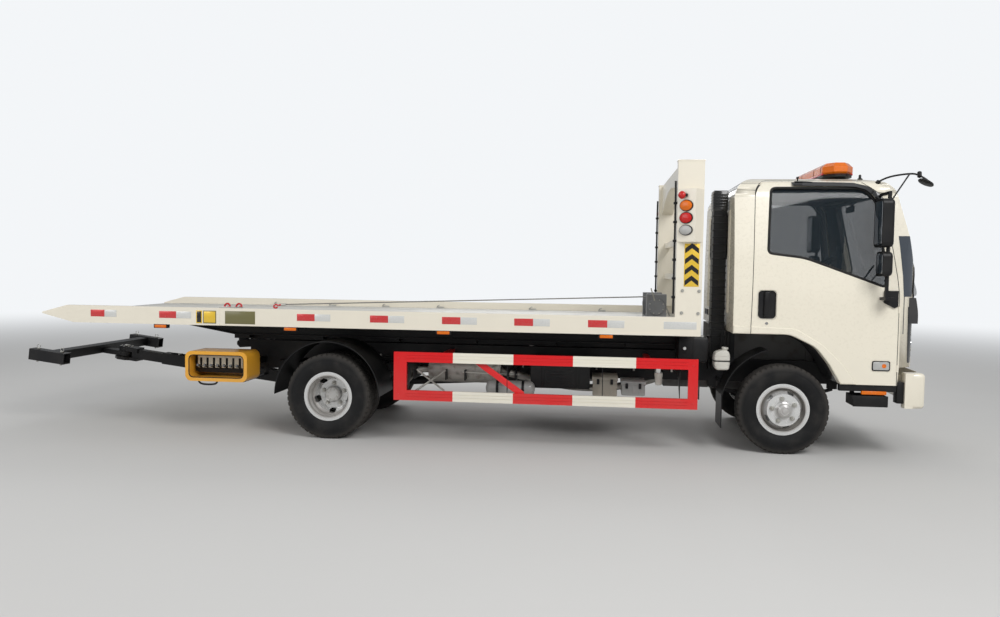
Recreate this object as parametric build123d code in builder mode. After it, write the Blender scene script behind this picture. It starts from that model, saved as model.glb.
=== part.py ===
from build123d import *
import math
import os

# Flatbed tow truck. Millimetres, +X forward, +Y to the truck's left, +Z up.
# The origin is on the ground, at the middle of the truck's box.

# Driving dimensions
wheelbase = 4175.0
front_overhang = 1220.0
rear_overhang = 3110.0
overall_length = front_overhang + wheelbase + rear_overhang
rear_axle_x = rear_overhang - overall_length / 2
front_axle_x = rear_axle_x + wheelbase

# Clearances
seat_gap = 0.3
bearing_gap = 0.3
moving_gap = 6.0
door_gap = 6.0
cut_margin = 20.0

# Tyres and wheels
tyre_radius = 402.5
tyre_width = 215.0
rim_seat_radius = 204.0
rim_lip_radius = 232.0
rim_half_width = 76.0
rim_sheet = 9.0
rim_well_radius = 182.0
rim_well_half_width = 30.0
disc_offset = 114.0
disc_flat_radius = 140.0
disc_bore_radius = 76.0
disc_sheet = 11.0
hole_count = 5
hole_circle_radius = 156.0
slot_length = 62.0
slot_width = 20.0
oval_length = 66.0
oval_width = 40.0
front_wheel_y = 840.0
rear_twin_y = 815.0
twin_spacing = 240.0

# Hubs and brake drums
spindle_radius = 30.0
front_hub_radius = 72.0
front_cap_radius = 58.0
front_cap_length = 40.0
drum_radius = 168.0
drum_length = 95.0
rear_tube_radius = 50.0
rear_hub_radius = 74.0
rear_hub_reach = 70.0

# Chassis frame
rail_height = 210.0
rail_bottom = 580.0
rail_top = rail_bottom + rail_height
rail_outer_y = 425.0
rail_flange = 70.0
rail_sheet = 8.0
rail_rear_x = rear_axle_x - 1020.0
rail_front_x = front_axle_x + 1040.0
member_height = 110.0
member_width = 60.0

# Fixed subframe and its hinge
subframe_height = 75.0
subframe_width = 80.0
subframe_top = rail_top + subframe_height
subframe_front_x = front_axle_x - 820.0
hinge_x = rear_axle_x - 1120.0
hinge_z = 830.0
hinge_pin_radius = 25.0
lug_thickness = 18.0
lug_radius = 48.0

# Tilt frame
tilt_bottom = subframe_top + 10.0
tilt_rail_height = 140.0
tilt_rail_width = 60.0
tilt_rail_inner_y = 330.0
tilt_rear_x = hinge_x - 90.0
tilt_front_x = front_axle_x - 860.0

# Sliding bed
bed_bottom = 1060.0
bed_rail_height = 165.0
bed_top = bed_bottom + bed_rail_height
bed_width = 2300.0
bed_rail_thickness = 60.0
bed_front_x = front_axle_x - 765.0
bed_tail_x = rear_axle_x - 2800.0
deck_top = 1150.0
deck_sheet = 8.0
runner_height = 140.0
runner_width = 74.0
runner_sheet = 10.0
runner_inner_y = 418.0
cross_beam_pitch = 480.0
cross_beam_width = 60.0

# Mast at the bed's front
mast_top = 2595.0
post_length = 226.0
post_width = 95.0
post_sheet = 6.0

# Cab
cab_half_width = 1020.0
cab_rear_x = front_axle_x - 470.0
cab_floor = 1085.0
cab_roof = 2480.0
cab_wall = 55.0
cab_sill = 660.0
cab_nose_bottom = 818.0
tunnel_half_width = 470.0
tilt_pivot_x = front_axle_x + 1100.0
tilt_pivot_z = 650.0
tilt_pin_radius = 20.0
glass_depth = 18.0
glass_sheet = 6.0

# Side guards
guard_rear_x = rear_axle_x + 660.0
guard_front_x = front_axle_x - 775.0
guard_bottom = 410.0
guard_top = 855.0
guard_y = 1130.0
guard_rail_height = 92.0
guard_depth = 32.0
groove_width = 9.0
groove_depth = 4.0

# Control box
box_front_x = rear_axle_x - 770.0
box_rear_x = rear_axle_x - 1385.0
box_bottom = 520.0
box_top = 806.0
box_outer_y = 1085.0
box_depth = 300.0

# Wheel lift
lift_pivot_x = rear_axle_x - 560.0
lift_pivot_z = 400.0
boom_rise_deg = 7.0
arm_height = 120.0
arm_width = 120.0
arm_sheet = 9.0
boom_clearance = 0.5
boom_height = arm_height - 2 * arm_sheet - 2 * boom_clearance
arm_length = 1640.0
boom_start = 420.0
boom_end = 1990.0
swivel_reach = 2090.0
crossbar_half_length = 830.0
crossbar_size = 90.0
sleeve_length = 372.0
sleeve_size = 110.0
sleeve_sheet = 9.0
sleeve_drop = 10.0
boom_plate_bite = 4.0
crossbar_low = boom_plate_bite + moving_gap - boom_height / 2
boom_cosine = math.cos(math.radians(boom_rise_deg))
boom_sine = math.sin(math.radians(boom_rise_deg))
tail_reach = (lift_pivot_x + overall_length / 2 + (crossbar_low - sleeve_drop) * boom_sine) / boom_cosine
crossbar_reach = tail_reach - sleeve_length / 2

os.makedirs("parts", exist_ok=True)


def finish(builder, label):
    """Label a piece and write it to its own file."""
    builder.part.label = label
    export_step(builder.part, f"parts/{label}.step")


def bar(x, y, z, mode=Mode.ADD):
    """A straight bar between two corners, given as (low, high) on each axis."""
    with BuildSketch(Plane.XY.offset(z[0])) as section:
        with Locations(((x[0] + x[1]) / 2, (y[0] + y[1]) / 2)):
            Rectangle(x[1] - x[0], y[1] - y[0])
    extrude(section.sketch, amount=z[1] - z[0], mode=mode)


def cross_rod(x, z, radius, y, mode=Mode.ADD):
    """A round bar along Y at (x, z), from y[0] to y[1]."""
    with BuildSketch(Plane(origin=(x, y[0], z), x_dir=(1, 0, 0), z_dir=(0, 1, 0))) as section:
        Circle(radius)
    extrude(section.sketch, amount=y[1] - y[0], mode=mode)


def side_plate(points, y, mode=Mode.ADD):
    """A plate whose outline is given in X and Z, from y[0] to y[1]."""
    with BuildSketch(Plane(origin=(0, y[0], 0), x_dir=(1, 0, 0), z_dir=(0, -1, 0))) as outline:
        with BuildLine():
            Polyline(*points, close=True)
        make_face()
    extrude(outline.sketch, amount=-(y[1] - y[0]), mode=mode)


def rounded_outline(rows):
    """A face from rows of (first place, second place, corner radius)."""
    with BuildSketch() as section:
        with BuildLine():
            Polyline(*[row[:2] for row in rows], close=True)
        make_face()
        for first, second, radius in rows:
            if radius:
                fillet(section.vertices().sort_by_distance((first, second))[0], radius)
    return section.sketch


def wheel_plane(x, y, side):
    """Half-section plane of a wheel: local x runs outwards along the axle, local y is the radius."""
    return Plane(origin=(x, y, tyre_radius), x_dir=(0, side, 0), z_dir=(side, 0, 0))


def axle_line(x):
    """The axle's own line across the truck."""
    return Axis((x, 0, tyre_radius), (0, 1, 0))


def tyre(x, y, side):
    """One tyre: bead, bulging sidewalls, shoulders and tread band."""
    half = tyre_width / 2
    bead = rim_half_width - seat_gap
    with BuildSketch(wheel_plane(x, y, side)) as section:
        with BuildLine():
            foot = Line((-bead, rim_seat_radius + seat_gap), (bead, rim_seat_radius + seat_gap))
            up = Line(foot @ 1, (bead, rim_lip_radius + 2))
            wall = ThreePointArc(up @ 1, (half, 305), (half - 14, tyre_radius - 18))
            edge = Line(wall @ 1, (half - 28, tyre_radius))
            tread = Line(edge @ 1, (28 - half, tyre_radius))
            edge_back = Line(tread @ 1, (14 - half, tyre_radius - 18))
            wall_back = ThreePointArc(edge_back @ 1, (-half, 305), (-bead, rim_lip_radius + 2))
            Line(wall_back @ 1, foot @ 0)
        make_face()
    revolve(section.sketch, axis=axle_line(x))


def rim(x, y, side, dish):
    """One pressed wheel: rim with its well, and a disc that bulges towards dish (+1 or -1)."""
    lip = rim_half_width + rim_sheet
    well = rim_well_half_width
    with BuildSketch(wheel_plane(x, y, side)) as barrel:
        with BuildLine():
            Polyline(
                (-lip, rim_lip_radius),
                (-rim_half_width, rim_lip_radius),
                (-rim_half_width, rim_seat_radius),
                (-well - 18, rim_seat_radius),
                (-well, rim_well_radius + rim_sheet),
                (well, rim_well_radius + rim_sheet),
                (well + 18, rim_seat_radius),
                (rim_half_width, rim_seat_radius),
                (rim_half_width, rim_lip_radius),
                (lip, rim_lip_radius),
                (lip, rim_seat_radius - rim_sheet),
                (well + 20, rim_seat_radius - rim_sheet),
                (well, rim_well_radius),
                (-well, rim_well_radius),
                (-well - 20, rim_seat_radius - rim_sheet),
                (-lip, rim_seat_radius - rim_sheet),
                close=True,
            )
        make_face()
    revolve(barrel.sketch, axis=axle_line(x))
    inner = disc_offset - disc_sheet
    with BuildSketch(wheel_plane(x, y, side)) as disc:
        with BuildLine():
            Polyline(
                (dish * well, rim_well_radius + 1),
                (dish * (well - disc_sheet), rim_well_radius + 1),
                (dish * (well + 12), rim_well_radius - 18),
                (dish * inner, disc_flat_radius),
                (dish * inner, disc_bore_radius),
                (dish * disc_offset, disc_bore_radius),
                (dish * disc_offset, disc_flat_radius + 4),
                (dish * (well + 26), rim_well_radius - 12),
                close=True,
            )
        make_face()
    revolve(disc.sketch, axis=axle_line(x))


def disc_holes(x, y, side, length, width, start_deg):
    """Ring of rounded holes through a wheel's disc, cut along the axle."""
    plane = Plane(origin=(x, y, tyre_radius), x_dir=(1, 0, 0), z_dir=(0, -1, 0))
    with BuildSketch(plane) as ring:
        with PolarLocations(hole_circle_radius, hole_count, start_angle=start_deg):
            SlotOverall(length, width, rotation=90)
    extrude(ring.sketch, amount=200, both=True, mode=Mode.SUBTRACT)


sides = {"left": 1, "right": -1}

# Front wheels: one tyre, one wheel with five slots, hub, drum and cap
for name, side in sides.items():
    wheel_y = side * front_wheel_y
    with BuildPart() as front_tyre:
        tyre(front_axle_x, wheel_y, side)
    finish(front_tyre, f"front_tyre_{name}")

    with BuildPart() as front_wheel:
        rim(front_axle_x, wheel_y, side, 1)
        disc_holes(front_axle_x, wheel_y, side, slot_length, slot_width, 66)
        with BuildSketch(wheel_plane(front_axle_x, wheel_y, side)):
            with BuildLine():
                Polyline(
                    (disc_offset - disc_sheet, disc_bore_radius + 40),
                    (disc_offset - disc_sheet, disc_bore_radius),
                    (disc_offset, disc_bore_radius),
                    (disc_offset + 8, front_cap_radius + 4),
                    (disc_offset + front_cap_length, front_cap_radius - 12),
                    (disc_offset + front_cap_length, 0),
                    (disc_offset - 30, 0),
                    (disc_offset - 30, spindle_radius + bearing_gap),
                    (-20, spindle_radius + bearing_gap),
                    (-20, drum_radius - 60),
                    (-drum_length / 2, drum_radius - 60),
                    (-drum_length / 2, drum_radius),
                    (drum_length / 2 - 20, drum_radius),
                    (drum_length / 2, drum_radius - 30),
                    (drum_length / 2, disc_bore_radius + 40),
                    close=True,
                )
            make_face()
        revolve(axis=axle_line(front_axle_x))
    finish(front_wheel, f"front_wheel_{name}")

# Rear wheels: twin tyres, two dished wheels back to back, drum and hub
for name, side in sides.items():
    with BuildPart() as rear_tyres:
        for place in (-1, 1):
            tyre(rear_axle_x, side * (rear_twin_y + place * twin_spacing / 2), side)
    finish(rear_tyres, f"rear_tyres_{name}")

    with BuildPart() as rear_wheels:
        for place in (-1, 1):
            disc_y = side * (rear_twin_y + place * twin_spacing / 2)
            rim(rear_axle_x, disc_y, side, -place)
            disc_holes(rear_axle_x, disc_y, side, oval_length, oval_width, 54)
        with BuildSketch(wheel_plane(rear_axle_x, side * rear_twin_y, side)):
            with BuildLine():
                Polyline(
                    (-6, disc_bore_radius + 2),
                    (6, disc_bore_radius + 2),
                    (6, rear_hub_radius),
                    (rear_hub_reach, rear_hub_radius),
                    (rear_hub_reach + 12, rear_hub_radius - 12),
                    (rear_hub_reach + 12, 0),
                    (rear_hub_reach - 10, 0),
                    (rear_hub_reach - 10, rear_tube_radius + bearing_gap),
                    (-200, rear_tube_radius + bearing_gap),
                    (-200, drum_radius - 60),
                    (-225, drum_radius - 60),
                    (-225, drum_radius),
                    (-120, drum_radius),
                    (-95, drum_radius - 40),
                    (-20, disc_bore_radius + 2),
                    close=True,
                )
            make_face()
        revolve(axis=axle_line(rear_axle_x))
    finish(rear_wheels, f"rear_wheels_{name}")

# Steering knuckles: yoke, king pin, spindle and steering arm
kingpin_y = 690.0
kingpin_radius = 19.0
boss_radius = 40.0
boss_half_height = 45.0
yoke_sheet = 26.0
arm_reach = 180.0
arm_z = tyre_radius - boss_half_height - yoke_sheet
track_rod_radius = 16.0
ball_inset = 35.0
for name, side in sides.items():
    pin_y = side * kingpin_y
    with BuildPart() as knuckle:
        for low in (
            tyre_radius + boss_half_height + seat_gap,
            tyre_radius - boss_half_height - yoke_sheet - seat_gap,
        ):
            with BuildSketch(Plane.XY.offset(low)):
                with Locations((front_axle_x, pin_y)):
                    Circle(boss_radius)
                with Locations((front_axle_x, pin_y + side * 30)):
                    Rectangle(2 * boss_radius, 60)
            extrude(amount=yoke_sheet)
        yoke_low = tyre_radius - boss_half_height - yoke_sheet - seat_gap
        yoke_high = tyre_radius + boss_half_height + yoke_sheet + seat_gap
        wall_ys = sorted((pin_y + side * 46, pin_y + side * 66))
        bar(
            (front_axle_x - boss_radius, front_axle_x + boss_radius),
            wall_ys,
            (yoke_low, yoke_high),
        )
        with BuildSketch(Plane.XY.offset(yoke_low)):
            with Locations((front_axle_x, pin_y)):
                Circle(kingpin_radius)
        extrude(amount=yoke_high - yoke_low)
        spindle_ys = sorted((pin_y + side * 60, side * (front_wheel_y + disc_offset - 32)))
        cross_rod(front_axle_x, tyre_radius, spindle_radius, spindle_ys)
        with BuildSketch(Plane.XY.offset(yoke_low)):
            with BuildLine():
                Polyline(
                    (front_axle_x + 20, pin_y + side * 30),
                    (front_axle_x + 20, pin_y - side * 30),
                    (front_axle_x - arm_reach - 22, pin_y - side * (ball_inset + 20)),
                    (front_axle_x - arm_reach - 22, pin_y - side * (ball_inset - 20)),
                    close=True,
                )
            make_face()
        extrude(amount=20)
    finish(knuckle, f"knuckle_{name}")

rod_y = kingpin_y - ball_inset
rod_z = tyre_radius - boss_half_height - yoke_sheet - seat_gap - track_rod_radius - 8
with BuildPart() as tie_rod:
    cross_rod(front_axle_x - arm_reach, rod_z, track_rod_radius, (-rod_y + 14, rod_y - 14))
    for end in (-1, 1):
        with BuildSketch(Plane.XY.offset(rod_z - 20)):
            with Locations((front_axle_x - arm_reach, end * rod_y)):
                Circle(22)
        extrude(amount=20 + track_rod_radius + 8 - seat_gap)
finish(tie_rod, "tie_rod")

# Leaf springs: an arched pack under each rail, front and rear
spring_width = 66.0


def leaf_pack(centre_x, low_z, half_span, rise, thickness, y):
    """An arched pack of leaves whose ends rise above its middle."""
    with BuildSketch(Plane(origin=(0, y[0], 0), x_dir=(1, 0, 0), z_dir=(0, -1, 0))) as pack:
        with BuildLine():
            low = ThreePointArc(
                (centre_x - half_span, low_z + rise),
                (centre_x, low_z),
                (centre_x + half_span, low_z + rise),
            )
            tip = Line(low @ 1, (centre_x + half_span, low_z + rise + 14))
            top = ThreePointArc(
                tip @ 1,
                (centre_x, low_z + thickness),
                (centre_x - half_span, low_z + rise + 14),
            )
            Line(top @ 1, low @ 0)
        make_face()
    extrude(pack.sketch, amount=-(y[1] - y[0]))


beam_half_height = 40.0
beam_half_width = 38.0
beam_web = 14.0
front_spring_half_span = 560.0
front_spring_y = 392.0
beam_drop = 20.0
knuckle_sweep = 90.0
beam_end_y = kingpin_y - knuckle_sweep
with BuildPart() as front_axle:
    beam_z = tyre_radius - beam_drop
    with BuildSketch(Plane.XZ.offset(-kingpin_y)):
        with BuildLine():
            Polyline(
                (front_axle_x - beam_half_width, beam_z - beam_half_height),
                (front_axle_x + beam_half_width, beam_z - beam_half_height),
                (front_axle_x + beam_half_width, beam_z - beam_half_height + 16),
                (front_axle_x + beam_web / 2, beam_z - beam_half_height + 24),
                (front_axle_x + beam_web / 2, beam_z + beam_half_height - 24),
                (front_axle_x + beam_half_width, beam_z + beam_half_height - 16),
                (front_axle_x + beam_half_width, beam_z + beam_half_height),
                (front_axle_x - beam_half_width, beam_z + beam_half_height),
                (front_axle_x - beam_half_width, beam_z + beam_half_height - 16),
                (front_axle_x - beam_web / 2, beam_z + beam_half_height - 24),
                (front_axle_x - beam_web / 2, beam_z - beam_half_height + 24),
                (front_axle_x - beam_half_width, beam_z - beam_half_height + 16),
                close=True,
            )
        make_face()
    extrude(amount=2 * kingpin_y)
    for end in (-1, 1):
        with BuildSketch(Plane.XY.offset(0)):
            with Locations((front_axle_x, end * (beam_end_y + knuckle_sweep))):
                Rectangle(3 * boss_radius, 2 * knuckle_sweep)
        extrude(amount=2 * tyre_radius, mode=Mode.SUBTRACT)
        with BuildSketch(Plane.XY.offset(tyre_radius - boss_half_height)):
            with Locations((front_axle_x, end * kingpin_y)):
                Circle(boss_radius)
            with Locations((front_axle_x, end * (beam_end_y + 30))):
                Rectangle(60, 100)
            with Locations((front_axle_x, end * kingpin_y)):
                Circle(kingpin_radius + bearing_gap, mode=Mode.SUBTRACT)
        extrude(amount=2 * boss_half_height)
    for end in (-1, 1):
        pack_y = (end * front_spring_y - spring_width / 2, end * front_spring_y + spring_width / 2)
        leaf_pack(front_axle_x, beam_z + beam_half_height, front_spring_half_span, 95, 52, pack_y)
finish(front_axle, "front_axle")

rear_spring_y = 494.0
rear_spring_half_span = 640.0
banjo_radius = 178.0
with BuildPart() as rear_axle:
    with BuildSketch(wheel_plane(rear_axle_x, 0, 1)):
        with BuildLine():
            reach = rear_twin_y + rear_hub_reach - 12
            Polyline(
                (-reach, 0),
                (-reach, rear_tube_radius),
                (-540, rear_tube_radius),
                (-540, 62),
                (-250, 66),
                (-150, 150),
                (-60, banjo_radius),
                (60, banjo_radius),
                (150, 150),
                (250, 66),
                (540, 62),
                (540, rear_tube_radius),
                (reach, rear_tube_radius),
                (reach, 0),
                close=True,
            )
        make_face()
    revolve(axis=axle_line(rear_axle_x))
    for end in (-1, 1):
        pack_y = (end * rear_spring_y - spring_width / 2, end * rear_spring_y + spring_width / 2)
        leaf_pack(rear_axle_x, tyre_radius + 55, rear_spring_half_span, 70, 74, pack_y)
finish(rear_axle, "rear_axle")

# Propeller shaft from the gearbox to the rear axle
shaft_radius = 44.0
joint_length = 70.0
gearbox_rear_x = front_axle_x - 1000.0
shaft_start = Vector(rear_axle_x + banjo_radius + seat_gap, 0, tyre_radius + 10)
shaft_end = Vector(gearbox_rear_x - seat_gap, 0, 590)
with BuildPart() as propshaft:
    shaft_line = shaft_end - shaft_start
    with BuildSketch(Plane(origin=shaft_start + shaft_line.normalized() * joint_length / 2, z_dir=shaft_line)):
        Circle(shaft_radius)
    extrude(amount=shaft_line.length - joint_length)
    for joint, direction in ((shaft_start, 1), (shaft_end, -1)):
        with BuildSketch(Plane.YZ.offset(joint.X)):
            with Locations((0, joint.Z)):
                Circle(shaft_radius + 12)
        extrude(amount=direction * joint_length)
finish(propshaft, "propshaft")

# Chassis frame: two channels, cross members, spring hangers
with BuildPart() as chassis_frame:
    for end in (-1, 1):
        with BuildSketch(Plane.YZ.offset(rail_rear_x)):
            with BuildLine():
                Polyline(
                    (end * rail_outer_y, rail_bottom),
                    (end * rail_outer_y, rail_top),
                    (end * (rail_outer_y - rail_flange), rail_top),
                    (end * (rail_outer_y - rail_flange), rail_top - rail_sheet),
                    (end * (rail_outer_y - rail_sheet), rail_top - rail_sheet),
                    (end * (rail_outer_y - rail_sheet), rail_bottom + rail_sheet),
                    (end * (rail_outer_y - rail_flange), rail_bottom + rail_sheet),
                    (end * (rail_outer_y - rail_flange), rail_bottom),
                    close=True,
                )
            make_face()
        extrude(amount=rail_front_x - rail_rear_x)
    member_y = rail_outer_y - rail_sheet
    for member_x, member_low in (
        (rear_axle_x - 250, rail_top - rail_sheet - member_height),
        (rear_axle_x + 560, rail_top - rail_sheet - member_height),
        (rear_axle_x + 1450, rail_bottom + rail_sheet),
        (rear_axle_x + 2300, rail_top - rail_sheet - member_height),
        (front_axle_x - 1120, rail_top - rail_sheet - member_height),
        (front_axle_x + 620, rail_bottom + rail_sheet),
        (front_axle_x + 980, rail_bottom + rail_sheet),
    ):
        member_high = min(member_low + member_height, rail_top - rail_sheet)
        bar(
            (member_x - member_width / 2, member_x + member_width / 2),
            (-member_y, member_y),
            (member_low, member_high),
        )
    hanger_y = rear_spring_y + spring_width / 2
    for end in (-1, 1):
        for hanger_x in (rear_axle_x - rear_spring_half_span, rear_axle_x + rear_spring_half_span):
            ys = sorted((end * rail_outer_y, end * hanger_y))
            hanger_low = tyre_radius + 55 + 70 + 14 + seat_gap
            bar((hanger_x - 45, hanger_x + 45), ys, (hanger_low, rail_bottom + 90))
        for hanger_x in (front_axle_x - front_spring_half_span, front_axle_x + front_spring_half_span):
            ys = sorted((end * (front_spring_y - spring_width / 2), end * rail_outer_y))
            low = beam_z + beam_half_height + 95 + 14 + seat_gap
            bar((hanger_x - 40, hanger_x + 40), ys, (low, rail_bottom))
    for end in (-1, 1):
        cab_mount_x = (cab_rear_x + 30, cab_rear_x + 90)
        bar(cab_mount_x, sorted((end * rail_outer_y, end * 560)), (rail_top - 50, rail_top))
        bar(cab_mount_x, sorted((end * 490, end * 560)), (rail_top - 50, cab_floor - seat_gap))
        ear_ys = sorted((end * rail_outer_y, end * (rail_outer_y + 14)))
        side_plate(
            (
                (tilt_pivot_x - 130, tilt_pivot_z - 45),
                (tilt_pivot_x + 34, tilt_pivot_z - 30),
                (tilt_pivot_x + 34, tilt_pivot_z + 26),
                (tilt_pivot_x - 130, tilt_pivot_z + 60),
            ),
            ear_ys,
        )
        cross_rod(
            tilt_pivot_x,
            tilt_pivot_z,
            tilt_pin_radius,
            sorted((end * rail_outer_y, end * (rail_outer_y + 42))),
        )
    bar(
        (rear_axle_x - 900, rear_axle_x - 850),
        (-box_outer_y + box_depth + seat_gap, -rail_outer_y),
        (640, 700),
    )
finish(chassis_frame, "chassis_frame")

# Fixed subframe: tubes on the rails, cross tubes, and the tail hinge that carries the tilt frame
with BuildPart() as subframe:
    tube_y = (rail_outer_y - subframe_width, rail_outer_y)
    for end in (-1, 1):
        ys = sorted((end * tube_y[0], end * tube_y[1]))
        bar((rail_rear_x, subframe_front_x), ys, (rail_top, subframe_top))
        lug_ys = sorted((end * (rail_outer_y - lug_thickness), end * rail_outer_y))
        side_plate(
            (
                (rail_rear_x + 60, subframe_top - 4),
                (hinge_x - 20, hinge_z + lug_radius - 12),
                (hinge_x - lug_radius, hinge_z + 12),
                (hinge_x - lug_radius, hinge_z - 18),
                (hinge_x - 18, hinge_z - lug_radius),
                (rail_rear_x - 6, rail_top + 1),
                (rail_rear_x + 60, rail_top + 1),
            ),
            lug_ys,
        )
    cross_rod(hinge_x, hinge_z, hinge_pin_radius, (-rail_outer_y, rail_outer_y))
    for tube_x in (rear_axle_x + 520, rear_axle_x + 1960, subframe_front_x - 60):
        bar((tube_x - 40, tube_x + 40), (-tube_y[0], tube_y[0]), (rail_top + 8, subframe_top - 4))
finish(subframe, "subframe")

# Tilt cylinders: a barrel on the subframe, a rod on the tilt frame, one each side
barrel_pin_x = rear_axle_x + 900.0
barrel_pin_z = 640.0
rod_pin_x = rear_axle_x + 2000.0
rod_pin_z = 920.0
tilt_cylinder_y = 265.0
barrel_radius = 45.0
rod_radius = 27.0
tilt_direction = Vector(rod_pin_x - barrel_pin_x, 0, rod_pin_z - barrel_pin_z)


def ram_plane(start_x, start_z, y, direction, along):
    """Plane across a cylinder, at a distance along it from its barrel pin."""
    unit = direction.normalized()
    origin = Vector(start_x, y, start_z) + unit * along
    return Plane(origin=origin, z_dir=unit)


with BuildPart() as tilt_barrels:
    barrel_length = tilt_direction.length - 170
    for end in (-1, 1):
        y = end * tilt_cylinder_y
        with BuildSketch(ram_plane(barrel_pin_x, barrel_pin_z, y, tilt_direction, 40)):
            Circle(barrel_radius)
        extrude(amount=barrel_length - 40)
        cross_rod(barrel_pin_x, barrel_pin_z, 42, (y - 25, y + 25))
        with BuildSketch(ram_plane(barrel_pin_x, barrel_pin_z, y, tilt_direction, 0)):
            Circle(22)
        extrude(amount=60)
        with BuildSketch(ram_plane(barrel_pin_x, barrel_pin_z, y, tilt_direction, 90)):
            Circle(rod_radius + bearing_gap)
        extrude(amount=barrel_length, mode=Mode.SUBTRACT)
        cross_rod(barrel_pin_x, barrel_pin_z, 18 + bearing_gap, (y - 30, y + 30), Mode.SUBTRACT)
finish(tilt_barrels, "tilt_barrels")

with BuildPart() as tilt_rods:
    for end in (-1, 1):
        y = end * tilt_cylinder_y
        rod_length = tilt_direction.length - 130
        with BuildSketch(ram_plane(barrel_pin_x, barrel_pin_z, y, tilt_direction, 100)):
            Circle(rod_radius)
        extrude(amount=rod_length)
        cross_rod(rod_pin_x, rod_pin_z, 40, (y - 27, y + 27))
finish(tilt_rods, "tilt_rods")

# Barrel pins on the chassis: a bracket each side, inside the rails
with BuildPart() as cylinder_brackets:
    bracket_inner = rail_outer_y - rail_sheet
    for end in (-1, 1):
        y = end * tilt_cylinder_y
        cross_rod(barrel_pin_x, barrel_pin_z, 18, sorted((y - end * 66, end * bracket_inner)))
        for plate in (-66, 52):
            plate_ys = sorted((y + end * plate, y + end * (plate + 14)))
            side_plate(
                (
                    (barrel_pin_x - 100, rail_top - rail_sheet - 2),
                    (barrel_pin_x - 40, rail_top - rail_sheet - 2),
                    (barrel_pin_x + 40, barrel_pin_z + 40),
                    (barrel_pin_x + 40, barrel_pin_z - 36),
                    (barrel_pin_x - 40, barrel_pin_z - 36),
                ),
                plate_ys,
            )
        bar(
            (barrel_pin_x - 100, barrel_pin_x - 40),
            sorted((y - end * 66, end * bracket_inner)),
            (rail_top - rail_sheet - 20, rail_top - rail_sheet),
        )
finish(cylinder_brackets, "cylinder_brackets")

# Tilt frame: two box rails, cross tubes, hinge sleeves, slide pads, rod ears and the slide cylinder
tilt_top = tilt_bottom + tilt_rail_height
tilt_rail_outer_y = tilt_rail_inner_y + tilt_rail_width
pad_pitch = 780.0
pad_count = 6
slide_cylinder_z = tilt_bottom + 82.0
slide_cylinder_radius = 48.0
slide_rod_radius = 30.0
slide_barrel_rear_x = rear_axle_x + 250.0
slide_barrel_front_x = tilt_front_x - 20.0
barrel_end_wall = 25.0
rod_end_x = slide_barrel_front_x - barrel_end_wall - 100.0
with BuildPart() as tilt_frame:
    for end in (-1, 1):
        ys = sorted((end * tilt_rail_inner_y, end * tilt_rail_outer_y))
        bar((tilt_rear_x, tilt_front_x), ys, (tilt_bottom, tilt_top))
        sleeve_ys = sorted((end * tilt_rail_inner_y, end * tilt_rail_outer_y))
        cross_rod(hinge_x, hinge_z, lug_radius - 4, sleeve_ys)
        bar((hinge_x - 44, hinge_x + 44), ys, (hinge_z, tilt_bottom + 1))
        ear_y = end * tilt_cylinder_y
        for ear in (-1, 1):
            ear_ys = sorted((ear_y + ear * 33, ear_y + ear * 47))
            side_plate(
                (
                    (rod_pin_x - 62, tilt_bottom + 100),
                    (rod_pin_x + 62, tilt_bottom + 100),
                    (rod_pin_x + 40, rod_pin_z - 38),
                    (rod_pin_x - 40, rod_pin_z - 38),
                ),
                ear_ys,
            )
        bar(
            (rod_pin_x - 70, rod_pin_x + 70),
            sorted((end * (tilt_cylinder_y - 47), end * tilt_rail_inner_y)),
            (tilt_bottom + 98, tilt_bottom + 126),
        )
        for pad in range(pad_count):
            pad_x = hinge_x + 60 + pad * pad_pitch
            pad_ys = sorted((end * tilt_rail_outer_y, end * (runner_inner_y + runner_width - 10)))
            pad_top = bed_bottom - runner_height - seat_gap
            bar((pad_x - 50, pad_x + 50), pad_ys, (pad_top - 34, pad_top))
    for tube_x in (
        hinge_x + 380,
        rear_axle_x + 180,
        rod_pin_x + 150,
        tilt_front_x - 60,
    ):
        bar(
            (tube_x - 35, tube_x + 35),
            (-tilt_rail_inner_y, tilt_rail_inner_y),
            (tilt_bottom + 4, slide_cylinder_z - slide_cylinder_radius - seat_gap),
        )
    for end in (-1, 1):
        cross_rod(
            hinge_x,
            hinge_z,
            hinge_pin_radius + bearing_gap,
            sorted((end * (tilt_rail_inner_y - 10), end * (tilt_rail_outer_y + 10))),
            Mode.SUBTRACT,
        )
finish(tilt_frame, "tilt_frame")

# Bed runners: two I-beams whose tails taper up
with BuildPart() as bed_runners:
    runner_low = bed_bottom - runner_height
    runner_tail_x = rear_axle_x - 1790.0
    runner_full_x = rear_axle_x - 1150.0
    runner_front_x = bed_front_x - 40.0
    for end in (-1, 1):
        web_y = end * (runner_inner_y + runner_width / 2)
        side_plate(
            (
                (runner_tail_x, bed_bottom),
                (runner_tail_x, bed_bottom - 30),
                (runner_full_x, runner_low),
                (runner_front_x, runner_low),
                (runner_front_x, bed_bottom),
            ),
            (web_y - runner_sheet / 2, web_y + runner_sheet / 2),
        )
        side_plate(
            (
                (runner_tail_x, bed_bottom),
                (runner_tail_x, bed_bottom - 30),
                (runner_full_x, runner_low),
                (runner_front_x, runner_low),
                (runner_front_x, runner_low + runner_sheet),
                (runner_full_x, runner_low + runner_sheet),
                (runner_tail_x + 20, bed_bottom - 20),
                (runner_tail_x + 20, bed_bottom - runner_sheet),
                (runner_front_x, bed_bottom - runner_sheet),
                (runner_front_x, bed_bottom),
            ),
            (web_y - runner_width / 2, web_y + runner_width / 2),
        )
finish(bed_runners, "bed_runners")

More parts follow.
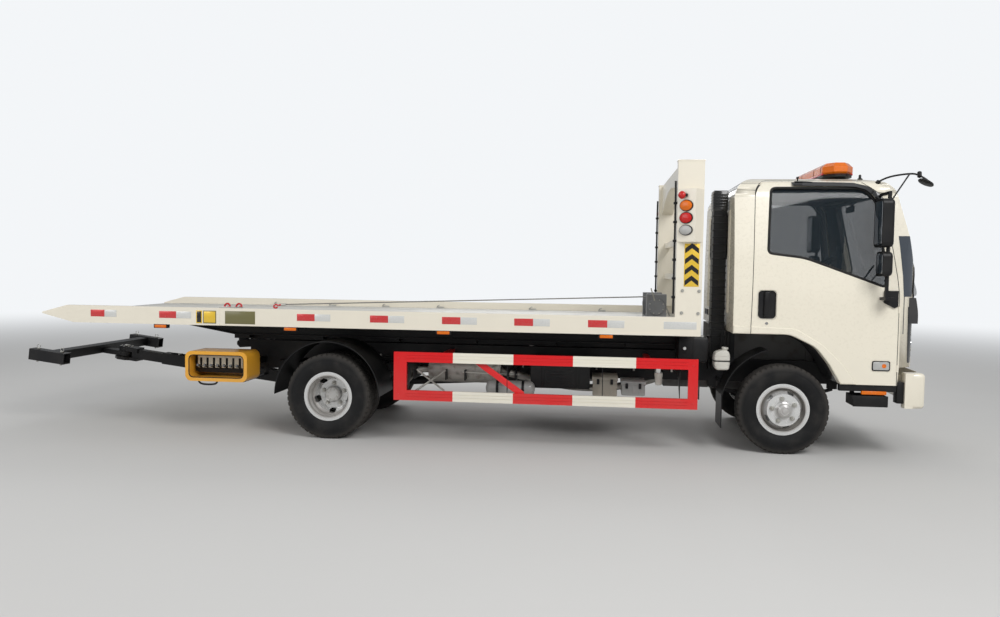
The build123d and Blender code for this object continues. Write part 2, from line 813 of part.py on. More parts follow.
# Bed deck: plate, cross beams and the sloped tail
tail_taper_x = bed_tail_x + 255.0
tail_low_x = bed_tail_x + 325.0
tail_tip_z = 1148.0
tail_tip_height = 14.0
half_bed = bed_width / 2
deck_half = half_bed - bed_rail_thickness
seam_width = 3.0
seam_depth = 1.5
seam_inner_y = 34.0
seam_outer_y = deck_half - 10.0
floor_front_x = bed_front_x - 470.0
with BuildPart() as bed_deck:
    side_plate(
        (
            (bed_tail_x + 30, tail_tip_z - 12),
            (tail_low_x, deck_top - deck_sheet),
            (bed_front_x, deck_top - deck_sheet),
            (bed_front_x, deck_top),
            (tail_taper_x, deck_top),
            (bed_tail_x + 30, tail_tip_z - 6),
        ),
        (-deck_half, deck_half),
    )
    beam_count = int((bed_front_x - runner_tail_x - 200) / cross_beam_pitch) + 1
    for beam in range(beam_count):
        beam_x = bed_front_x - 110 - beam * cross_beam_pitch
        bar(
            (beam_x - cross_beam_width / 2, beam_x + cross_beam_width / 2),
            (-deck_half, deck_half),
            (bed_bottom, deck_top - deck_sheet),
        )
    side_plate(
        (
            (bed_tail_x + 90, tail_tip_z - 14),
            (tail_low_x, bed_bottom + 6),
            (tail_low_x + 130, bed_bottom + 6),
            (tail_low_x + 130, deck_top - deck_sheet),
            (tail_low_x, deck_top - deck_sheet),
        ),
        (-deck_half, deck_half),
    )
    seam_z = (deck_top - seam_depth, deck_top)
    for end in (-1, 1):
        for seam_y in (seam_inner_y, seam_outer_y):
            seam_ys = sorted((end * seam_y, end * (seam_y + seam_width)))
            bar((tail_taper_x - seam_width, floor_front_x), seam_ys, seam_z, Mode.SUBTRACT)
    cross_seam = (-seam_outer_y - seam_width, seam_outer_y + seam_width)
    bar((floor_front_x, floor_front_x + seam_width), cross_seam, seam_z, Mode.SUBTRACT)
finish(bed_deck, "bed_deck")

# Bed side rails
with BuildPart() as bed_rails:
    for end in (-1, 1):
        side_plate(
            (
                (bed_tail_x, tail_tip_z - tail_tip_height / 2),
                (tail_low_x, bed_bottom),
                (bed_front_x, bed_bottom),
                (bed_front_x, bed_top),
                (tail_taper_x, bed_top),
                (bed_tail_x, tail_tip_z + tail_tip_height / 2),
            ),
            sorted((end * deck_half, end * half_bed)),
        )
finish(bed_rails, "bed_rails")

# Mast: two posts, an arched head beam, cross bars and the lamp boxes
post_inner_y = half_bed - post_width
lamp_box_low = 1885.0
lamp_box_high = 2345.0
lamp_box_depth = 85.0
with BuildPart() as mast:
    for end in (-1, 1):
        ys = sorted((end * post_inner_y, end * half_bed))
        bar((bed_front_x - post_length, bed_front_x), ys, (bed_top, mast_top))
        with BuildSketch(Plane.XY.offset(lamp_box_low)):
            with BuildLine():
                Polyline(
                    (bed_front_x - post_length, end * half_bed),
                    (bed_front_x - 80, end * (half_bed + lamp_box_depth)),
                    (bed_front_x - 8, end * half_bed),
                    close=True,
                )
            make_face()
        extrude(amount=lamp_box_high - lamp_box_low)
    with BuildSketch(Plane.YZ.offset(bed_front_x - 190)):
        with BuildLine():
            low = ThreePointArc(
                (-post_inner_y, mast_top - 330),
                (0, mast_top - 140),
                (post_inner_y, mast_top - 330),
            )
            Polyline(
                (post_inner_y, mast_top - 330),
                (post_inner_y, mast_top - 10),
                (-post_inner_y, mast_top - 10),
                (-post_inner_y, mast_top - 330),
            )
        make_face()
    extrude(amount=120)
    for bar_z in (deck_top + 420, deck_top + 760):
        bar(
            (bed_front_x - 150, bed_front_x - 90),
            (-post_inner_y, post_inner_y),
            (bar_z - 30, bar_z + 30),
        )
    bar((bed_front_x - 60, bed_front_x - 20), (-post_inner_y, post_inner_y), (deck_top, bed_top + 60))
finish(mast, "mast")

# Winch: drum between two housings on the deck, with its rope and hook
winch_x = bed_front_x - 330.0
winch_half_length = 250.0
drum_shell_radius = 70.0
winch_z = deck_top + 140.0
housing_size = 190.0
with BuildPart() as winch:
    cross_rod(winch_x, winch_z, drum_shell_radius, (-winch_half_length, winch_half_length))
    for end in (-1, 1):
        ys = sorted((end * (winch_half_length - 20), end * (winch_half_length + 110)))
        bar((winch_x - housing_size / 2, winch_x + housing_size / 2), ys, (deck_top, winch_z + 110))
        flange_ys = sorted((end * (winch_half_length - 30), end * (winch_half_length - 20)))
        cross_rod(winch_x, winch_z, 105, flange_ys)
    bar(
        (winch_x - housing_size / 2, winch_x + housing_size / 2),
        (-winch_half_length, winch_half_length),
        (deck_top, deck_top + 20),
    )
finish(winch, "winch")

rope_radius = 6.0
rope_start = Vector(winch_x, 0, winch_z + drum_shell_radius + rope_radius + seat_gap)
rope_end = Vector(rear_axle_x - 860, 0, deck_top + 60)
with BuildPart() as winch_rope:
    with BuildSketch(Plane(origin=rope_start, z_dir=(rope_end - rope_start))):
        Circle(rope_radius)
    extrude(amount=(rope_end - rope_start).length)
    bar(
        (rear_axle_x - 960, rear_axle_x - 850),
        (-22, 22),
        (deck_top + seat_gap, deck_top + 75),
    )
finish(winch_rope, "winch_rope")

# Slide cylinder: barrel held by the tilt frame, rod carried by the bed
with BuildPart() as slide_barrel:
    with BuildSketch(Plane.YZ.offset(slide_barrel_rear_x)):
        with Locations((0, slide_cylinder_z)):
            Circle(slide_cylinder_radius)
    extrude(amount=slide_barrel_front_x - slide_barrel_rear_x)
    with BuildSketch(Plane.YZ.offset(slide_barrel_rear_x)):
        with Locations((0, slide_cylinder_z)):
            Circle(slide_rod_radius + bearing_gap)
    extrude(amount=slide_barrel_front_x - barrel_end_wall - slide_barrel_rear_x, mode=Mode.SUBTRACT)
finish(slide_barrel, "slide_barrel")

rod_bracket_x = slide_barrel_rear_x - 160.0
with BuildPart() as slide_rod:
    with BuildSketch(Plane.YZ.offset(rod_bracket_x)):
        with Locations((0, slide_cylinder_z)):
            Circle(slide_rod_radius)
    extrude(amount=rod_end_x - rod_bracket_x)
    bar(
        (rod_bracket_x - 50, rod_bracket_x),
        (-45, 45),
        (slide_cylinder_z - 38, bed_bottom - 12),
    )
    bar(
        (rod_bracket_x - 50, rod_bracket_x),
        (-runner_inner_y, runner_inner_y),
        (tilt_top + moving_gap, bed_bottom - 12),
    )
finish(slide_rod, "slide_rod")

# Wheel lift: arm, telescopic boom and crossbar, drawn level and turned up to their rise
lift_line = Plane(
    origin=(lift_pivot_x, 0, lift_pivot_z),
    x_dir=(-boom_cosine, 0, boom_sine),
    z_dir=(boom_sine, 0, boom_cosine),
)


def boom_bar(along, across, up, mode=Mode.ADD):
    """A bar laid along the lift: distances along the boom, across the truck and above its centre."""
    plane = Plane(
        origin=lift_line.from_local_coords(Vector(0, 0, up[0])),
        x_dir=lift_line.x_dir,
        z_dir=lift_line.z_dir,
    )
    with BuildSketch(plane) as section:
        with Locations(((along[0] + along[1]) / 2, (across[0] + across[1]) / 2)):
            Rectangle(along[1] - along[0], across[1] - across[0])
    extrude(section.sketch, amount=up[1] - up[0], mode=mode)


def boom_round(along, across, up, radius, mode=Mode.ADD):
    """A round post square to the boom, at a distance along it."""
    plane = Plane(
        origin=lift_line.from_local_coords(Vector(0, 0, up[0])),
        x_dir=lift_line.x_dir,
        z_dir=lift_line.z_dir,
    )
    with BuildSketch(plane) as section:
        with Locations((along, across)):
            Circle(radius)
    extrude(section.sketch, amount=up[1] - up[0], mode=mode)


def boom_octagon(along, up, radius):
    """An eight-sided plate lying along the boom, with its flats across radius."""
    plane = Plane(
        origin=lift_line.from_local_coords(Vector(0, 0, up[0])),
        x_dir=lift_line.x_dir,
        z_dir=lift_line.z_dir,
    )
    with BuildSketch(plane) as section:
        with Locations((along, 0)):
            RegularPolygon(radius, 8, major_radius=False, rotation=22.5)
    extrude(section.sketch, amount=up[1] - up[0])


arm_half = arm_width / 2
arm_half_height = arm_height / 2
lift_pin_radius = 22.0
lift_lug_along = 760.0
lift_lug_up = arm_half_height + 55.0
with BuildPart() as lift_arm:
    boom_bar((70, arm_length), (-arm_half, arm_half), (-arm_half_height, arm_half_height))
    bore_half = arm_half - arm_sheet
    bore_half_height = arm_half_height - arm_sheet
    boom_bar((120, arm_length + 5), (-bore_half, bore_half), (-bore_half_height, bore_half_height), Mode.SUBTRACT)
    cross_rod(lift_pivot_x, lift_pivot_z, 52, (-arm_half, arm_half))
    boom_bar((0, 90), (-arm_half, arm_half), (-40, 40))
    cross_rod(lift_pivot_x, lift_pivot_z, lift_pin_radius + bearing_gap, (-200, 200), Mode.SUBTRACT)
    boom_bar((lift_lug_along - 60, lift_lug_along + 60), (-52, -34), (arm_half_height - 2, lift_lug_up + 30))
    boom_bar((lift_lug_along - 60, lift_lug_along + 60), (34, 52), (arm_half_height - 2, lift_lug_up + 30))
finish(lift_arm, "lift_arm")

boom_half = arm_half - arm_sheet - boom_clearance
boom_half_height = boom_height / 2
head_radius = 78.0
swivel_pin_radius = 26.0
with BuildPart() as lift_boom:
    boom_bar((boom_start, boom_end), (-boom_half, boom_half), (-boom_half_height, boom_half_height))
    boom_bar((boom_end - 60, swivel_reach), (-70, 70), (18, boom_half_height + 14))
    boom_round(swivel_reach, 0, (18, boom_half_height + 14), head_radius)
    boom_bar((boom_end - 60, swivel_reach), (-70, 70), (-boom_half_height - 26, boom_plate_bite - boom_half_height))
    boom_octagon(swivel_reach, (-boom_half_height - 26, boom_plate_bite - boom_half_height), head_radius + 26)
    boom_round(swivel_reach, 0, (-boom_half_height, boom_half_height + 14), swivel_pin_radius)
finish(lift_boom, "lift_boom")

# Crossbar with a sleeve at each end, swivelling between the boom's head plates
half_bar = crossbar_size / 2
sleeve_pin_radius = 11.0
sleeve_pin_inset = 60.0
with BuildPart() as lift_crossbar:
    boom_round(swivel_reach, 0, (crossbar_low, 18 - moving_gap), head_radius - 12)
    boom_bar((swivel_reach, crossbar_reach), (-58, 58), (crossbar_low, 18 - moving_gap))
    across = (-crossbar_half_length, crossbar_half_length)
    boom_bar((crossbar_reach - half_bar, crossbar_reach + half_bar), across, (crossbar_low, crossbar_low + crossbar_size))
    for end in (-1, 1):
        outer = crossbar_half_length + sleeve_size
        sleeve_across = sorted((end * (crossbar_half_length - 2), end * outer))
        sleeve_along = (crossbar_reach - sleeve_length / 2, crossbar_reach + sleeve_length / 2)
        boom_bar(sleeve_along, sleeve_across, (crossbar_low - sleeve_drop, crossbar_low - sleeve_drop + sleeve_size))
        bore_across = sorted((end * (crossbar_half_length + sleeve_sheet - 2), end * (outer - sleeve_sheet)))
        bore_along = (sleeve_along[0] - 5, sleeve_along[1] + 5)
        bore_up = (crossbar_low - sleeve_drop + sleeve_sheet, crossbar_low - sleeve_drop + sleeve_size - sleeve_sheet)
        boom_bar(bore_along, bore_across, bore_up, Mode.SUBTRACT)
        for hole_along in (sleeve_along[0] + sleeve_pin_inset, sleeve_along[1] - sleeve_pin_inset):
            hole_across = end * (crossbar_half_length + sleeve_size / 2)
            hole_up = (crossbar_low - sleeve_drop - 5, crossbar_low - sleeve_drop + sleeve_size + 5)
            boom_round(hole_along, hole_across, hole_up, sleeve_pin_radius, Mode.SUBTRACT)
    boom_round(swivel_reach, 0, (crossbar_low - 5, 20), swivel_pin_radius + bearing_gap, Mode.SUBTRACT)
finish(lift_crossbar, "lift_crossbar")

# Lift brackets on the tilt frame: two hanging plates with the pivot pin and the cylinder's pin
lift_barrel_x = rear_axle_x - 430.0
lift_barrel_z = 800.0
plate_gap = arm_half + 4.0
with BuildPart() as lift_brackets:
    for end in (-1, 1):
        ys = sorted((end * plate_gap, end * (plate_gap + 22)))
        side_plate(
            (
                (lift_pivot_x - 90, tilt_bottom + 4),
                (lift_barrel_x + 70, tilt_bottom + 4),
                (lift_barrel_x + 60, lift_barrel_z - 60),
                (lift_pivot_x + 66, lift_pivot_z - 20),
                (lift_pivot_x + 20, lift_pivot_z - 58),
                (lift_pivot_x - 40, lift_pivot_z - 58),
                (lift_pivot_x - 66, lift_pivot_z - 10),
            ),
            ys,
        )
    pin_span = (-plate_gap - 22, plate_gap + 22)
    cross_rod(lift_pivot_x, lift_pivot_z, lift_pin_radius, pin_span)
    cross_rod(lift_barrel_x, lift_barrel_z, 20, pin_span)
    bar(
        (lift_pivot_x - 90, lift_barrel_x + 70),
        (-tilt_rail_inner_y, tilt_rail_inner_y),
        (tilt_bottom + 4, tilt_bottom + 22),
    )
finish(lift_brackets, "lift_brackets")

# Lift cylinder between the brackets and the arm
lug_point = lift_line.from_local_coords(Vector(lift_lug_along, 0, lift_lug_up))
lift_direction = Vector(lug_point.X - lift_barrel_x, 0, lug_point.Z - lift_barrel_z)
with BuildPart() as lift_barrel:
    lift_barrel_length = lift_direction.length - 150
    with BuildSketch(ram_plane(lift_barrel_x, lift_barrel_z, 0, lift_direction, 36)):
        Circle(40)
    extrude(amount=lift_barrel_length - 36)
    cross_rod(lift_barrel_x, lift_barrel_z, 38, (-28, 28))
    with BuildSketch(ram_plane(lift_barrel_x, lift_barrel_z, 0, lift_direction, 80)):
        Circle(22 + bearing_gap)
    extrude(amount=lift_barrel_length, mode=Mode.SUBTRACT)
    cross_rod(lift_barrel_x, lift_barrel_z, 20 + bearing_gap, (-40, 40), Mode.SUBTRACT)
finish(lift_barrel, "lift_barrel")

with BuildPart() as lift_rod:
    with BuildSketch(ram_plane(lift_barrel_x, lift_barrel_z, 0, lift_direction, 90)):
        Circle(22)
    extrude(amount=lift_direction.length - 110)
    cross_rod(lug_point.X, lug_point.Z, 34, (-28, 28))
finish(lift_rod, "lift_rod")

# Engine and gearbox block
with BuildPart() as engine:
    bar((front_axle_x - 560, front_axle_x + 330), (-300, 300), (490, 1110))
    bar((gearbox_rear_x, front_axle_x - 560), (-170, 170), (480, 730))
    bar((front_axle_x + 330, front_axle_x + 400), (-320, 320), (560, 1090))
    mount_y = rail_outer_y - rail_sheet - seat_gap
    bar((front_axle_x - 100, front_axle_x - 40), (-mount_y, mount_y), (620, 680))
finish(engine, "engine")

# Tanks and boxes beside the rails
tank_rear_x = rear_axle_x + 1750.0
tank_length = 900.0
tank_width = 520.0
tank_height = 380.0
tank_corner = 60.0
tank_y = rail_outer_y + seat_gap + tank_width / 2
tank_z = 610.0
strap_width = 45.0
strap_sheet = 4.0
with BuildPart() as fuel_tank:
    with BuildSketch(Plane.YZ.offset(tank_rear_x)):
        with Locations((tank_y, tank_z)):
            RectangleRounded(tank_width, tank_height, tank_corner)
    extrude(amount=tank_length)
    for strap_x in (tank_rear_x + 180, tank_rear_x + tank_length - 180 - strap_width):
        with BuildSketch(Plane.YZ.offset(strap_x)):
            with Locations((tank_y, tank_z)):
                RectangleRounded(tank_width, tank_height + 2 * strap_sheet, tank_corner)
        extrude(amount=strap_width)
    with BuildSketch(Plane.XY.offset(tank_z + tank_height / 2 - 5)):
        with Locations((tank_rear_x + tank_length - 90, tank_y + 150)):
            Circle(38)
    extrude(amount=45)
finish(fuel_tank, "fuel_tank")

with BuildPart() as battery_box:
    bar((rear_axle_x + 1900, rear_axle_x + 2450), (-rail_outer_y - 420, -rail_outer_y - seat_gap), (520, 770))
finish(battery_box, "battery_box")

with BuildPart() as silencer:
    with BuildSketch(Plane.YZ.offset(rear_axle_x + 900)):
        with Locations((-rail_outer_y - 180, 640)):
            Circle(120)
    extrude(amount=700)
    for strap_x in (rear_axle_x + 1000, rear_axle_x + 1480):
        bar((strap_x, strap_x + 30), (-rail_outer_y - 180, -rail_outer_y - seat_gap), (690, 740))
finish(silencer, "silencer")

# Side guards: two rails with end plates, and a diagonal stay behind
with BuildPart() as side_guards:
    for end in (-1, 1):
        ys = sorted((end * (guard_y - guard_depth), end * guard_y))
        for low in (guard_bottom, guard_top - guard_rail_height):
            bar((guard_rear_x, guard_front_x), ys, (low, low + guard_rail_height))
        bar((guard_rear_x, guard_rear_x + 120), ys, (guard_bottom, guard_top))
        bar((guard_front_x - 85, guard_front_x), ys, (guard_bottom, guard_top))
        for low in (guard_bottom, guard_top - guard_rail_height):
            for groove_low in (low + guard_rail_height * 0.3, low + guard_rail_height * 0.6):
                bar(
                    (guard_rear_x + 120, guard_front_x - 85),
                    sorted((end * (guard_y - groove_depth), end * guard_y)),
                    (groove_low, groove_low + groove_width),
                    Mode.SUBTRACT,
                )
        for stay_x in (guard_rear_x + 420, guard_front_x - 420):
            stay_ys = sorted((end * rail_outer_y, end * (guard_y - guard_depth)))
            bar((stay_x - 25, stay_x + 25), stay_ys, (guard_top - 80, guard_top - 30))
finish(side_guards, "side_guards")

# Rear fenders: half-round covers over the twin tyres
fender_inner_radius = 500.0
fender_sheet = 8.0
fender_inner_y = 560.0
fender_outer_y = 1070.0
with BuildPart() as rear_fenders:
    for end in (-1, 1):
        start_y = end * fender_inner_y
        with BuildSketch(Plane(origin=(rear_axle_x, start_y, 420), x_dir=(1, 0, 0), z_dir=(0, -1, 0))):
            Circle(fender_inner_radius + fender_sheet)
            Circle(fender_inner_radius, mode=Mode.SUBTRACT)
            with Locations((0, -fender_inner_radius)):
                Rectangle(4 * fender_inner_radius, 2 * fender_inner_radius, mode=Mode.SUBTRACT)
        extrude(amount=-end * (fender_outer_y - fender_inner_y))
        for arm_x in (-430, 430):
            bar(
                (rear_axle_x + arm_x - 10, rear_axle_x + arm_x + 10),
                sorted((end * (rail_outer_y + seat_gap), end * (fender_inner_y + 60))),
                (668, 698),
            )
finish(rear_fenders, "rear_fenders")

# Front mudguards: an arch behind each wheel with a flap below it
flap_bottom = 225.0
flap_sheet = 9.0
flap_overlap_z = 125.0
with BuildPart() as front_mudguards:
    for end in (-1, 1):
        with BuildSketch(
            Plane(origin=(front_axle_x, end * 640, tyre_radius), x_dir=(1, 0, 0), z_dir=(0, -1, 0))
        ):
            with BuildLine():
                guard_outer = CenterArc((0, 0), 560, 106, 62)
                guard_inner = CenterArc((0, 0), 552, 106, 62)
                Line(guard_outer @ 0, guard_inner @ 0)
                Line(guard_outer @ 1, guard_inner @ 1)
            make_face()
        extrude(amount=-end * 330)
        flap_top = tyre_radius + flap_overlap_z
        flap_rear_x = front_axle_x - 549
        bar(
            (flap_rear_x, flap_rear_x + flap_sheet),
            sorted((end * 640, end * 970)),
            (flap_bottom, flap_top),
        )
        bar(
            (front_axle_x - 526, front_axle_x - 506),
            sorted((end * (rail_outer_y + seat_gap), end * 700)),
            (600, 625),
        )
finish(front_mudguards, "front_mudguards")

# Bumper: hollow, with rounded edges and corners that return beside the cab
bumper_bottom = 462.0
bumper_top = 770.0
bumper_front_x = front_axle_x + front_overhang
bumper_return_x = front_axle_x + 1002.0
bumper_sheet = 26.0
bumper_half_width = 1015.0
with BuildPart() as bumper:
    with BuildSketch(Plane.XY.offset(bumper_bottom)):
        with BuildLine():
            Polyline(
                (bumper_return_x, bumper_half_width),
                (bumper_front_x - 150, bumper_half_width),
                (bumper_front_x - 50, bumper_half_width - 120),
                (bumper_front_x, 0),
                (bumper_front_x - 50, -bumper_half_width + 120),
                (bumper_front_x - 150, -bumper_half_width),
                (bumper_return_x, -bumper_half_width),
                (bumper_return_x, -bumper_half_width + bumper_sheet),
                (bumper_front_x - 160, -bumper_half_width + bumper_sheet),
                (bumper_front_x - 50 - bumper_sheet, -bumper_half_width + 135),
                (bumper_front_x - bumper_sheet, 0),
                (bumper_front_x - 50 - bumper_sheet, bumper_half_width - 135),
                (bumper_front_x - 160, bumper_half_width - bumper_sheet),
                (bumper_return_x, bumper_half_width - bumper_sheet),
                close=True,
            )
        make_face()
    extrude(amount=bumper_top - bumper_bottom)
    for end in (-1, 1):
        ys = sorted((end * (rail_outer_y - rail_flange), end * rail_outer_y))
        bar((rail_front_x, bumper_front_x - 36), ys, (rail_bottom + 10, rail_bottom + 110))
    top_edges = bumper.edges().filter_by(Plane.XY).group_by(Axis.Z)[-1]
    outer_edges = [e for e in top_edges if e.center().X > bumper_front_x - 40]
    fillet(outer_edges, 25)
finish(bumper, "bumper")

# Control box: a yellow shell open to the side, and its lever bank
with BuildPart() as control_box:
    centre_x = (box_front_x + box_rear_x) / 2
    centre_z = (box_bottom + box_top) / 2
    plane = Plane(origin=(centre_x, -box_outer_y, centre_z), x_dir=(1, 0, 0), z_dir=(0, -1, 0))
    with BuildSketch(plane):
        RectangleRounded(box_front_x - box_rear_x, box_top - box_bottom, 60)
    extrude(amount=-box_depth)
    with BuildSketch(plane):
        RectangleRounded(box_front_x - box_rear_x - 70, box_top - box_bottom - 70, 40)
    extrude(amount=-box_depth + 8, mode=Mode.SUBTRACT)
finish(control_box, "control_box")

with BuildPart() as control_levers:
    bank_y = (-box_outer_y + 120, -box_outer_y + box_depth - 8 - seat_gap)
    bar((box_rear_x + 70, box_front_x - 70), bank_y, (centre_z - 70, centre_z + 20))
    for lever in range(7):
        lever_x = box_rear_x + 110 + lever * 65
        with BuildSketch(Plane(origin=(lever_x, bank_y[0] + 4, centre_z - 20), z_dir=(0, -1, 0.3))):
            Circle(9)
        extrude(amount=95)
finish(control_levers, "control_levers")

# Rear lamps on the frame's tail
with BuildPart() as rear_lamps:
    for end in (-1, 1):
        ys = sorted((end * 500, end * 760))
        bar((rail_rear_x - 40, rail_rear_x), ys, (640, 740))
        arm_ys = sorted((end * (rail_outer_y + seat_gap), end * 740))
        bar((rail_rear_x, rail_rear_x + 20), arm_ys, (660, 720))
finish(rear_lamps, "rear_lamps")

# Washer bottle and air intake behind the cab
with BuildPart() as washer_bottle:
    bar((front_axle_x - 620, front_axle_x - 475), (-960, -820), (745, 950))
    bar((front_axle_x - 495, front_axle_x - 475), (-830, -rail_outer_y - seat_gap), (745, 765))
finish(washer_bottle, "washer_bottle")

with BuildPart() as air_intake:
    bar((front_axle_x - 610, front_axle_x - 490), (-640, -490), (830, 2380))
    bar((front_axle_x - 610, front_axle_x - 510), (-500, -rail_outer_y - seat_gap), (700, 880))
finish(air_intake, "air_intake")

# Cab form: a side profile, a front profile and a plan profile crossed into one hull.
# Rows give two places and the corner's radius.
windscreen_base_z = 1420.0
nose_x = front_axle_x + 1165.0
arch_rows = (
    (front_axle_x + 20, cab_floor, 250),
    (front_axle_x + 245, 977, 250),
    (front_axle_x + 360, 830, 500),
    (front_axle_x + 458, cab_sill, 0),
)
cab_side_rows = (
    ((cab_rear_x, cab_floor, 0),)
    + arch_rows
    + (
        (front_axle_x + 930, cab_sill, 0),
        (front_axle_x + 945, cab_nose_bottom, 0),
        (nose_x - 30, cab_nose_bottom, 0),
        (nose_x - 5, cab_nose_bottom + 40, 0),
        (nose_x, 1300, 600),
        (nose_x - 20, windscreen_base_z, 300),
        (front_axle_x + 905, cab_roof - 110, 140),
        (front_axle_x + 840, cab_roof - 40, 120),
        (front_axle_x + 640, cab_roof, 600),
        (cab_rear_x, cab_roof, 200),
    )
)
cab_front_rows = (
    (cab_half_width, cab_sill - 100, 0),
    (cab_half_width, 1450, 2000),
    (cab_half_width - 30, 1800, 2000),
    (cab_half_width - 115, cab_roof - 130, 200),
    (cab_half_width - 190, cab_roof - 35, 120),
    (cab_half_width - 330, cab_roof, 0),
)
cab_plan_rows = (
    (cab_rear_x, cab_half_width, 0),
    (front_axle_x + 930, cab_half_width, 60),
    (front_axle_x + 1060, cab_half_width - 90, 200),
    (front_axle_x + 1120, cab_half_width - 230, 300),
    (nose_x, cab_half_width - 620, 1500),
)


def both_halves(rows, mirrored):
    """An outline's rows followed by their mirror image, whose sign changes in one column."""
    signs = [-1 if column == mirrored else 1 for column in range(3)]
    return rows + tuple(tuple(s * v for s, v in zip(signs, row)) for row in reversed(rows))


cab_profiles = {
    "side": rounded_outline(cab_side_rows),
    "front": rounded_outline(both_halves(cab_front_rows, 0)),
    "plan": rounded_outline(both_halves(cab_plan_rows, 1)),
}


def cab_form(inset):
    """The cab's outer hull, drawn in by inset on every face."""
    with BuildPart() as form:
        with BuildSketch(Plane.XZ):
            add(cab_profiles["side"])
            if inset:
                offset(amount=-inset, kind=Kind.INTERSECTION, mode=Mode.REPLACE)
        extrude(amount=cab_half_width + 100, both=True)
        with BuildSketch(Plane.YZ.offset(cab_rear_x - 100)):
            add(cab_profiles["front"])
            if inset:
                offset(amount=-inset, kind=Kind.INTERSECTION, mode=Mode.REPLACE)
        extrude(amount=2000, mode=Mode.INTERSECT)
        with BuildSketch(Plane.XY.offset(cab_sill - 50)):
            add(cab_profiles["plan"])
            if inset:
                offset(amount=-inset, kind=Kind.INTERSECTION, mode=Mode.REPLACE)
        extrude(amount=2200, mode=Mode.INTERSECT)
    return form.part


def tunnel_form(grow):
    """The space under the cab's middle for the engine and the frame's front end."""
    half = tunnel_half_width + grow
    with BuildPart() as tunnel:
        side_plate(
            (
                (cab_rear_x - 200, 0),
                (cab_rear_x - 200, 1180 + grow),
                (front_axle_x + 450 + grow, 1180 + grow),
                (front_axle_x + 560 + grow, 840 + grow),
                (nose_x + 200, 840 + grow),
                (nose_x + 200, 0),
            ),
            (-half, half),
        )
    return tunnel.part


cab_outer = cab_form(0)
cab_inner = cab_form(cab_wall)
tunnel_outer = tunnel_form(0)
tunnel_inner = tunnel_form(40)

with BuildPart() as room:
    add(cab_inner)
    add(tunnel_inner, mode=Mode.SUBTRACT)

with BuildPart() as cab_hollow:
    add(cab_outer)
    add(tunnel_outer, mode=Mode.SUBTRACT)
    add(room.part, mode=Mode.SUBTRACT)

# Door opening, door and window outlines, in X and Z with their corners' radii
door_front_x = front_axle_x + 922.0
hinge_line_x = door_front_x + door_gap / 2
hinge_barrel_radius = 7.0
hinge_spans = ((780, 840), (1290, 1350))
door_rear_x = front_axle_x - 315.0
door_top_z = cab_roof - 22.0
opening_corner = 140.0
door_corner = 170.0


def door_outline(corner):
    """The door's outline with the given radius at its upper rear corner."""
    return (
        (door_rear_x, cab_floor, 0),
        (door_rear_x + 30, door_top_z, corner),
        (front_axle_x + 600, door_top_z, 0),
        (front_axle_x + 790, cab_roof - 170, 150),
        (front_axle_x + 905, 1600, 0),
        (door_front_x, 1450, 0),
        (door_front_x, cab_sill, 0),
    ) + arch_rows[::-1]


opening_rows = door_outline(opening_corner)
door_rows = door_outline(door_corner)
window_rows = (
    (front_axle_x - 185, 1795, 50),
    (front_axle_x - 160, 2385, 60),
    (front_axle_x + 640, 2385, 150),
    (front_axle_x + 745, 2250, 150),
    (front_axle_x + 835, 1500, 45),
    (front_axle_x + 414, 1655, 600),
    (front_axle_x + 133, 1757, 600),
)


def outline_block(rows, grow, side, reach):
    """A block standing on one side of the cab, with the outline grown by a gap."""
    outline = rounded_outline(rows)
    with BuildPart() as block:
        start = Plane(origin=(0, side * reach[0], 0), x_dir=(1, 0, 0), z_dir=(0, -1, 0))
        with BuildSketch(start):
            add(outline)
            if grow:
                offset(amount=grow, kind=Kind.INTERSECTION, mode=Mode.REPLACE)
        extrude(amount=-side * (reach[1] - reach[0]))
    return block.part


# Raised lip round the wheel arch, from the arch itself up to its crease
flare_height = 8.0
flare_root = 20.0
flare_rows = (
    (cab_rear_x, cab_floor, 0),
    (cab_rear_x, cab_floor + 70, 0),
    (front_axle_x + 70, cab_floor + 55, 250),
    (front_axle_x + 300, 1000, 300),
    (front_axle_x + 470, 835, 400),
    (front_axle_x + 592, cab_sill, 0),
) + arch_rows[::-1]
arch_flares = {}
for side in sides.values():
    flare_reach = (cab_half_width - flare_root, cab_half_width + flare_height)
    with BuildPart() as flare:
        add(outline_block(flare_rows, 0, side, flare_reach))
        outer_face = flare.faces().sort_by(Axis.Y)[-1 if side > 0 else 0]
        chamfer(outer_face.edges(), flare_height - 1)
    arch_flares[side] = flare.part

# Door handle: an upright grip in a pocket
handle_depth = 26.0
handle_rows = (
    (front_axle_x - 260, 1221, 35),
    (front_axle_x - 106, 1221, 35),
    (front_axle_x - 106, 1469, 35),
    (front_axle_x - 260, 1469, 35),
)
grip_rows = (
    (front_axle_x - 205, 1245, 15),
    (front_axle_x - 160, 1245, 15),
    (front_axle_x - 160, 1445, 15),
    (front_axle_x - 205, 1445, 15),
)

door_top_reach = 180.0
door_reach = (cab_half_width - door_top_reach, cab_half_width + 50)
opening_reach = (door_reach[0] - 10, door_reach[1])
door_skin = 20.0
door_step = 22.0

# Windscreen and rear window outlines, seen from the front, in Y and Z with their corners' radii
windscreen_rows = (
    (900, windscreen_base_z + 20, 60),
    (790, cab_roof - 140, 80),
    (-790, cab_roof - 140, 80),
    (-900, windscreen_base_z + 20, 60),
)
rear_window_rows = ((520, 1760, 60), (500, 2180, 60), (-500, 2180, 60), (-520, 1760, 60))


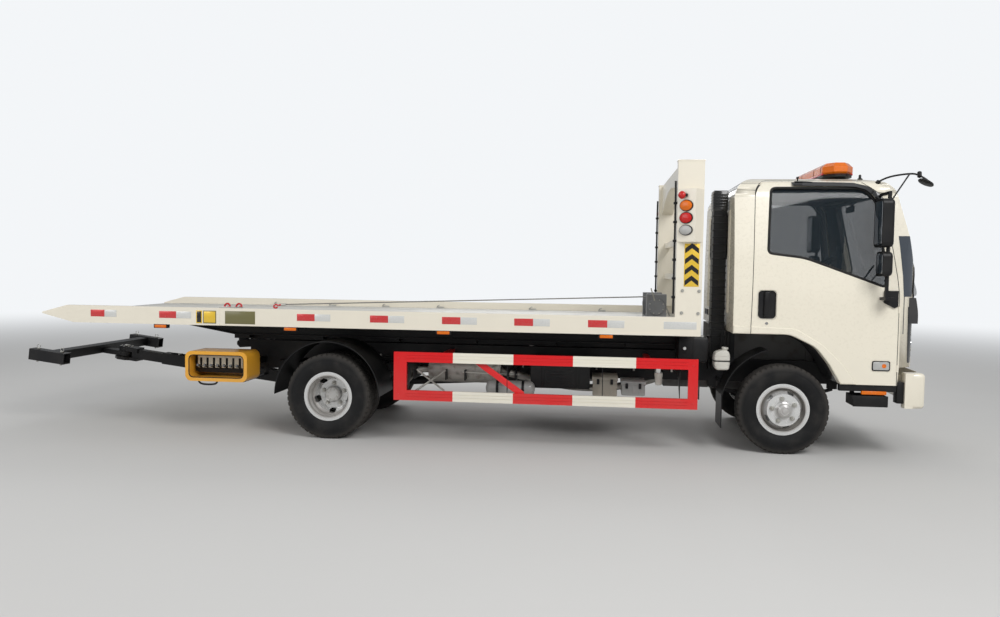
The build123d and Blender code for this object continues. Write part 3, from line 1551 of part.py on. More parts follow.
def front_block(rows, grow, x):
    """A block across the cab's front or back, with an outline in Y and Z."""
    outline = rounded_outline(rows)
    with BuildPart() as block:
        with BuildSketch(Plane.YZ.offset(x[0])):
            add(outline)
            if grow:
                offset(amount=grow, kind=Kind.INTERSECTION, mode=Mode.REPLACE)
        extrude(amount=x[1] - x[0])
    return block.part


screen_reach = (front_axle_x + 780, nose_x + 50)
rear_reach = (cab_rear_x - 50, cab_rear_x + 120)

grille_rows = ((-330, 905, 20), (330, 905, 20), (350, 1120, 20), (-350, 1120, 20))
lamp_rows = {
    end: (
        (end * 600, 860, 30),
        (end * 905, 905, 30),
        (end * 905, 1340, 30),
        (end * 740, 1340, 40),
        (end * 600, 1010, 60),
    )
    for end in (-1, 1)
}
nose_reach = (front_axle_x + 960, nose_x + 50)
inlay_depth = 30.0
grille_slot_count = 4
grille_slot_pitch = 44.0
grille_slot_height = 26.0
grille_slot_depth = 20.0
inlay_floor = cab_form(inlay_depth)

with BuildPart() as nose_pockets:
    add(front_block(grille_rows, 0, nose_reach))
    for end in (-1, 1):
        add(front_block(lamp_rows[end], 0, nose_reach))
    add(cab_form(inlay_depth + seat_gap), mode=Mode.SUBTRACT)

# Step below each door: an open tray hung from the cab's floor
step_x = (front_axle_x + 575.0, front_axle_x + 863.0)
step_z = (470.0, 560.0)
step_inner_y = 790.0
step_outer_y = 1005.0
step_sheet = 8.0
with BuildPart() as cab_shell:
    add(cab_hollow.part)
    add(nose_pockets.part, mode=Mode.SUBTRACT)
    for end in (-1, 1):
        arm_ys = sorted((end * (rail_outer_y + 20), end * (rail_outer_y + 38)))
        side_plate(
            (
                (tilt_pivot_x - 30, tilt_pivot_z - 34),
                (tilt_pivot_x + 30, tilt_pivot_z - 20),
                (tilt_pivot_x + 24, tilt_pivot_z + 30),
                (tilt_pivot_x - 100, tilt_pivot_z + 195),
                (tilt_pivot_x - 175, tilt_pivot_z + 195),
            ),
            arm_ys,
        )
        cross_rod(
            tilt_pivot_x,
            tilt_pivot_z,
            tilt_pin_radius + bearing_gap,
            sorted((end * rail_outer_y, end * (rail_outer_y + 60))),
            Mode.SUBTRACT,
        )
    for side in sides.values():
        add(arch_flares[side])
        add(outline_block(opening_rows, door_gap, side, opening_reach), mode=Mode.SUBTRACT)
        step_ys = sorted((side * step_inner_y, side * step_outer_y))
        bar(step_x, step_ys, step_z)
        tread_ys = sorted((side * (step_inner_y + step_sheet), side * (step_outer_y - step_sheet)))
        tread_x = (step_x[0] + step_sheet, step_x[1] - step_sheet)
        bar(tread_x, tread_ys, (step_z[0] + step_sheet, step_z[1] + 1), Mode.SUBTRACT)
        for strap_x in (step_x[0] + 30, step_x[1] - 70):
            strap_ys = sorted((side * step_inner_y, side * (step_inner_y + step_sheet)))
            bar((strap_x, strap_x + 40), strap_ys, (step_z[1] - 1, cab_sill + 10))
        for low, high in hinge_spans:
            with BuildSketch(Plane.XY.offset(low)):
                with Locations((hinge_line_x, side * cab_half_width)):
                    Circle(hinge_barrel_radius)
            extrude(amount=high - low)
    add(front_block(windscreen_rows, 0, screen_reach), mode=Mode.SUBTRACT)
    add(front_block(rear_window_rows, 0, rear_reach), mode=Mode.SUBTRACT)
finish(cab_shell, "cab_shell")

glass_outer = cab_form(glass_depth)
glass_inner = cab_form(glass_depth + glass_sheet)
door_skin_floor = cab_form(door_skin)

with BuildPart() as pane_blocks:
    add(front_block(windscreen_rows, -seat_gap, screen_reach))
    add(front_block(rear_window_rows, -seat_gap, rear_reach))

with BuildPart() as cab_glass:
    add(glass_outer)
    add(glass_inner, mode=Mode.SUBTRACT)
    add(pane_blocks.part, mode=Mode.INTERSECT)
finish(cab_glass, "cab_glass")

# Doors with their glass and their mirrors. Mirror heads by middle height, height, width, back and front.
mirror_y = 1140.0
mirror_foot_depth = 16.0
mirror_tube_x = (front_axle_x + 760, front_axle_x + 785)
mirror_heads = (
    (2060, 410, 220, front_axle_x + 690, front_axle_x + 790),
    (1715, 210, 180, front_axle_x + 710, front_axle_x + 795),
)
for name, side in sides.items():
    with BuildPart() as door_edge:
        add(outline_block(door_rows, 1, side, door_reach))
        add(outline_block(door_rows, -door_step, side, door_reach), mode=Mode.SUBTRACT)
        add(door_skin_floor, mode=Mode.INTERSECT)
        bar(
            (door_rear_x - 1, door_rear_x + door_step),
            sorted((side * door_reach[0], side * (cab_half_width - door_skin))),
            (cab_floor - 1, cab_floor + door_skin + 1),
        )

    with BuildPart() as door:
        add(cab_hollow.part)
        add(arch_flares[side])
        add(outline_block(door_rows, 0, side, door_reach), mode=Mode.INTERSECT)
        add(outline_block(window_rows, 0, side, door_reach), mode=Mode.SUBTRACT)
        pocket_reach = (cab_half_width - handle_depth, door_reach[1])
        add(outline_block(handle_rows, 0, side, pocket_reach), mode=Mode.SUBTRACT)
        add(outline_block(grip_rows, 0, side, (pocket_reach[0] - 1, cab_half_width + 3)))
        add(door_edge.part, mode=Mode.SUBTRACT)
        for low, high in hinge_spans:
            with BuildSketch(Plane.XY.offset(low - seat_gap)):
                with Locations((hinge_line_x, side * cab_half_width)):
                    Circle(hinge_barrel_radius + bearing_gap)
            extrude(amount=high - low + 2 * seat_gap, mode=Mode.SUBTRACT)
    finish(door, f"door_{name}")

    with BuildPart() as door_glass:
        add(glass_outer)
        add(glass_inner, mode=Mode.SUBTRACT)
        add(outline_block(window_rows, -seat_gap, side, door_reach), mode=Mode.INTERSECT)
    finish(door_glass, f"door_glass_{name}")

    with BuildPart() as mirrors:
        for centre_z, height, width, rear_x, front_x in mirror_heads:
            with BuildSketch(Plane.YZ.offset(rear_x)):
                with Locations((side * mirror_y, centre_z)):
                    RectangleRounded(width, height, 45)
            extrude(amount=front_x - rear_x)
            fillet(mirrors.faces().filter_by(GeomType.PLANE).sort_by(Axis.X)[-1].edges(), 30)
        skin_y = cab_half_width + seat_gap
        foot = (front_axle_x + 795, front_axle_x + 912)
        side_plate(
            ((foot[0], 1485), (foot[1], 1485), (foot[1], 1350), (foot[1] - 30, 1335), (foot[0], 1380)),
            sorted((side * skin_y, side * (skin_y + mirror_foot_depth))),
        )
        bar((mirror_tube_x[0], mirror_tube_x[1] + 60), sorted((side * skin_y, side * 1160)), (1405, 1430))
        bar(mirror_tube_x, sorted((side * 1135, side * 1160)), (1405, 2330))
        bar(mirror_tube_x, sorted((side * 925, side * 1160)), (2305, 2330))
    finish(mirrors, f"mirrors_{name}")

# Grille and headlamps let into the nose
with BuildPart() as grille:
    add(front_block(grille_rows, -seat_gap, nose_reach))
    add(cab_outer, mode=Mode.INTERSECT)
    add(inlay_floor, mode=Mode.SUBTRACT)
    for row in range(grille_slot_count):
        slot_low = grille_rows[0][1] + 28 + row * grille_slot_pitch
        slot_z = (slot_low, slot_low + grille_slot_height)
        bar((nose_x - grille_slot_depth, nose_x + 20), (-300, 300), slot_z, Mode.SUBTRACT)
finish(grille, "grille")

with BuildPart() as headlamps:
    for end in (-1, 1):
        add(front_block(lamp_rows[end], -seat_gap, nose_reach))
    add(cab_outer, mode=Mode.INTERSECT)
    add(inlay_floor, mode=Mode.SUBTRACT)
finish(headlamps, "headlamps")

# Inside the cab
with BuildPart() as seats:
    for low_y, high_y in ((-820, -260), (-200, 200), (260, 820)):
        bar((front_axle_x - 300, front_axle_x + 230), (low_y, high_y), (1300, 1440))
        bar((front_axle_x - 370, front_axle_x - 250), (low_y, high_y), (1300, 2020))
        bar((front_axle_x - 250, front_axle_x + 180), (low_y, high_y), (1220 + seat_gap, 1300))
finish(seats, "seats")

# Dashboard with the steering wheel on its column, on the truck's left
steering_rim_radius = 212.0
steering_rim_thickness = 14.0
steering_tilt_deg = 30.0
column_length = 360.0
column_radius = 34.0
steering_plane = Plane(
    origin=(front_axle_x + 620, 520, 1690),
    x_dir=(0, 1, 0),
    z_dir=(-math.sin(math.radians(steering_tilt_deg)), 0, math.cos(math.radians(steering_tilt_deg))),
)
with BuildPart() as dashboard:
    bar((front_axle_x + 790, front_axle_x + 1200), (-950, 950), (1200, 1425))
    add(cab_form(cab_wall + seat_gap), mode=Mode.INTERSECT)
    with BuildSketch(steering_plane):
        Circle(column_radius)
    extrude(amount=-column_length)
    with BuildSketch(steering_plane.offset(-10)):
        Circle(70)
        with PolarLocations(steering_rim_radius / 2, 3, start_angle=30):
            Rectangle(steering_rim_radius, 34)
    extrude(amount=14)
    with Locations(steering_plane):
        Torus(steering_rim_radius, steering_rim_thickness)
finish(dashboard, "dashboard")

# Light bar on the roof, its ends drawn to a point
beacon_middle_x = front_axle_x + 505.0
beacon_half_depth = 135.0
beacon_tip_half_depth = 60.0
beacon_half_length = 650.0
beacon_point = 110.0
beacon_height = 120.0
beacon_foot_height = 40.0
with BuildPart() as beacon:
    with BuildSketch(Plane.XY.offset(cab_roof + beacon_foot_height)):
        with BuildLine():
            Polyline(
                (beacon_middle_x - beacon_half_depth, beacon_point - beacon_half_length),
                (beacon_middle_x - beacon_tip_half_depth, -beacon_half_length),
                (beacon_middle_x + beacon_tip_half_depth, -beacon_half_length),
                (beacon_middle_x + beacon_half_depth, beacon_point - beacon_half_length),
                (beacon_middle_x + beacon_half_depth, beacon_half_length - beacon_point),
                (beacon_middle_x + beacon_tip_half_depth, beacon_half_length),
                (beacon_middle_x - beacon_tip_half_depth, beacon_half_length),
                (beacon_middle_x - beacon_half_depth, beacon_half_length - beacon_point),
                close=True,
            )
        make_face()
    extrude(amount=beacon_height)
    rims = beacon.faces().filter_by(Plane.XY).sort_by(Axis.Z)
    chamfer([*rims[0].edges(), *rims[-1].edges()], 36)
    for end in (-1, 1):
        bar(
            (beacon_middle_x - 60, beacon_middle_x + 60),
            (end * 420 - 30, end * 420 + 30),
            (cab_roof + seat_gap, cab_roof + beacon_foot_height + 2),
        )
finish(beacon, "beacon")
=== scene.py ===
import logging
import math
from dataclasses import dataclass
from enum import Enum
from typing import Any, Callable, Sequence

import bmesh
import bpy
from mathutils import Matrix, Vector


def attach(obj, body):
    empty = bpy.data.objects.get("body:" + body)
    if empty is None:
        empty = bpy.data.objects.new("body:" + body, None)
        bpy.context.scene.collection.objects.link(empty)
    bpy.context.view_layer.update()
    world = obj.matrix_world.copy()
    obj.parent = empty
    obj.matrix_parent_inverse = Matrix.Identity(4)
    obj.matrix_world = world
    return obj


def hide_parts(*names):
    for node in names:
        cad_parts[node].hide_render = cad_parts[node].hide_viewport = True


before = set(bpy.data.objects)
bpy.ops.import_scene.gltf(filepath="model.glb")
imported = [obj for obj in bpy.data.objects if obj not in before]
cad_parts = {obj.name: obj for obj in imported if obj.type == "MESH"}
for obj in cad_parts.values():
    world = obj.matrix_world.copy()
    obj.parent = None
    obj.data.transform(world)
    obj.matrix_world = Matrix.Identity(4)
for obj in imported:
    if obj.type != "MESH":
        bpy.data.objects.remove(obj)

LOG = logging.getLogger("tow_truck")

RGB = tuple[float, float, float]
Point = tuple[float, float, float]
Point2 = tuple[float, float]

# The truck's driving dimensions in metres, as in its frame
REAR_AXLE_X = -1.1425
FRONT_AXLE_X = 3.0325
TYRE_RADIUS = 0.4025
DECK_TOP = 1.150
BED_SIDE_Y = 1.150
BED_FRONT_X = FRONT_AXLE_X - 0.765


class Axis(Enum):
    """The row's axes, for spins and rods."""

    X = (1.0, 0.0, 0.0)
    Y = (0.0, 1.0, 0.0)
    Z = (0.0, 0.0, 1.0)


class Side(Enum):
    """The truck's two sides, with the sign of Y on each."""

    LEFT = 1
    RIGHT = -1

    @property
    def word(self) -> str:
        """The side's name in lower case, as node names use it."""
        return self.name.lower()


# Shader maths


class Val:
    """A number in a shader, a socket or a constant, with Python's operators."""

    def __init__(self, tree: "Tree", socket: Any) -> None:
        """Wraps a socket or a plain number.

        Args:
            tree: the material's node tree.
            socket: an output socket, or a float.
        """
        self.tree = tree
        self.socket = socket

    def _math(self, operation: str, *others: Any) -> "Val":
        """Adds one Math node that works on this value and others."""
        node = self.tree.node("ShaderNodeMath", {"operation": operation})
        for slot, item in zip(node.inputs, (self, *others)):
            self.tree.feed(slot, item)
        return Val(self.tree, node.outputs[0])

    def __add__(self, other: Any) -> "Val":
        """This value plus another."""
        return self._math("ADD", other)

    def __radd__(self, other: Any) -> "Val":
        """Another value plus this one."""
        return self._math("ADD", other)

    def __sub__(self, other: Any) -> "Val":
        """This value minus another."""
        return self._math("SUBTRACT", other)

    def __rsub__(self, other: Any) -> "Val":
        """Another value minus this one."""
        return Val(self.tree, other)._math("SUBTRACT", self)

    def __mul__(self, other: Any) -> "Val":
        """This value times another."""
        return self._math("MULTIPLY", other)

    def __rmul__(self, other: Any) -> "Val":
        """Another value times this one."""
        return self._math("MULTIPLY", other)

    def __truediv__(self, other: Any) -> "Val":
        """This value over another."""
        return self._math("DIVIDE", other)

    def __rtruediv__(self, other: Any) -> "Val":
        """Another value over this one."""
        return Val(self.tree, other)._math("DIVIDE", self)

    def __pow__(self, other: Any) -> "Val":
        """This value raised to a power."""
        return self._math("POWER", other)

    def __gt__(self, other: Any) -> "Val":
        """1 where this value is greater, else 0."""
        return self._math("GREATER_THAN", other)

    def __lt__(self, other: Any) -> "Val":
        """1 where this value is less, else 0."""
        return self._math("LESS_THAN", other)

    def __mod__(self, other: Any) -> "Val":
        """The remainder of this value, never negative."""
        return self._math("FLOORED_MODULO", other)

    def __abs__(self) -> "Val":
        """This value without its sign."""
        return self._math("ABSOLUTE")

    def sine(self) -> "Val":
        """The sine of this value in radians."""
        return self._math("SINE")

    def root(self) -> "Val":
        """The square root of this value."""
        return self._math("SQRT")

    def upto(self, other: Any) -> "Val":
        """The lesser of this value and another."""
        return self._math("MINIMUM", other)

    def atleast(self, other: Any) -> "Val":
        """The greater of this value and another."""
        return self._math("MAXIMUM", other)

    def smooth(self, low: float, high: float) -> "Val":
        """A smooth step from 0 at low to 1 at high, or the other way when low is greater."""
        node = self.tree.node(
            "ShaderNodeMapRange",
            {"interpolation_type": "SMOOTHSTEP"},
            {"Value": self, "From Min": low, "From Max": high, "To Min": 0.0, "To Max": 1.0},
        )
        return Val(self.tree, node.outputs[0])

    def band(self, low: float, high: float, soft: float = 0.001) -> "Val":
        """1 between low and high, falling to 0 over soft at each end."""
        return self.smooth(low - soft, low + soft) * self.smooth(high + soft, high - soft)


class Tree:
    """One material's node tree, built with short calls."""

    def __init__(self, name: str) -> None:
        """Starts an empty material.

        Args:
            name: the material's name.
        """
        self.material = bpy.data.materials.new(name)
        self.material.use_nodes = True
        self.links = self.material.node_tree.links
        self.nodes = self.material.node_tree.nodes
        self.nodes.clear()
        self._place: Any = None

    def feed(self, slot: bpy.types.NodeSocket, item: Any) -> None:
        """Links or sets one socket from a Val, a socket or a constant."""
        if isinstance(item, Val):
            item = item.socket
        if isinstance(item, bpy.types.NodeSocket):
            self.links.new(item, slot)
        elif item is not None:
            slot.default_value = item

    def node(
        self,
        kind: str,
        settings: dict[str, Any] | None = None,
        values: dict[Any, Any] | None = None,
    ) -> bpy.types.Node:
        """Adds a node.

        Args:
            kind: the node's type, such as ShaderNodeTexNoise.
            settings: the node's own settings, set first.
            values: its sockets by name or number, as constants or links.

        Returns:
            The new node.
        """
        made = self.nodes.new(kind)
        for key, value in (settings or {}).items():
            setattr(made, key, value)
        for key, value in (values or {}).items():
            self.feed(made.inputs[key], value)
        return made

    def place(self) -> bpy.types.NodeSocket:
        """The surface's place in the truck's frame, in metres."""
        if self._place is None:
            self._place = self.node("ShaderNodeTexCoord").outputs["Object"]
        return self._place

    def xyz(self) -> tuple[Val, Val, Val]:
        """The place as three numbers."""
        split = self.node("ShaderNodeSeparateXYZ", values={0: self.place()})
        return tuple(Val(self, out) for out in split.outputs)

    def facing(self) -> tuple[Val, Val, Val]:
        """The surface's normal as three numbers."""
        geometry = self.node("ShaderNodeNewGeometry")
        split = self.node("ShaderNodeSeparateXYZ", values={0: geometry.outputs["Normal"]})
        return tuple(Val(self, out) for out in split.outputs)

    def noise(
        self,
        scale: float,
        detail: float = 3.0,
        stretch: Point = (1.0, 1.0, 1.0),
        rough: float = 0.55,
    ) -> Val:
        """A noise pattern, about 0.5 on average.

        Args:
            scale: how many blotches to a metre.
            detail: how many finer layers.
            stretch: the pattern's scale along each axis.
            rough: how strong the finer layers are.
        """
        mapped = self.node(
            "ShaderNodeMapping", values={"Vector": self.place(), "Scale": stretch}
        )
        made = self.node(
            "ShaderNodeTexNoise",
            values={
                "Vector": mapped.outputs[0], "Scale": scale, "Detail": detail, "Roughness": rough
            },
        )
        return Val(self, made.outputs[0])

    def cells(self, scale: float, stretch: Point = (1.0, 1.0, 1.0)) -> Val:
        """The distance to the nearest of many scattered points."""
        mapped = self.node(
            "ShaderNodeMapping", values={"Vector": self.place(), "Scale": stretch}
        )
        made = self.node(
            "ShaderNodeTexVoronoi", values={"Vector": mapped.outputs[0], "Scale": scale}
        )
        return Val(self, made.outputs["Distance"])

    def mix(self, factor: Any, first: Any, second: Any) -> bpy.types.NodeSocket:
        """A colour between two, by a factor from 0 to 1."""
        made = self.node("ShaderNodeMix", {"data_type": "RGBA"})
        self.feed(made.inputs[0], factor)
        for slot, item in ((made.inputs[6], first), (made.inputs[7], second)):
            self.feed(slot, (*item, 1.0) if isinstance(item, tuple) else item)
        return made.outputs[2]

    def bump(self, height: Val, depth: float, strength: float = 1.0) -> bpy.types.NodeSocket:
        """A normal that follows a height pattern.

        Args:
            height: the pattern, 0 to 1.
            depth: its real depth in metres.
            strength: how strongly it shows.
        """
        made = self.node(
            "ShaderNodeBump", values={"Height": height, "Distance": depth, "Strength": strength}
        )
        return made.outputs[0]

    def finish(self, base: Any, rough: Any, normal: Any = None, **fixed: Any) -> bpy.types.Material:
        """Ends the tree in one Principled shader.

        Args:
            base: the base colour.
            rough: the roughness.
            normal: a Bump node's output, if there is one.
            **fixed: other sockets by name, with underscores for spaces.

        Returns:
            The finished material.
        """
        shader = self.node("ShaderNodeBsdfPrincipled")
        base_value = (*base, 1.0) if isinstance(base, tuple) else base
        self.feed(shader.inputs["Base Color"], base_value)
        self.feed(shader.inputs["Roughness"], rough)
        if normal is not None:
            self.feed(shader.inputs["Normal"], normal)
        for key, value in fixed.items():
            self.feed(shader.inputs[key.replace("_", " ")], value)
        out = self.node("ShaderNodeOutputMaterial", values={0: shader.outputs[0]})
        out.is_active_output = True
        return self.material


# Finishes


@dataclass(frozen=True)
class Paint:
    """Sprayed paint: a faint orange peel, road dust low down and dust on what faces up."""

    name: str
    colour: RGB
    rough: float = 0.28
    dust: float = 0.35
    dust_colour: RGB = (0.33, 0.29, 0.24)
    peel: float = 0.0004
    coat: float = 0.5

    def coats(self, tree: Tree) -> tuple[Any, Val, Any]:
        """The paint's colour, roughness and relief."""
        z = tree.xyz()[2]
        up = tree.facing()[2]
        clouds = tree.noise(2.2, 4.0)
        speck = tree.noise(38.0, 5.0, rough=0.7)
        streak = tree.noise(9.0, 3.0, (1.0, 1.0, 0.12))
        shade = tree.mix(
            clouds * 0.35 + streak * 0.2, self.colour, tuple(c * 0.86 for c in self.colour)
        )
        low = z.smooth(1.15, 0.25) * (clouds * 0.7 + speck * 0.6)
        top = up.smooth(0.6, 0.98) * clouds.smooth(0.35, 0.7)
        grime = ((low + top * 0.5) * self.dust).upto(1.0)
        base = tree.mix(grime, shade, self.dust_colour)
        rough = self.rough + grime * 0.5 + (speck - 0.5) * 0.12
        return base, rough, tree.bump(tree.noise(240.0, 2.0), self.peel, 0.35)

    def build(self) -> bpy.types.Material:
        """The paint as a material."""
        tree = Tree(self.name)
        return tree.finish(*self.coats(tree), Coat_Weight=self.coat, Coat_Roughness=0.12)


@dataclass(frozen=True)
class CabPaint(Paint):
    """The cab's paint, with black below the sill and in the arches and grey lining inside."""

    sill: float = 0.6585
    black: RGB = (0.018, 0.018, 0.019)
    lining: RGB = (0.085, 0.085, 0.088)

    def build(self) -> bpy.types.Material:
        """The paint as a material."""
        tree = Tree(self.name)
        base, rough, normal = self.coats(tree)
        x, y, z = tree.xyz()
        out = abs(y)
        arch = (z < 1.0865) * (out < 0.925) * (x < FRONT_AXLE_X + 0.925)
        dark = ((z < self.sill) + arch).upto(1.0)
        lean = (z - 1.45).atleast(0.0) * 0.0857 + (z - 1.80).atleast(0.0) * 0.0688
        wall = 0.9925 - lean - (z - 2.35).atleast(0.0) * 0.6
        room = (out < wall) * (x > 2.585) * (x < FRONT_AXLE_X + 0.98) * (z > 1.11) * (z < 2.452)
        base = tree.mix(room, tree.mix(dark, base, self.black), self.lining)
        rough = rough + (dark + room).upto(1.0) * 0.35
        return tree.finish(base, rough, normal, Coat_Weight=self.coat, Coat_Roughness=0.12)


@dataclass(frozen=True)
class FramePaint:
    """Black chassis paint: satin, dusty on its upper faces, rubbed and rusty in spots."""

    name: str
    colour: RGB = (0.009, 0.009, 0.010)
    rough: float = 0.42
    dust: float = 0.3
    rust: float = 0.25

    def build(self) -> bpy.types.Material:
        """The chassis paint as a material."""
        tree = Tree(self.name)
        up = tree.facing()[2]
        clouds = tree.noise(5.0, 5.0)
        speck = tree.noise(70.0, 4.0, rough=0.7)
        dust = (up.smooth(0.2, 0.95) * 0.7 + 0.18) * clouds.smooth(0.38, 0.72) * self.dust
        worn = speck.smooth(0.66, 0.74) * clouds.smooth(0.45, 0.6) * self.rust
        base = tree.mix(dust, self.colour, (0.16, 0.14, 0.12))
        base = tree.mix(worn, base, (0.16, 0.07, 0.035))
        rough = self.rough + dust * 0.45 + worn * 0.3
        normal = tree.bump(speck, 0.0006, 0.4)
        return tree.finish(base, rough, normal, Specular_IOR_Level=0.28)


@dataclass(frozen=True)
class DeckSteel:
    """Painted deck plate with raised lozenges laid two ways, scuffed along the tyre tracks."""

    name: str
    colour: RGB = (0.60, 0.585, 0.53)
    pitch: float = 0.05

    def build(self) -> bpy.types.Material:
        """The deck plate as a material."""
        tree = Tree(self.name)
        x, y, _ = tree.xyz()
        across = (x + y) / self.pitch
        along = (x - y) / self.pitch
        cell = ((across - across % 1.0) + (along - along % 1.0)) % 2.0
        u = abs(across % 1.0 - 0.5)
        v = abs(along % 1.0 - 0.5)
        first = u.smooth(0.42, 0.36) * v.smooth(0.16, 0.10)
        second = v.smooth(0.42, 0.36) * u.smooth(0.16, 0.10)
        lozenge = first * cell + second * (1.0 - cell)
        clouds = tree.noise(3.0, 5.0)
        scuff = tree.noise(14.0, 5.0, (0.25, 1.0, 1.0), 0.7)
        track = abs(abs(y) - 0.82).smooth(0.32, 0.10)
        worn = (track * scuff.smooth(0.42, 0.6) * 0.7 + clouds.smooth(0.55, 0.75) * 0.3) * 0.8
        base = tree.mix(worn, self.colour, (0.25, 0.235, 0.21))
        base = tree.mix(lozenge * track * 0.35, base, (0.42, 0.41, 0.40))
        up = tree.facing()[2].smooth(0.7, 0.95)
        normal = tree.bump(lozenge * up, 0.003, 0.9)
        return tree.finish(base, 0.42 + worn * 0.3, normal, Metallic=0.0)


@dataclass(frozen=True)
class Rubber:
    """Tyre rubber: fine moulded rings on the wall, grey dust towards the tread."""

    name: str
    axle_x: float
    colour: RGB = (0.010, 0.010, 0.0105)

    def build(self) -> bpy.types.Material:
        """The rubber as a material."""
        tree = Tree(self.name)
        x, _, z = tree.xyz()
        dx = x - self.axle_x
        dz = z - TYRE_RADIUS
        radius = (dx * dx + dz * dz).root()
        rings = (radius * 900.0).sine() * 0.5 + 0.5
        wall = radius.band(0.262, 0.372, 0.006)
        clouds = tree.noise(7.0, 5.0)
        speck = tree.noise(120.0, 3.0)
        dust = radius.smooth(0.34, 0.402) * 0.30 + clouds.smooth(0.4, 0.75) * 0.12
        base = tree.mix(dust.upto(1.0), self.colour, (0.125, 0.112, 0.098))
        height = rings * wall * 0.35 + speck * 0.3
        normal = tree.bump(height, 0.0012, 0.6)
        return tree.finish(base, 0.62 + dust * 0.3, normal, Specular_IOR_Level=0.2)


@dataclass(frozen=True)
class WheelPaint:
    """Silver wheel paint with brake dust in the hollows and rust near the hub."""

    name: str
    axle_x: float
    colour: RGB = (0.74, 0.74, 0.73)

    def build(self) -> bpy.types.Material:
        """The wheel paint as a material."""
        tree = Tree(self.name)
        x, _, z = tree.xyz()
        dx = x - self.axle_x
        dz = z - TYRE_RADIUS
        radius = (dx * dx + dz * dz).root()
        clouds = tree.noise(16.0, 5.0)
        speck = tree.noise(90.0, 4.0, rough=0.7)
        flange = radius.smooth(0.236, 0.224)
        hollow = radius.band(0.165, 0.205, 0.012) * 0.55 + radius.smooth(0.10, 0.06) * 0.35
        dirt = (hollow * (0.5 + clouds) + speck.smooth(0.6, 0.72) * 0.25) * flange
        base = tree.mix(dirt.upto(1.0), self.colour, (0.20, 0.165, 0.13))
        rust = speck.smooth(0.62, 0.7) * radius.smooth(0.13, 0.09) * 0.5
        base = tree.mix(rust, base, (0.20, 0.085, 0.04))
        normal = tree.bump(clouds, 0.0006, 0.25)
        return tree.finish(base, 0.26 + dirt * 0.4, normal, Metallic=0.55, Coat_Weight=0.2)


@dataclass(frozen=True)
class Metal:
    """Bare or plated metal with a brushed or cast grain."""

    name: str
    colour: RGB
    rough: float
    grain: float = 180.0
    depth: float = 0.0003
    stain: float = 0.3
    stretch: Point = (1.0, 1.0, 1.0)
    metallic: float = 1.0
    stain_colour: RGB = (0.14, 0.12, 0.10)

    def build(self) -> bpy.types.Material:
        """The metal as a material."""
        tree = Tree(self.name)
        grain = tree.noise(self.grain, 3.0, self.stretch)
        clouds = tree.noise(11.0, 5.0)
        stain = clouds.smooth(0.48, 0.75) * self.stain
        base = tree.mix(stain, self.colour, self.stain_colour)
        rough = self.rough + (grain - 0.5) * 0.15 + stain * 0.4
        normal = tree.bump(grain, self.depth, 0.5)
        return tree.finish(base, rough, normal, Metallic=1.0 * self.metallic)


@dataclass(frozen=True)
class Plastic:
    """Moulded plastic with a fine leather-like grain, greyed by dust and sun."""

    name: str
    colour: RGB
    rough: float = 0.5
    grain: float = 0.0005
    dust: float = 0.2
    coat: float = 0.0

    def build(self) -> bpy.types.Material:
        """The plastic as a material."""
        tree = Tree(self.name)
        cell = tree.cells(420.0)
        clouds = tree.noise(6.0, 4.0)
        up = tree.facing()[2]
        dust = (up.smooth(0.3, 0.95) * 0.6 + 0.25) * clouds.smooth(0.35, 0.75) * self.dust
        base = tree.mix(dust, self.colour, (0.24, 0.22, 0.19))
        normal = tree.bump(cell, self.grain, 0.4)
        return tree.finish(
            base, self.rough + dust * 0.4, normal, Coat_Weight=self.coat, Specular_IOR_Level=0.3
        )


@dataclass(frozen=True)
class Lens:
    """Coloured lamp lens with moulded prisms behind a smooth face."""

    name: str
    colour: RGB
    pitch: float = 0.008
    glow: float = 0.0

    def build(self) -> bpy.types.Material:
        """The lens as a material."""
        tree = Tree(self.name)
        x, y, z = tree.xyz()
        ribs = ((x + y) * (2 * math.pi / self.pitch)).sine() * (
            z * (2 * math.pi / self.pitch)
        ).sine()
        clouds = tree.noise(25.0, 3.0)
        base = tree.mix(
            ribs * 0.25 + clouds * 0.3, self.colour, tuple(c * 0.45 for c in self.colour)
        )
        normal = tree.bump(ribs * 0.5 + 0.5, 0.0012, 0.5)
        return tree.finish(
            base,
            0.14 + clouds * 0.06,
            normal,
            Coat_Weight=0.4,
            Coat_Roughness=0.03,
            Specular_IOR_Level=0.3,
            Emission_Color=(*self.colour, 1.0),
            Emission_Strength=self.glow,
        )


@dataclass(frozen=True)
class Glass:
    """Thin tinted window glass, a little dusty."""

    name: str
    tint: RGB = (0.010, 0.018, 0.024)
    alpha: float = 0.42

    def build(self) -> bpy.types.Material:
        """The glass as a material."""
        tree = Tree(self.name)
        clouds = tree.noise(3.0, 4.0)
        base = tree.mix(clouds * 0.4, self.tint, tuple(c * 1.5 for c in self.tint))
        rough = 0.02 + clouds.smooth(0.5, 0.9) * 0.05
        return tree.finish(base, rough, None, Alpha=self.alpha, Specular_IOR_Level=0.5)


@dataclass(frozen=True)
class Tape:
    """Reflective tape: small honeycomb cells under a clear film."""

    name: str
    colour: RGB
    cell: float = 210.0

    def build(self) -> bpy.types.Material:
        """The tape as a material."""
        tree = Tree(self.name)
        honey = tree.cells(self.cell)
        scuff = tree.noise(30.0, 5.0, rough=0.7)
        edge = honey.smooth(0.42, 0.55) * 0.35 + scuff.smooth(0.58, 0.72) * 0.3
        base = tree.mix(edge, self.colour, tuple(c * 0.6 + 0.12 for c in self.colour))
        normal = tree.bump(honey, 0.0004, 0.5)
        return tree.finish(base, 0.25 + scuff * 0.15, normal, Metallic=0.2, Coat_Weight=0.7)


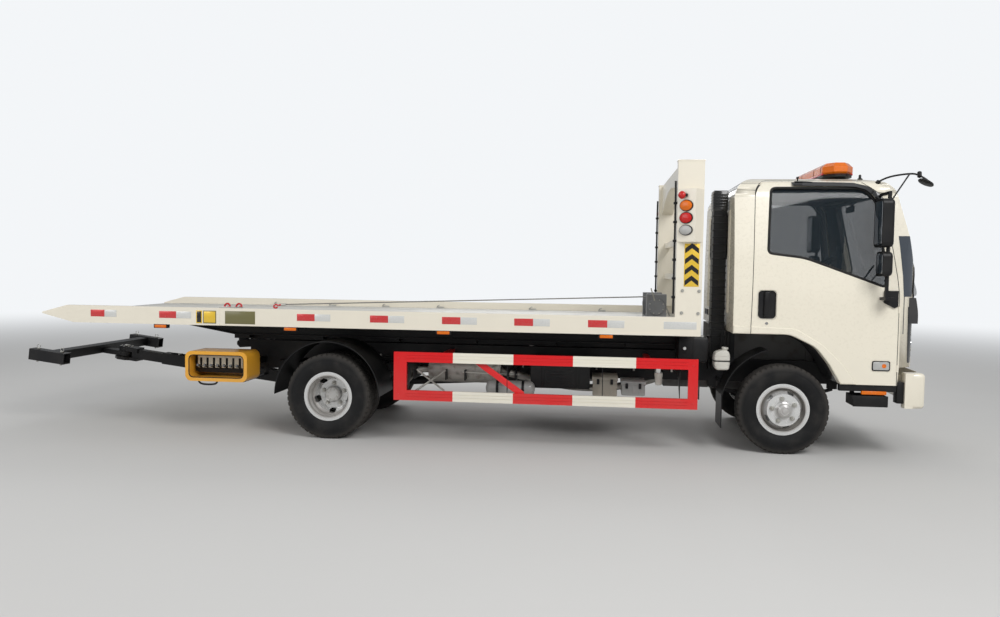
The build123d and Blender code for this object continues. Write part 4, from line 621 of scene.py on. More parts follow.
@dataclass(frozen=True)
class Cloth:
    """Woven seat cloth with faint paler stripes."""

    name: str
    colour: RGB = (0.05, 0.055, 0.065)
    thread: float = 0.003

    def build(self) -> bpy.types.Material:
        """The cloth as a material."""
        tree = Tree(self.name)
        x, y, z = tree.xyz()
        turn = 2 * math.pi / self.thread
        weave = (y * turn).sine() * ((x + z) * turn).sine() * 0.5 + 0.5
        clouds = tree.noise(8.0, 4.0)
        stripe = (y * (2 * math.pi / 0.045)).sine().smooth(0.2, 0.6)
        base = tree.mix(
            weave * 0.5 + clouds * 0.3, self.colour, tuple(c * 1.9 for c in self.colour)
        )
        base = tree.mix(stripe * 0.25, base, (0.10, 0.11, 0.13))
        normal = tree.bump(weave, 0.0008, 0.6)
        return tree.finish(base, 0.9, normal, Sheen_Weight=0.3)


@dataclass(frozen=True)
class GuardPaint:
    """The side guard's paint: red with white lengths between given places along the truck."""

    name: str
    whites: tuple[tuple[float, float], ...]
    red: RGB = (0.72, 0.002, 0.006)
    white: RGB = (0.86, 0.82, 0.70)

    def build(self) -> bpy.types.Material:
        """The striped paint as a material."""
        tree = Tree(self.name)
        x, y, z = tree.xyz()
        pale: Any = 0.0
        for low, high in self.whites:
            pale = x.band(low, high, 0.0006) + pale
        outer = abs(y).smooth(1.05, 1.06)
        clouds = tree.noise(4.0, 4.0)
        speck = tree.noise(60.0, 5.0, rough=0.7)
        base = tree.mix((pale * outer).upto(1.0), self.red, self.white)
        grime = (z.smooth(0.9, 0.35) * 0.14 + 0.03) * (clouds + speck * 0.4)
        base = tree.mix(grime, base, (0.30, 0.26, 0.22))
        normal = tree.bump(tree.noise(220.0, 2.0), 0.0004, 0.35)
        return tree.finish(
            base,
            0.3 + grime * 0.6,
            normal,
            Coat_Weight=0.2,
            Coat_Roughness=0.12,
            Specular_IOR_Level=0.3,
        )


@dataclass(frozen=True)
class Rope:
    """Laid steel wire: slanting strands along its run."""

    name: str
    colour: RGB = (0.36, 0.35, 0.33)
    lay: float = 0.018

    def build(self) -> bpy.types.Material:
        """The rope as a material."""
        tree = Tree(self.name)
        x, y, z = tree.xyz()
        strands = ((x + (y + z) * 1.6) * (2 * math.pi / self.lay)).sine() * 0.5 + 0.5
        clouds = tree.noise(12.0, 4.0)
        base = tree.mix(
            strands.smooth(0.6, 0.1) * 0.6 + clouds * 0.2, self.colour, (0.07, 0.06, 0.05)
        )
        normal = tree.bump(strands, 0.0015, 0.8)
        return tree.finish(base, 0.42, normal, Metallic=0.8)
# Modelling

CIRCLE = [2 * math.pi * step / 10 for step in range(10)]
OVAL = [2 * math.pi * step / 36 for step in range(36)]


def only(piece: bpy.types.Object) -> None:
    """Selects one object alone and makes it active."""
    bpy.ops.object.select_all(action="DESELECT")
    piece.select_set(True)
    bpy.context.view_layer.objects.active = piece


def settle(piece: bpy.types.Object) -> bpy.types.Object:
    """Puts a piece's place, turn and scale into its mesh."""
    only(piece)
    bpy.ops.object.transform_apply(location=True, rotation=True, scale=True)
    return piece


def smooth(piece: bpy.types.Object, degrees: float = 35.0) -> bpy.types.Object:
    """Shades a piece smooth up to an angle between faces."""
    only(piece)
    bpy.ops.object.shade_smooth_by_angle(angle=math.radians(degrees))
    return piece


def pick(
    piece: bpy.types.Object, test: Callable[[Vector, Vector], bool], kind: str = "FACE"
) -> int:
    """Enters edit mode and selects what passes a test.

    Args:
        piece: the mesh to work on.
        test: given a face's or edge's middle and its normal or direction, says whether it is taken.
        kind: FACE or EDGE.

    Returns:
        How many were taken.
    """
    only(piece)
    bpy.ops.object.mode_set(mode="EDIT")
    bpy.ops.mesh.select_mode(type=kind)
    bpy.ops.mesh.select_all(action="DESELECT")
    mesh = bmesh.from_edit_mesh(piece.data)
    taken = 0
    if kind == "FACE":
        for face in mesh.faces:
            if test(face.calc_center_median(), face.normal):
                face.select_set(True)
                taken += 1
    else:
        for edge in mesh.edges:
            start, end = (vert.co for vert in edge.verts)
            if test((start + end) / 2, (end - start).normalized()):
                edge.select_set(True)
                taken += 1
    bmesh.update_edit_mesh(piece.data)
    return taken


def leave() -> None:
    """Goes back to object mode."""
    bpy.ops.object.mode_set(mode="OBJECT")


def tidy(piece: bpy.types.Object, gap: float = 0.00002) -> bpy.types.Object:
    """Merges doubles and turns every face outwards."""
    only(piece)
    bpy.ops.object.mode_set(mode="EDIT")
    bpy.ops.mesh.select_all(action="SELECT")
    bpy.ops.mesh.remove_doubles(threshold=gap)
    bpy.ops.mesh.normals_make_consistent(inside=False)
    leave()
    return piece


def bevel(
    piece: bpy.types.Object,
    width: float,
    segments: int = 2,
    test: Callable[[Vector, Vector], bool] | None = None,
) -> bpy.types.Object:
    """Rounds a piece's sharp edges.

    Args:
        piece: the mesh.
        width: how wide the round is, in metres.
        segments: how many faces the round has.
        test: which edges, by their middle and direction; all sharp edges if left out.
    """
    if test is None:
        only(piece)
        bpy.ops.object.mode_set(mode="EDIT")
        bpy.ops.mesh.select_mode(type="EDGE")
        bpy.ops.mesh.select_all(action="DESELECT")
        bpy.ops.mesh.edges_select_sharp(sharpness=math.radians(30))
    else:
        pick(piece, test, "EDGE")
    bpy.ops.mesh.bevel(offset=width, segments=segments, affect="EDGES")
    leave()
    return piece


def block(name: str, low: Point, high: Point, round_off: float = 0.003) -> bpy.types.Object:
    """A block between two corners with rounded edges.

    Args:
        name: the object's name.
        low: the lowest corner.
        high: the highest corner.
        round_off: the radius of its edges, none if 0.
    """
    middle = [(a + b) / 2 for a, b in zip(low, high)]
    bpy.ops.object.select_all(action="DESELECT")
    bpy.ops.mesh.primitive_cube_add(size=1.0, location=middle)
    piece = bpy.context.object
    piece.name = name
    piece.scale = [abs(b - a) for a, b in zip(low, high)]
    settle(piece)
    if round_off:
        bevel(piece, round_off)
    return piece


def outline_plate(
    name: str,
    outline: Sequence[Point2],
    axis: Axis,
    start: float,
    depth: float,
    round_off: float = 0.0,
) -> bpy.types.Object:
    """A flat plate of any outline, drawn out along an axis.

    Args:
        name: the object's name.
        outline: the plate's corners, in the two axes left over, in X, Y, Z order.
        axis: the axis it is drawn out along.
        start: where it begins on that axis.
        depth: how far it goes, with its sign.
        round_off: the radius of its edges.
    """
    bpy.ops.object.select_all(action="DESELECT")
    bpy.ops.mesh.primitive_circle_add(vertices=len(outline), fill_type="NGON")
    piece = bpy.context.object
    piece.name = name
    for vert, (u, v) in zip(piece.data.vertices, outline):
        vert.co = {
            Axis.X: (start, u, v),
            Axis.Y: (u, start, v),
            Axis.Z: (u, v, start),
        }[axis]
    piece.data.update()
    only(piece)
    bpy.ops.object.mode_set(mode="EDIT")
    bpy.ops.mesh.select_all(action="SELECT")
    bpy.ops.mesh.extrude_region_move(
        TRANSFORM_OT_translate={"value": [depth * part for part in axis.value]}
    )
    leave()
    tidy(piece)
    if round_off:
        bevel(piece, round_off)
    return piece


def rounded(corners: Sequence[Point2], radius: float, steps: int = 5) -> list[Point2]:
    """An outline with each corner rounded.

    Args:
        corners: the sharp outline.
        radius: the corners' radius, cut down where a side is short.
        steps: how many points each round has.
    """
    made: list[Point2] = []
    count = len(corners)
    for index, corner in enumerate(corners):
        here = Vector(corner)
        before = Vector(corners[index - 1]) - here
        after = Vector(corners[(index + 1) % count]) - here
        reach = min(radius, before.length * 0.45, after.length * 0.45)
        first = here + before.normalized() * reach
        last = here + after.normalized() * reach
        for step in range(steps + 1):
            t = step / steps
            point = first * (1 - t) ** 2 + here * (2 * t * (1 - t)) + last * t**2
            made.append((point.x, point.y))
    return made


def rod(
    name: str,
    start: Point,
    end: Point,
    radius: float,
    sides: int = 24,
    round_off: float = 0.0015,
    tip: float | None = None,
) -> bpy.types.Object:
    """A round bar between two points with eased ends.

    Args:
        name: the object's name.
        start: the middle of its first end.
        end: the middle of its last end.
        radius: its radius.
        sides: how many faces go round it.
        round_off: how far its ends are eased.
        tip: the radius at the last end, if it tapers.
    """
    first, last = Vector(start), Vector(end)
    run = last - first
    bpy.ops.object.select_all(action="DESELECT")
    bpy.ops.mesh.primitive_cone_add(
        vertices=sides,
        radius1=radius,
        radius2=radius if tip is None else tip,
        depth=run.length,
        location=(first + last) / 2,
        rotation=run.to_track_quat("Z", "Y").to_euler(),
    )
    piece = settle(bpy.context.object)
    piece.name = name
    if round_off:
        bevel(piece, min(round_off, radius * 0.3), 1)
    return piece


def spun(
    name: str,
    profile: Sequence[Point2],
    centre: Point,
    axis: Axis = Axis.Y,
    steps: int = 48,
    turn: float = 2 * math.pi,
) -> bpy.types.Object:
    """A shape turned about an axis from its closed half section.

    Args:
        name: the object's name.
        profile: points as (distance along the axis, radius).
        centre: the point that the distances count from.
        axis: the axis of the turn.
        steps: how many faces go round.
        turn: how far it goes round, in radians.
    """
    bpy.ops.object.select_all(action="DESELECT")
    bpy.ops.mesh.primitive_circle_add(vertices=len(profile), fill_type="NOTHING")
    piece = bpy.context.object
    piece.name = name
    x, y, z = centre
    for vert, (along, radius) in zip(piece.data.vertices, profile):
        vert.co = {
            Axis.X: (x + along, y, z + radius),
            Axis.Y: (x + radius, y + along, z),
            Axis.Z: (x + radius, y, z + along),
        }[axis]
    settle(piece)
    bpy.ops.object.mode_set(mode="EDIT")
    bpy.ops.mesh.select_all(action="SELECT")
    bpy.ops.mesh.spin(steps=steps, angle=turn, center=centre, axis=axis.value)
    if turn < 2 * math.pi - 0.01:
        bpy.ops.mesh.select_all(action="DESELECT")
        bpy.ops.mesh.select_mode(type="EDGE")
        bpy.ops.mesh.select_non_manifold(extend=False)
        bpy.ops.mesh.edge_face_add()
    leave()
    tidy(piece, 0.00005)
    return piece


def pipe(
    name: str,
    points: Sequence[Point],
    radius: float,
    sides: int = 10,
    curved: bool = True,
    closed: bool = False,
) -> bpy.types.Object:
    """A bent tube through points, as a mesh with closed ends.

    Args:
        name: the object's name.
        points: the points it is led by.
        radius: the tube's radius.
        sides: how many faces go round it.
        curved: a smooth line if true, else straight runs.
        closed: whether its last point joins its first.
    """
    data = bpy.data.curves.new(name, "CURVE")
    data.dimensions = "3D"
    data.bevel_depth = radius
    data.bevel_resolution = max(1, sides // 4)
    data.use_fill_caps = True
    data.resolution_u = 6
    spline = data.splines.new("NURBS" if curved else "POLY")
    spline.points.add(len(points) - 1)
    for spot, point in zip(spline.points, points):
        spot.co = (*point, 1.0)
    spline.use_cyclic_u = closed
    if curved:
        spline.order_u = 3
        spline.use_endpoint_u = True
    piece = bpy.data.objects.new(name, data)
    bpy.context.scene.collection.objects.link(piece)
    only(piece)
    bpy.ops.object.convert(target="MESH")
    piece = bpy.context.object
    tidy(piece)
    return smooth(piece, 50.0)


def copy_to(piece: bpy.types.Object, name: str, matrix: Matrix) -> bpy.types.Object:
    """A copy with its own mesh, moved by a matrix; a mirrored copy is turned right side out."""
    made = piece.copy()
    made.data = piece.data.copy()
    made.name = name
    bpy.context.scene.collection.objects.link(made)
    made.data.transform(matrix)
    if matrix.determinant() < 0:
        made.data.flip_normals()
    return made


def turned(
    piece: bpy.types.Object, name: str, angle: float, centre: Point, axis: Axis = Axis.Y
) -> bpy.types.Object:
    """A copy turned about an axis through a point."""
    to = Matrix.Translation(centre)
    return copy_to(piece, name, to @ Matrix.Rotation(angle, 4, Vector(axis.value)) @ to.inverted())


def flipped(piece: bpy.types.Object, name: str) -> bpy.types.Object:
    """A copy mirrored to the truck's other side."""
    return copy_to(piece, name, Matrix.Scale(-1, 4, (0, 1, 0)))


def joined(name: str, pieces: Sequence[bpy.types.Object]) -> bpy.types.Object:
    """Several pieces as one object."""
    bpy.ops.object.select_all(action="DESELECT")
    for piece in pieces:
        piece.select_set(True)
    bpy.context.view_layer.objects.active = pieces[0]
    if len(pieces) > 1:
        bpy.ops.object.join()
    made = bpy.context.object
    made.name = name
    return made


def arc(centre: Point2, radius: float, start: float, end: float, steps: int) -> list[Point2]:
    """Points on an arc, with angles in degrees."""
    made = []
    for step in range(steps + 1):
        angle = math.radians(start + (end - start) * step / steps)
        made.append((centre[0] + radius * math.cos(angle), centre[1] + radius * math.sin(angle)))
    return made


def eased(
    rows: Sequence[tuple[float, float, float]], closed: bool = True, steps: int = 6
) -> list[Point2]:
    """An outline whose corners each have their own radius.

    Args:
        rows: each corner's two places and its radius.
        closed: whether the last corner joins the first.
        steps: how many points each round has.
    """
    made: list[Point2] = []
    count = len(rows)
    for index, (u, v, radius) in enumerate(rows):
        here = Vector((u, v))
        if not radius or (not closed and index in (0, count - 1)):
            made.append((u, v))
            continue
        before = Vector(rows[index - 1][:2]) - here
        after = Vector(rows[(index + 1) % count][:2]) - here
        turn = math.pi - before.angle(after)
        reach = min(radius * math.tan(turn / 2), before.length * 0.49, after.length * 0.49)
        first = here + before.normalized() * reach
        last = here + after.normalized() * reach
        for step in range(steps + 1):
            t = step / steps
            point = first * (1 - t) ** 2 + here * (2 * t * (1 - t)) + last * t**2
            made.append((point.x, point.y))
    return made


def dense(points: Sequence[Point2], gap: float, closed: bool = True) -> list[Point2]:
    """The same outline with more points on its long runs.

    Args:
        points: the outline.
        gap: the longest step between two points.
        closed: whether the last point joins the first.
    """
    made: list[Point2] = []
    for index, start in enumerate(points):
        made.append(start)
        if index == len(points) - 1 and not closed:
            break
        end = points[(index + 1) % len(points)]
        count = max(1, math.ceil(math.dist(start, end) / gap))
        for step in range(1, count):
            t = step / count
            made.append((start[0] * (1 - t) + end[0] * t, start[1] * (1 - t) + end[1] * t))
    return made


def strip(
    name: str, first: Sequence[Point], second: Sequence[Point], thick: float
) -> bpy.types.Object:
    """A thin bent sheet between two edges of as many points.

    Args:
        name: the object's name.
        first: the points of one edge.
        second: the points of the other.
        thick: the sheet's thickness, half to each side.
    """
    count = len(first)
    bpy.ops.object.select_all(action="DESELECT")
    bpy.ops.mesh.primitive_grid_add(x_subdivisions=count - 1, y_subdivisions=1)
    piece = bpy.context.object
    piece.name = name
    for index, vert in enumerate(piece.data.vertices):
        vert.co = first[index] if index < count else second[index - count]
    settle(piece)
    wall = piece.modifiers.new("wall", "SOLIDIFY")
    wall.thickness = thick
    wall.offset = 0.0
    bpy.ops.object.modifier_apply(modifier="wall")
    return tidy(piece)


def tray(
    name: str, outline: Sequence[Point2], axis: Axis, face: float, back: float, rim: float
) -> bpy.types.Object:
    """A shallow dish: a plate whose front face is inset and pushed back.

    Args:
        name: the object's name.
        outline: its rounded outline.
        axis: the axis that it looks along.
        face: where its rim stands on that axis.
        back: where its floor stands.
        rim: how wide its rim is.
    """
    sign = 1.0 if face > back else -1.0
    piece = outline_plate(name, outline, axis, back - sign * 0.002, face - back + sign * 0.002)
    way = Vector(axis.value) * sign
    pick(piece, lambda middle, normal: normal.dot(way) > 0.9)
    bpy.ops.mesh.inset(thickness=rim)
    depth = way * (back - face) * sign
    bpy.ops.transform.translate(value=depth)
    leave()
    return piece


def tidy_named(piece: bpy.types.Object, name: str) -> bpy.types.Object:
    """Renames a piece whose mesh was moved, and refreshes it."""
    piece.name = name
    piece.data.update()
    return piece


# The finishes in use


class Finish(Enum):
    """Every finish on the truck, as the look that builds it."""

    FRAME = FramePaint("frame_black")
    CAB = CabPaint("cab_white", (0.88, 0.82, 0.68), dust=0.10)
    BUMPER = Paint("bumper_white", (0.88, 0.82, 0.68), dust=0.14)
    CREAM = Paint("bed_cream", (0.86, 0.80, 0.67), rough=0.34, dust=0.2)
    DECK = DeckSteel("deck_plate")
    YELLOW = Paint("box_yellow", (0.86, 0.40, 0.015), rough=0.32, dust=0.22)
    LEVER_PLATE = Paint("lever_plate", (0.66, 0.62, 0.50), rough=0.4, dust=0.3)
    RED = Paint("strut_red", (0.72, 0.002, 0.006), dust=0.12, coat=0.2)
    GREY = Paint("tank_grey", (0.34, 0.35, 0.35), rough=0.4, dust=0.5)
    TAN = Paint("case_tan", (0.30, 0.27, 0.22), rough=0.5, dust=0.5)
    GUARD = GuardPaint("guard_stripes", ((0.068, 0.621), (1.158, 1.716)))
    FRONT_TYRE = Rubber("front_tyre", FRONT_AXLE_X)
    REAR_TYRE = Rubber("rear_tyre", REAR_AXLE_X)
    FRONT_WHEEL = WheelPaint("front_wheel_silver", FRONT_AXLE_X)
    REAR_WHEEL = WheelPaint("rear_wheel_silver", REAR_AXLE_X)
    CHROME = Metal("rod_chrome", (0.72, 0.72, 0.71), 0.12, 260.0, 0.0001, 0.12)
    STEEL = Metal("bare_steel", (0.50, 0.49, 0.47), 0.38)
    ZINC = Metal("zinc_plate", (0.56, 0.55, 0.51), 0.42, 90.0)
    CAST = Metal("cast_iron", (0.16, 0.155, 0.15), 0.6, 140.0, 0.0012, 0.5, metallic=0.6)
    TANK = Metal("tank_metal", (0.30, 0.30, 0.30), 0.45, 60.0, 0.0005, 0.5, (1.0, 0.2, 0.2), 0.7)
    GALVANISED = Metal("silencer_metal", (0.42, 0.40, 0.37), 0.5, 40.0, 0.0004, 0.6)
    WINCH = Metal("winch_case", (0.20, 0.205, 0.21), 0.5, 120.0, 0.0008, 0.35, metallic=0.3)
    ROPE = Rope("wire_rope")
    BLACK = Plastic("black_plastic", (0.007, 0.007, 0.0075), 0.42, dust=0.12)
    TRIM = Plastic("gloss_black", (0.010, 0.010, 0.011), 0.22, 0.0002, 0.12, 0.6)
    SEAL = Plastic("rubber_seal", (0.012, 0.012, 0.012), 0.7, 0.0004, 0.2)
    CORNER = Plastic("corner_gloss", (0.055, 0.066, 0.082), 0.14, 0.0001, 0.08, 0.5)
    LAMP_SIDE = Plastic("lamp_side", (0.020, 0.022, 0.025), 0.10, 0.0001, 0.05, 0.8)
    DASH = Plastic("dash_grey", (0.045, 0.045, 0.047), 0.6, 0.0006, 0.15)
    LINING = Plastic("cab_lining", (0.20, 0.195, 0.18), 0.8, 0.0006, 0.1)
    BOTTLE = Plastic("bottle_white", (0.62, 0.60, 0.54), 0.35, 0.0002, 0.3)
    HOSE = Plastic("hose_rubber", (0.014, 0.014, 0.015), 0.55, 0.0003, 0.25)
    RED_LENS = Lens("lens_red", (0.62, 0.012, 0.010))
    AMBER_LENS = Lens("lens_amber", (0.82, 0.17, 0.003))
    CLEAR_LENS = Lens("lens_clear", (0.50, 0.50, 0.48))
    SILVER_BOWL = Metal("lamp_bowl", (0.78, 0.78, 0.78), 0.08, 300.0, 0.0001, 0.05)
    MIRROR = Metal("mirror_glass", (0.86, 0.88, 0.90), 0.02, 300.0, 0.00002, 0.02)
    WINDOW = Glass("window_glass")
    SCREEN = Glass("windscreen_glass", (0.045, 0.075, 0.085), 0.40)
    LAMP_COVER = Glass("lamp_cover", (0.10, 0.11, 0.115), 0.22)
    RED_TAPE = Tape("tape_red", (0.66, 0.012, 0.014))
    SILVER_TAPE = Tape("tape_silver", (0.72, 0.72, 0.69))
    YELLOW_TAPE = Tape("tape_yellow", (0.88, 0.56, 0.01))
    CLOTH = Cloth("seat_cloth")
    OLIVE = Paint("plate_olive", (0.16, 0.145, 0.05), rough=0.4, dust=0.25)
    HOOK_RED = Paint("hook_red", (0.55, 0.012, 0.012), rough=0.4, dust=0.2)


class Palette:
    """Builds each finish's material once and hands it out."""

    def __init__(self) -> None:
        """Starts with nothing built."""
        self._made: dict[Finish, bpy.types.Material] = {}

    def get(self, finish: Finish) -> bpy.types.Material:
        """The material of a finish, built at its first use."""
        if finish not in self._made:
            self._made[finish] = finish.value.build()
        return self._made[finish]


@dataclass
class Assembly:
    """A group of pieces that belong together on the truck.

    Attributes:
        palette: where its materials come from.
        body: the CAD body that its pieces ride on, if nothing else is said.
    """

    palette: Palette
    body: str = "chassis"

    def __post_init__(self) -> None:
        """Starts an empty list of pieces."""
        self.made: list[bpy.types.Object] = []

    def dress(
        self,
        piece: bpy.types.Object,
        finish: Finish,
        slot: str,
        body: str | None = None,
        angle: float = 35.0,
    ) -> bpy.types.Object:
        """Gives a piece its shading, material and body.

        Args:
            piece: the finished mesh.
            finish: its finish.
            slot: the record's material slot; not used.
            body: the CAD body it rides on, or the assembly's own.
            angle: the shading's smooth angle in degrees.

        Returns:
            The piece.
        """
        smooth(piece, angle)
        piece.data.materials.clear()
        piece.data.materials.append(self.palette.get(finish))
        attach(piece, body or self.body)
        self.made.append(piece)
        return piece

    def pair(
        self,
        piece: bpy.types.Object,
        finish: Finish,
        slot: str,
        body: str | None = None,
        angle: float = 35.0,
    ) -> None:
        """Dresses a piece of the right side, and its mirror image for the left."""
        other = flipped(piece, piece.name.replace("_right", "_left"))
        self.dress(piece, finish, slot, body, angle)
        self.dress(other, finish, slot, (body or self.body).replace("_right", "_left"), angle)

    def report(self) -> None:
        """Logs how many pieces the assembly has and their faces."""
        faces = sum(len(piece.data.polygons) for piece in self.made)
        LOG.info("%s: %d pieces, %d faces", type(self).__name__, len(self.made), faces)


@dataclass
class CadFinishes(Assembly):
    """The materials of the pieces that come from the CAD model."""

    table: tuple[tuple[Finish, str], ...] = (
        (
            Finish.FRAME,
            "chassis_frame subframe cylinder_brackets rear_axle propshaft front_axle knuckle_left "
            "knuckle_right tie_rod tilt_frame tilt_barrels slide_barrel lift_brackets lift_arm "
            "lift_boom lift_crossbar lift_barrel bed_runners",
        ),
        (Finish.CHROME, "tilt_rods slide_rod lift_rod"),
        (Finish.CAB, "cab_shell door_left door_right"),
        (Finish.BUMPER, "bumper"),
        (Finish.CREAM, "bed_rails mast"),
        (Finish.DECK, "bed_deck"),
        (Finish.WINCH, "winch"),
        (Finish.ROPE, "winch_rope"),
        (Finish.GUARD, "side_guards"),
        (Finish.YELLOW, "control_box"),
        (
            Finish.BLACK,
            "control_levers rear_fenders front_mudguards grille mirrors_left mirrors_right",
        ),
        (Finish.BLACK, "air_intake battery_box"),
        (Finish.DASH, "dashboard"),
        (Finish.CLOTH, "seats"),
        (Finish.BOTTLE, "washer_bottle"),
        (Finish.CAST, "engine"),
        (Finish.TANK, "fuel_tank"),
        (Finish.GALVANISED, "silencer"),
        (Finish.RED_LENS, "rear_lamps"),
        (Finish.AMBER_LENS, "beacon"),
        (Finish.LAMP_COVER, "headlamps"),
        (Finish.WINDOW, "door_glass_left door_glass_right"),
        (Finish.SCREEN, "cab_glass"),
        (Finish.FRONT_TYRE, "front_tyre_left front_tyre_right"),
        (Finish.REAR_TYRE, "rear_tyres_left rear_tyres_right"),
        (Finish.FRONT_WHEEL, "front_wheel_left front_wheel_right"),
        (Finish.REAR_WHEEL, "rear_wheels_left rear_wheels_right"),
    )

    def build(self) -> None:
        """Puts each finish on its nodes."""
        for finish, names in self.table:
            for name in names.split():
                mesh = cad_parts[name].data
                mesh.materials.clear()
                mesh.materials.append(self.palette.get(finish))


@dataclass
class Studio:
    """Floor, light and camera.

    Attributes:
        spot: the camera's place.
        yaw: its turn to the left of straight across the truck, in radians.
        pitch: how far it looks down, in radians.
        roll: its turn about its own line, in radians.
        lens: its focal length on a 36 mm frame.
    """

    spot: Point = (1.3549, -8.4525, 1.6412)
    yaw: float = 0.1171
    pitch: float = 0.0502
    roll: float = -0.01385
    lens: float = 29.478

    def clear(self) -> None:
        """Removes what Blender's own start scene holds."""
        for name in ("Cube", "Light", "Camera"):
            if name in bpy.data.objects:
                bpy.data.objects.remove(bpy.data.objects[name])

    def camera(self) -> None:
        """Sets the camera at the photograph's viewing angle."""
        ahead = Vector(
            (
                -math.sin(self.yaw) * math.cos(self.pitch),
                math.cos(self.yaw) * math.cos(self.pitch),
                -math.sin(self.pitch),
            )
        )
        right = Vector((math.cos(self.yaw), math.sin(self.yaw), 0.0))
        down = ahead.cross(right)
        across = right * math.cos(self.roll) + down * math.sin(self.roll)
        below = down * math.cos(self.roll) - right * math.sin(self.roll)
        data = bpy.data.cameras.new("camera")
        data.sensor_fit = "HORIZONTAL"
        data.sensor_width = 36.0
        data.lens = self.lens
        data.clip_end = 200.0
        holder = bpy.data.objects.new("camera", data)
        bpy.context.scene.collection.objects.link(holder)
        holder.matrix_world = Matrix.Translation(self.spot) @ Matrix(
            (across, -below, -ahead)
        ).transposed().to_4x4()
        bpy.context.scene.camera = holder

    def lamp(self, name: str, place: Point, aim: Point, size: float, power: float) -> None:
        """A square soft lamp.

        Args:
            name: the lamp's name.
            place: where it hangs.
            aim: the point it faces.
            size: its side in metres.
            power: its power in watts.
        """
        data = bpy.data.lights.new(name, "AREA")
        data.size = size
        data.energy = power
        holder = bpy.data.objects.new(name, data)
        bpy.context.scene.collection.objects.link(holder)
        holder.location = place
        holder.rotation_euler = (Vector(aim) - Vector(place)).to_track_quat("-Z", "Y").to_euler()

    def world(self) -> None:
        """An even pale surrounding that is white to the camera and in reflections."""
        world = bpy.data.worlds.new("studio")
        bpy.context.scene.world = world
        world.use_nodes = True
        nodes, links = world.node_tree.nodes, world.node_tree.links
        nodes.clear()
        path = nodes.new("ShaderNodeLightPath")
        seen = nodes.new("ShaderNodeMath")
        seen.operation = "MAXIMUM"
        links.new(path.outputs["Is Camera Ray"], seen.inputs[0])
        links.new(path.outputs["Is Transmission Ray"], seen.inputs[1])
        light = nodes.new("ShaderNodeBackground")
        light.inputs[0].default_value = (0.93, 0.96, 1.0, 1.0)
        light.inputs[1].default_value = 0.48
        shown = nodes.new("ShaderNodeBackground")
        shown.inputs[0].default_value = (0.90, 0.92, 0.94, 1.0)
        shown.inputs[1].default_value = 1.0
        blend = nodes.new("ShaderNodeMixShader")
        links.new(seen.outputs[0], blend.inputs[0])
        links.new(light.outputs[0], blend.inputs[1])
        links.new(shown.outputs[0], blend.inputs[2])
        out = nodes.new("ShaderNodeOutputWorld")
        links.new(blend.outputs[0], out.inputs[0])

    def floor(self) -> None:
        """A wide plain floor with a faint cast grain."""
        tree = Tree("studio_floor")
        clouds = tree.noise(0.7, 4.0)
        x, y, _ = tree.xyz()
        base = tree.mix(clouds * 0.3, (0.62, 0.61, 0.59), (0.56, 0.55, 0.53))
        material = tree.finish(base, 0.85 + clouds * 0.05, None, Specular_IOR_Level=0.2)
        near = next(node for node in tree.nodes if node.type == "BSDF_PRINCIPLED")
        end = next(node for node in tree.nodes if node.type == "OUTPUT_MATERIAL")
        seen = tree.node("ShaderNodeLightPath").outputs["Is Camera Ray"]
        far = (x * x + y * y).root().smooth(8.0, 24.0) * seen
        glow = tree.node(
            "ShaderNodeEmission", values={"Color": (0.90, 0.92, 0.94, 1.0), "Strength": 1.0}
        )
        blend = tree.node("ShaderNodeMixShader", values={0: far})
        tree.feed(blend.inputs[1], near.outputs[0])
        tree.feed(blend.inputs[2], glow.outputs[0])
        tree.feed(end.inputs[0], blend.outputs[0])
        bpy.ops.object.select_all(action="DESELECT")
        bpy.ops.mesh.primitive_circle_add(vertices=64, radius=70.0, fill_type="NGON")
        floor = bpy.context.object
        floor.name = "studio_floor"
        floor.data.materials.append(material)

    def build(self) -> None:
        """Makes the whole setting."""
        self.camera()
        self.world()
        self.floor()
        self.lamp("key", (6.5, -9.0, 8.5), (0.6, 0.0, 0.9), 5.0, 780.0)
        self.lamp("fill", (-7.5, -7.0, 5.5), (-0.5, 0.0, 0.8), 6.0, 280.0)
        self.lamp("back", (0.0, 9.5, 7.0), (0.0, 0.0, 1.0), 6.0, 350.0)
        view = bpy.context.scene.view_settings
        view.view_transform = "Standard"


# Wheels


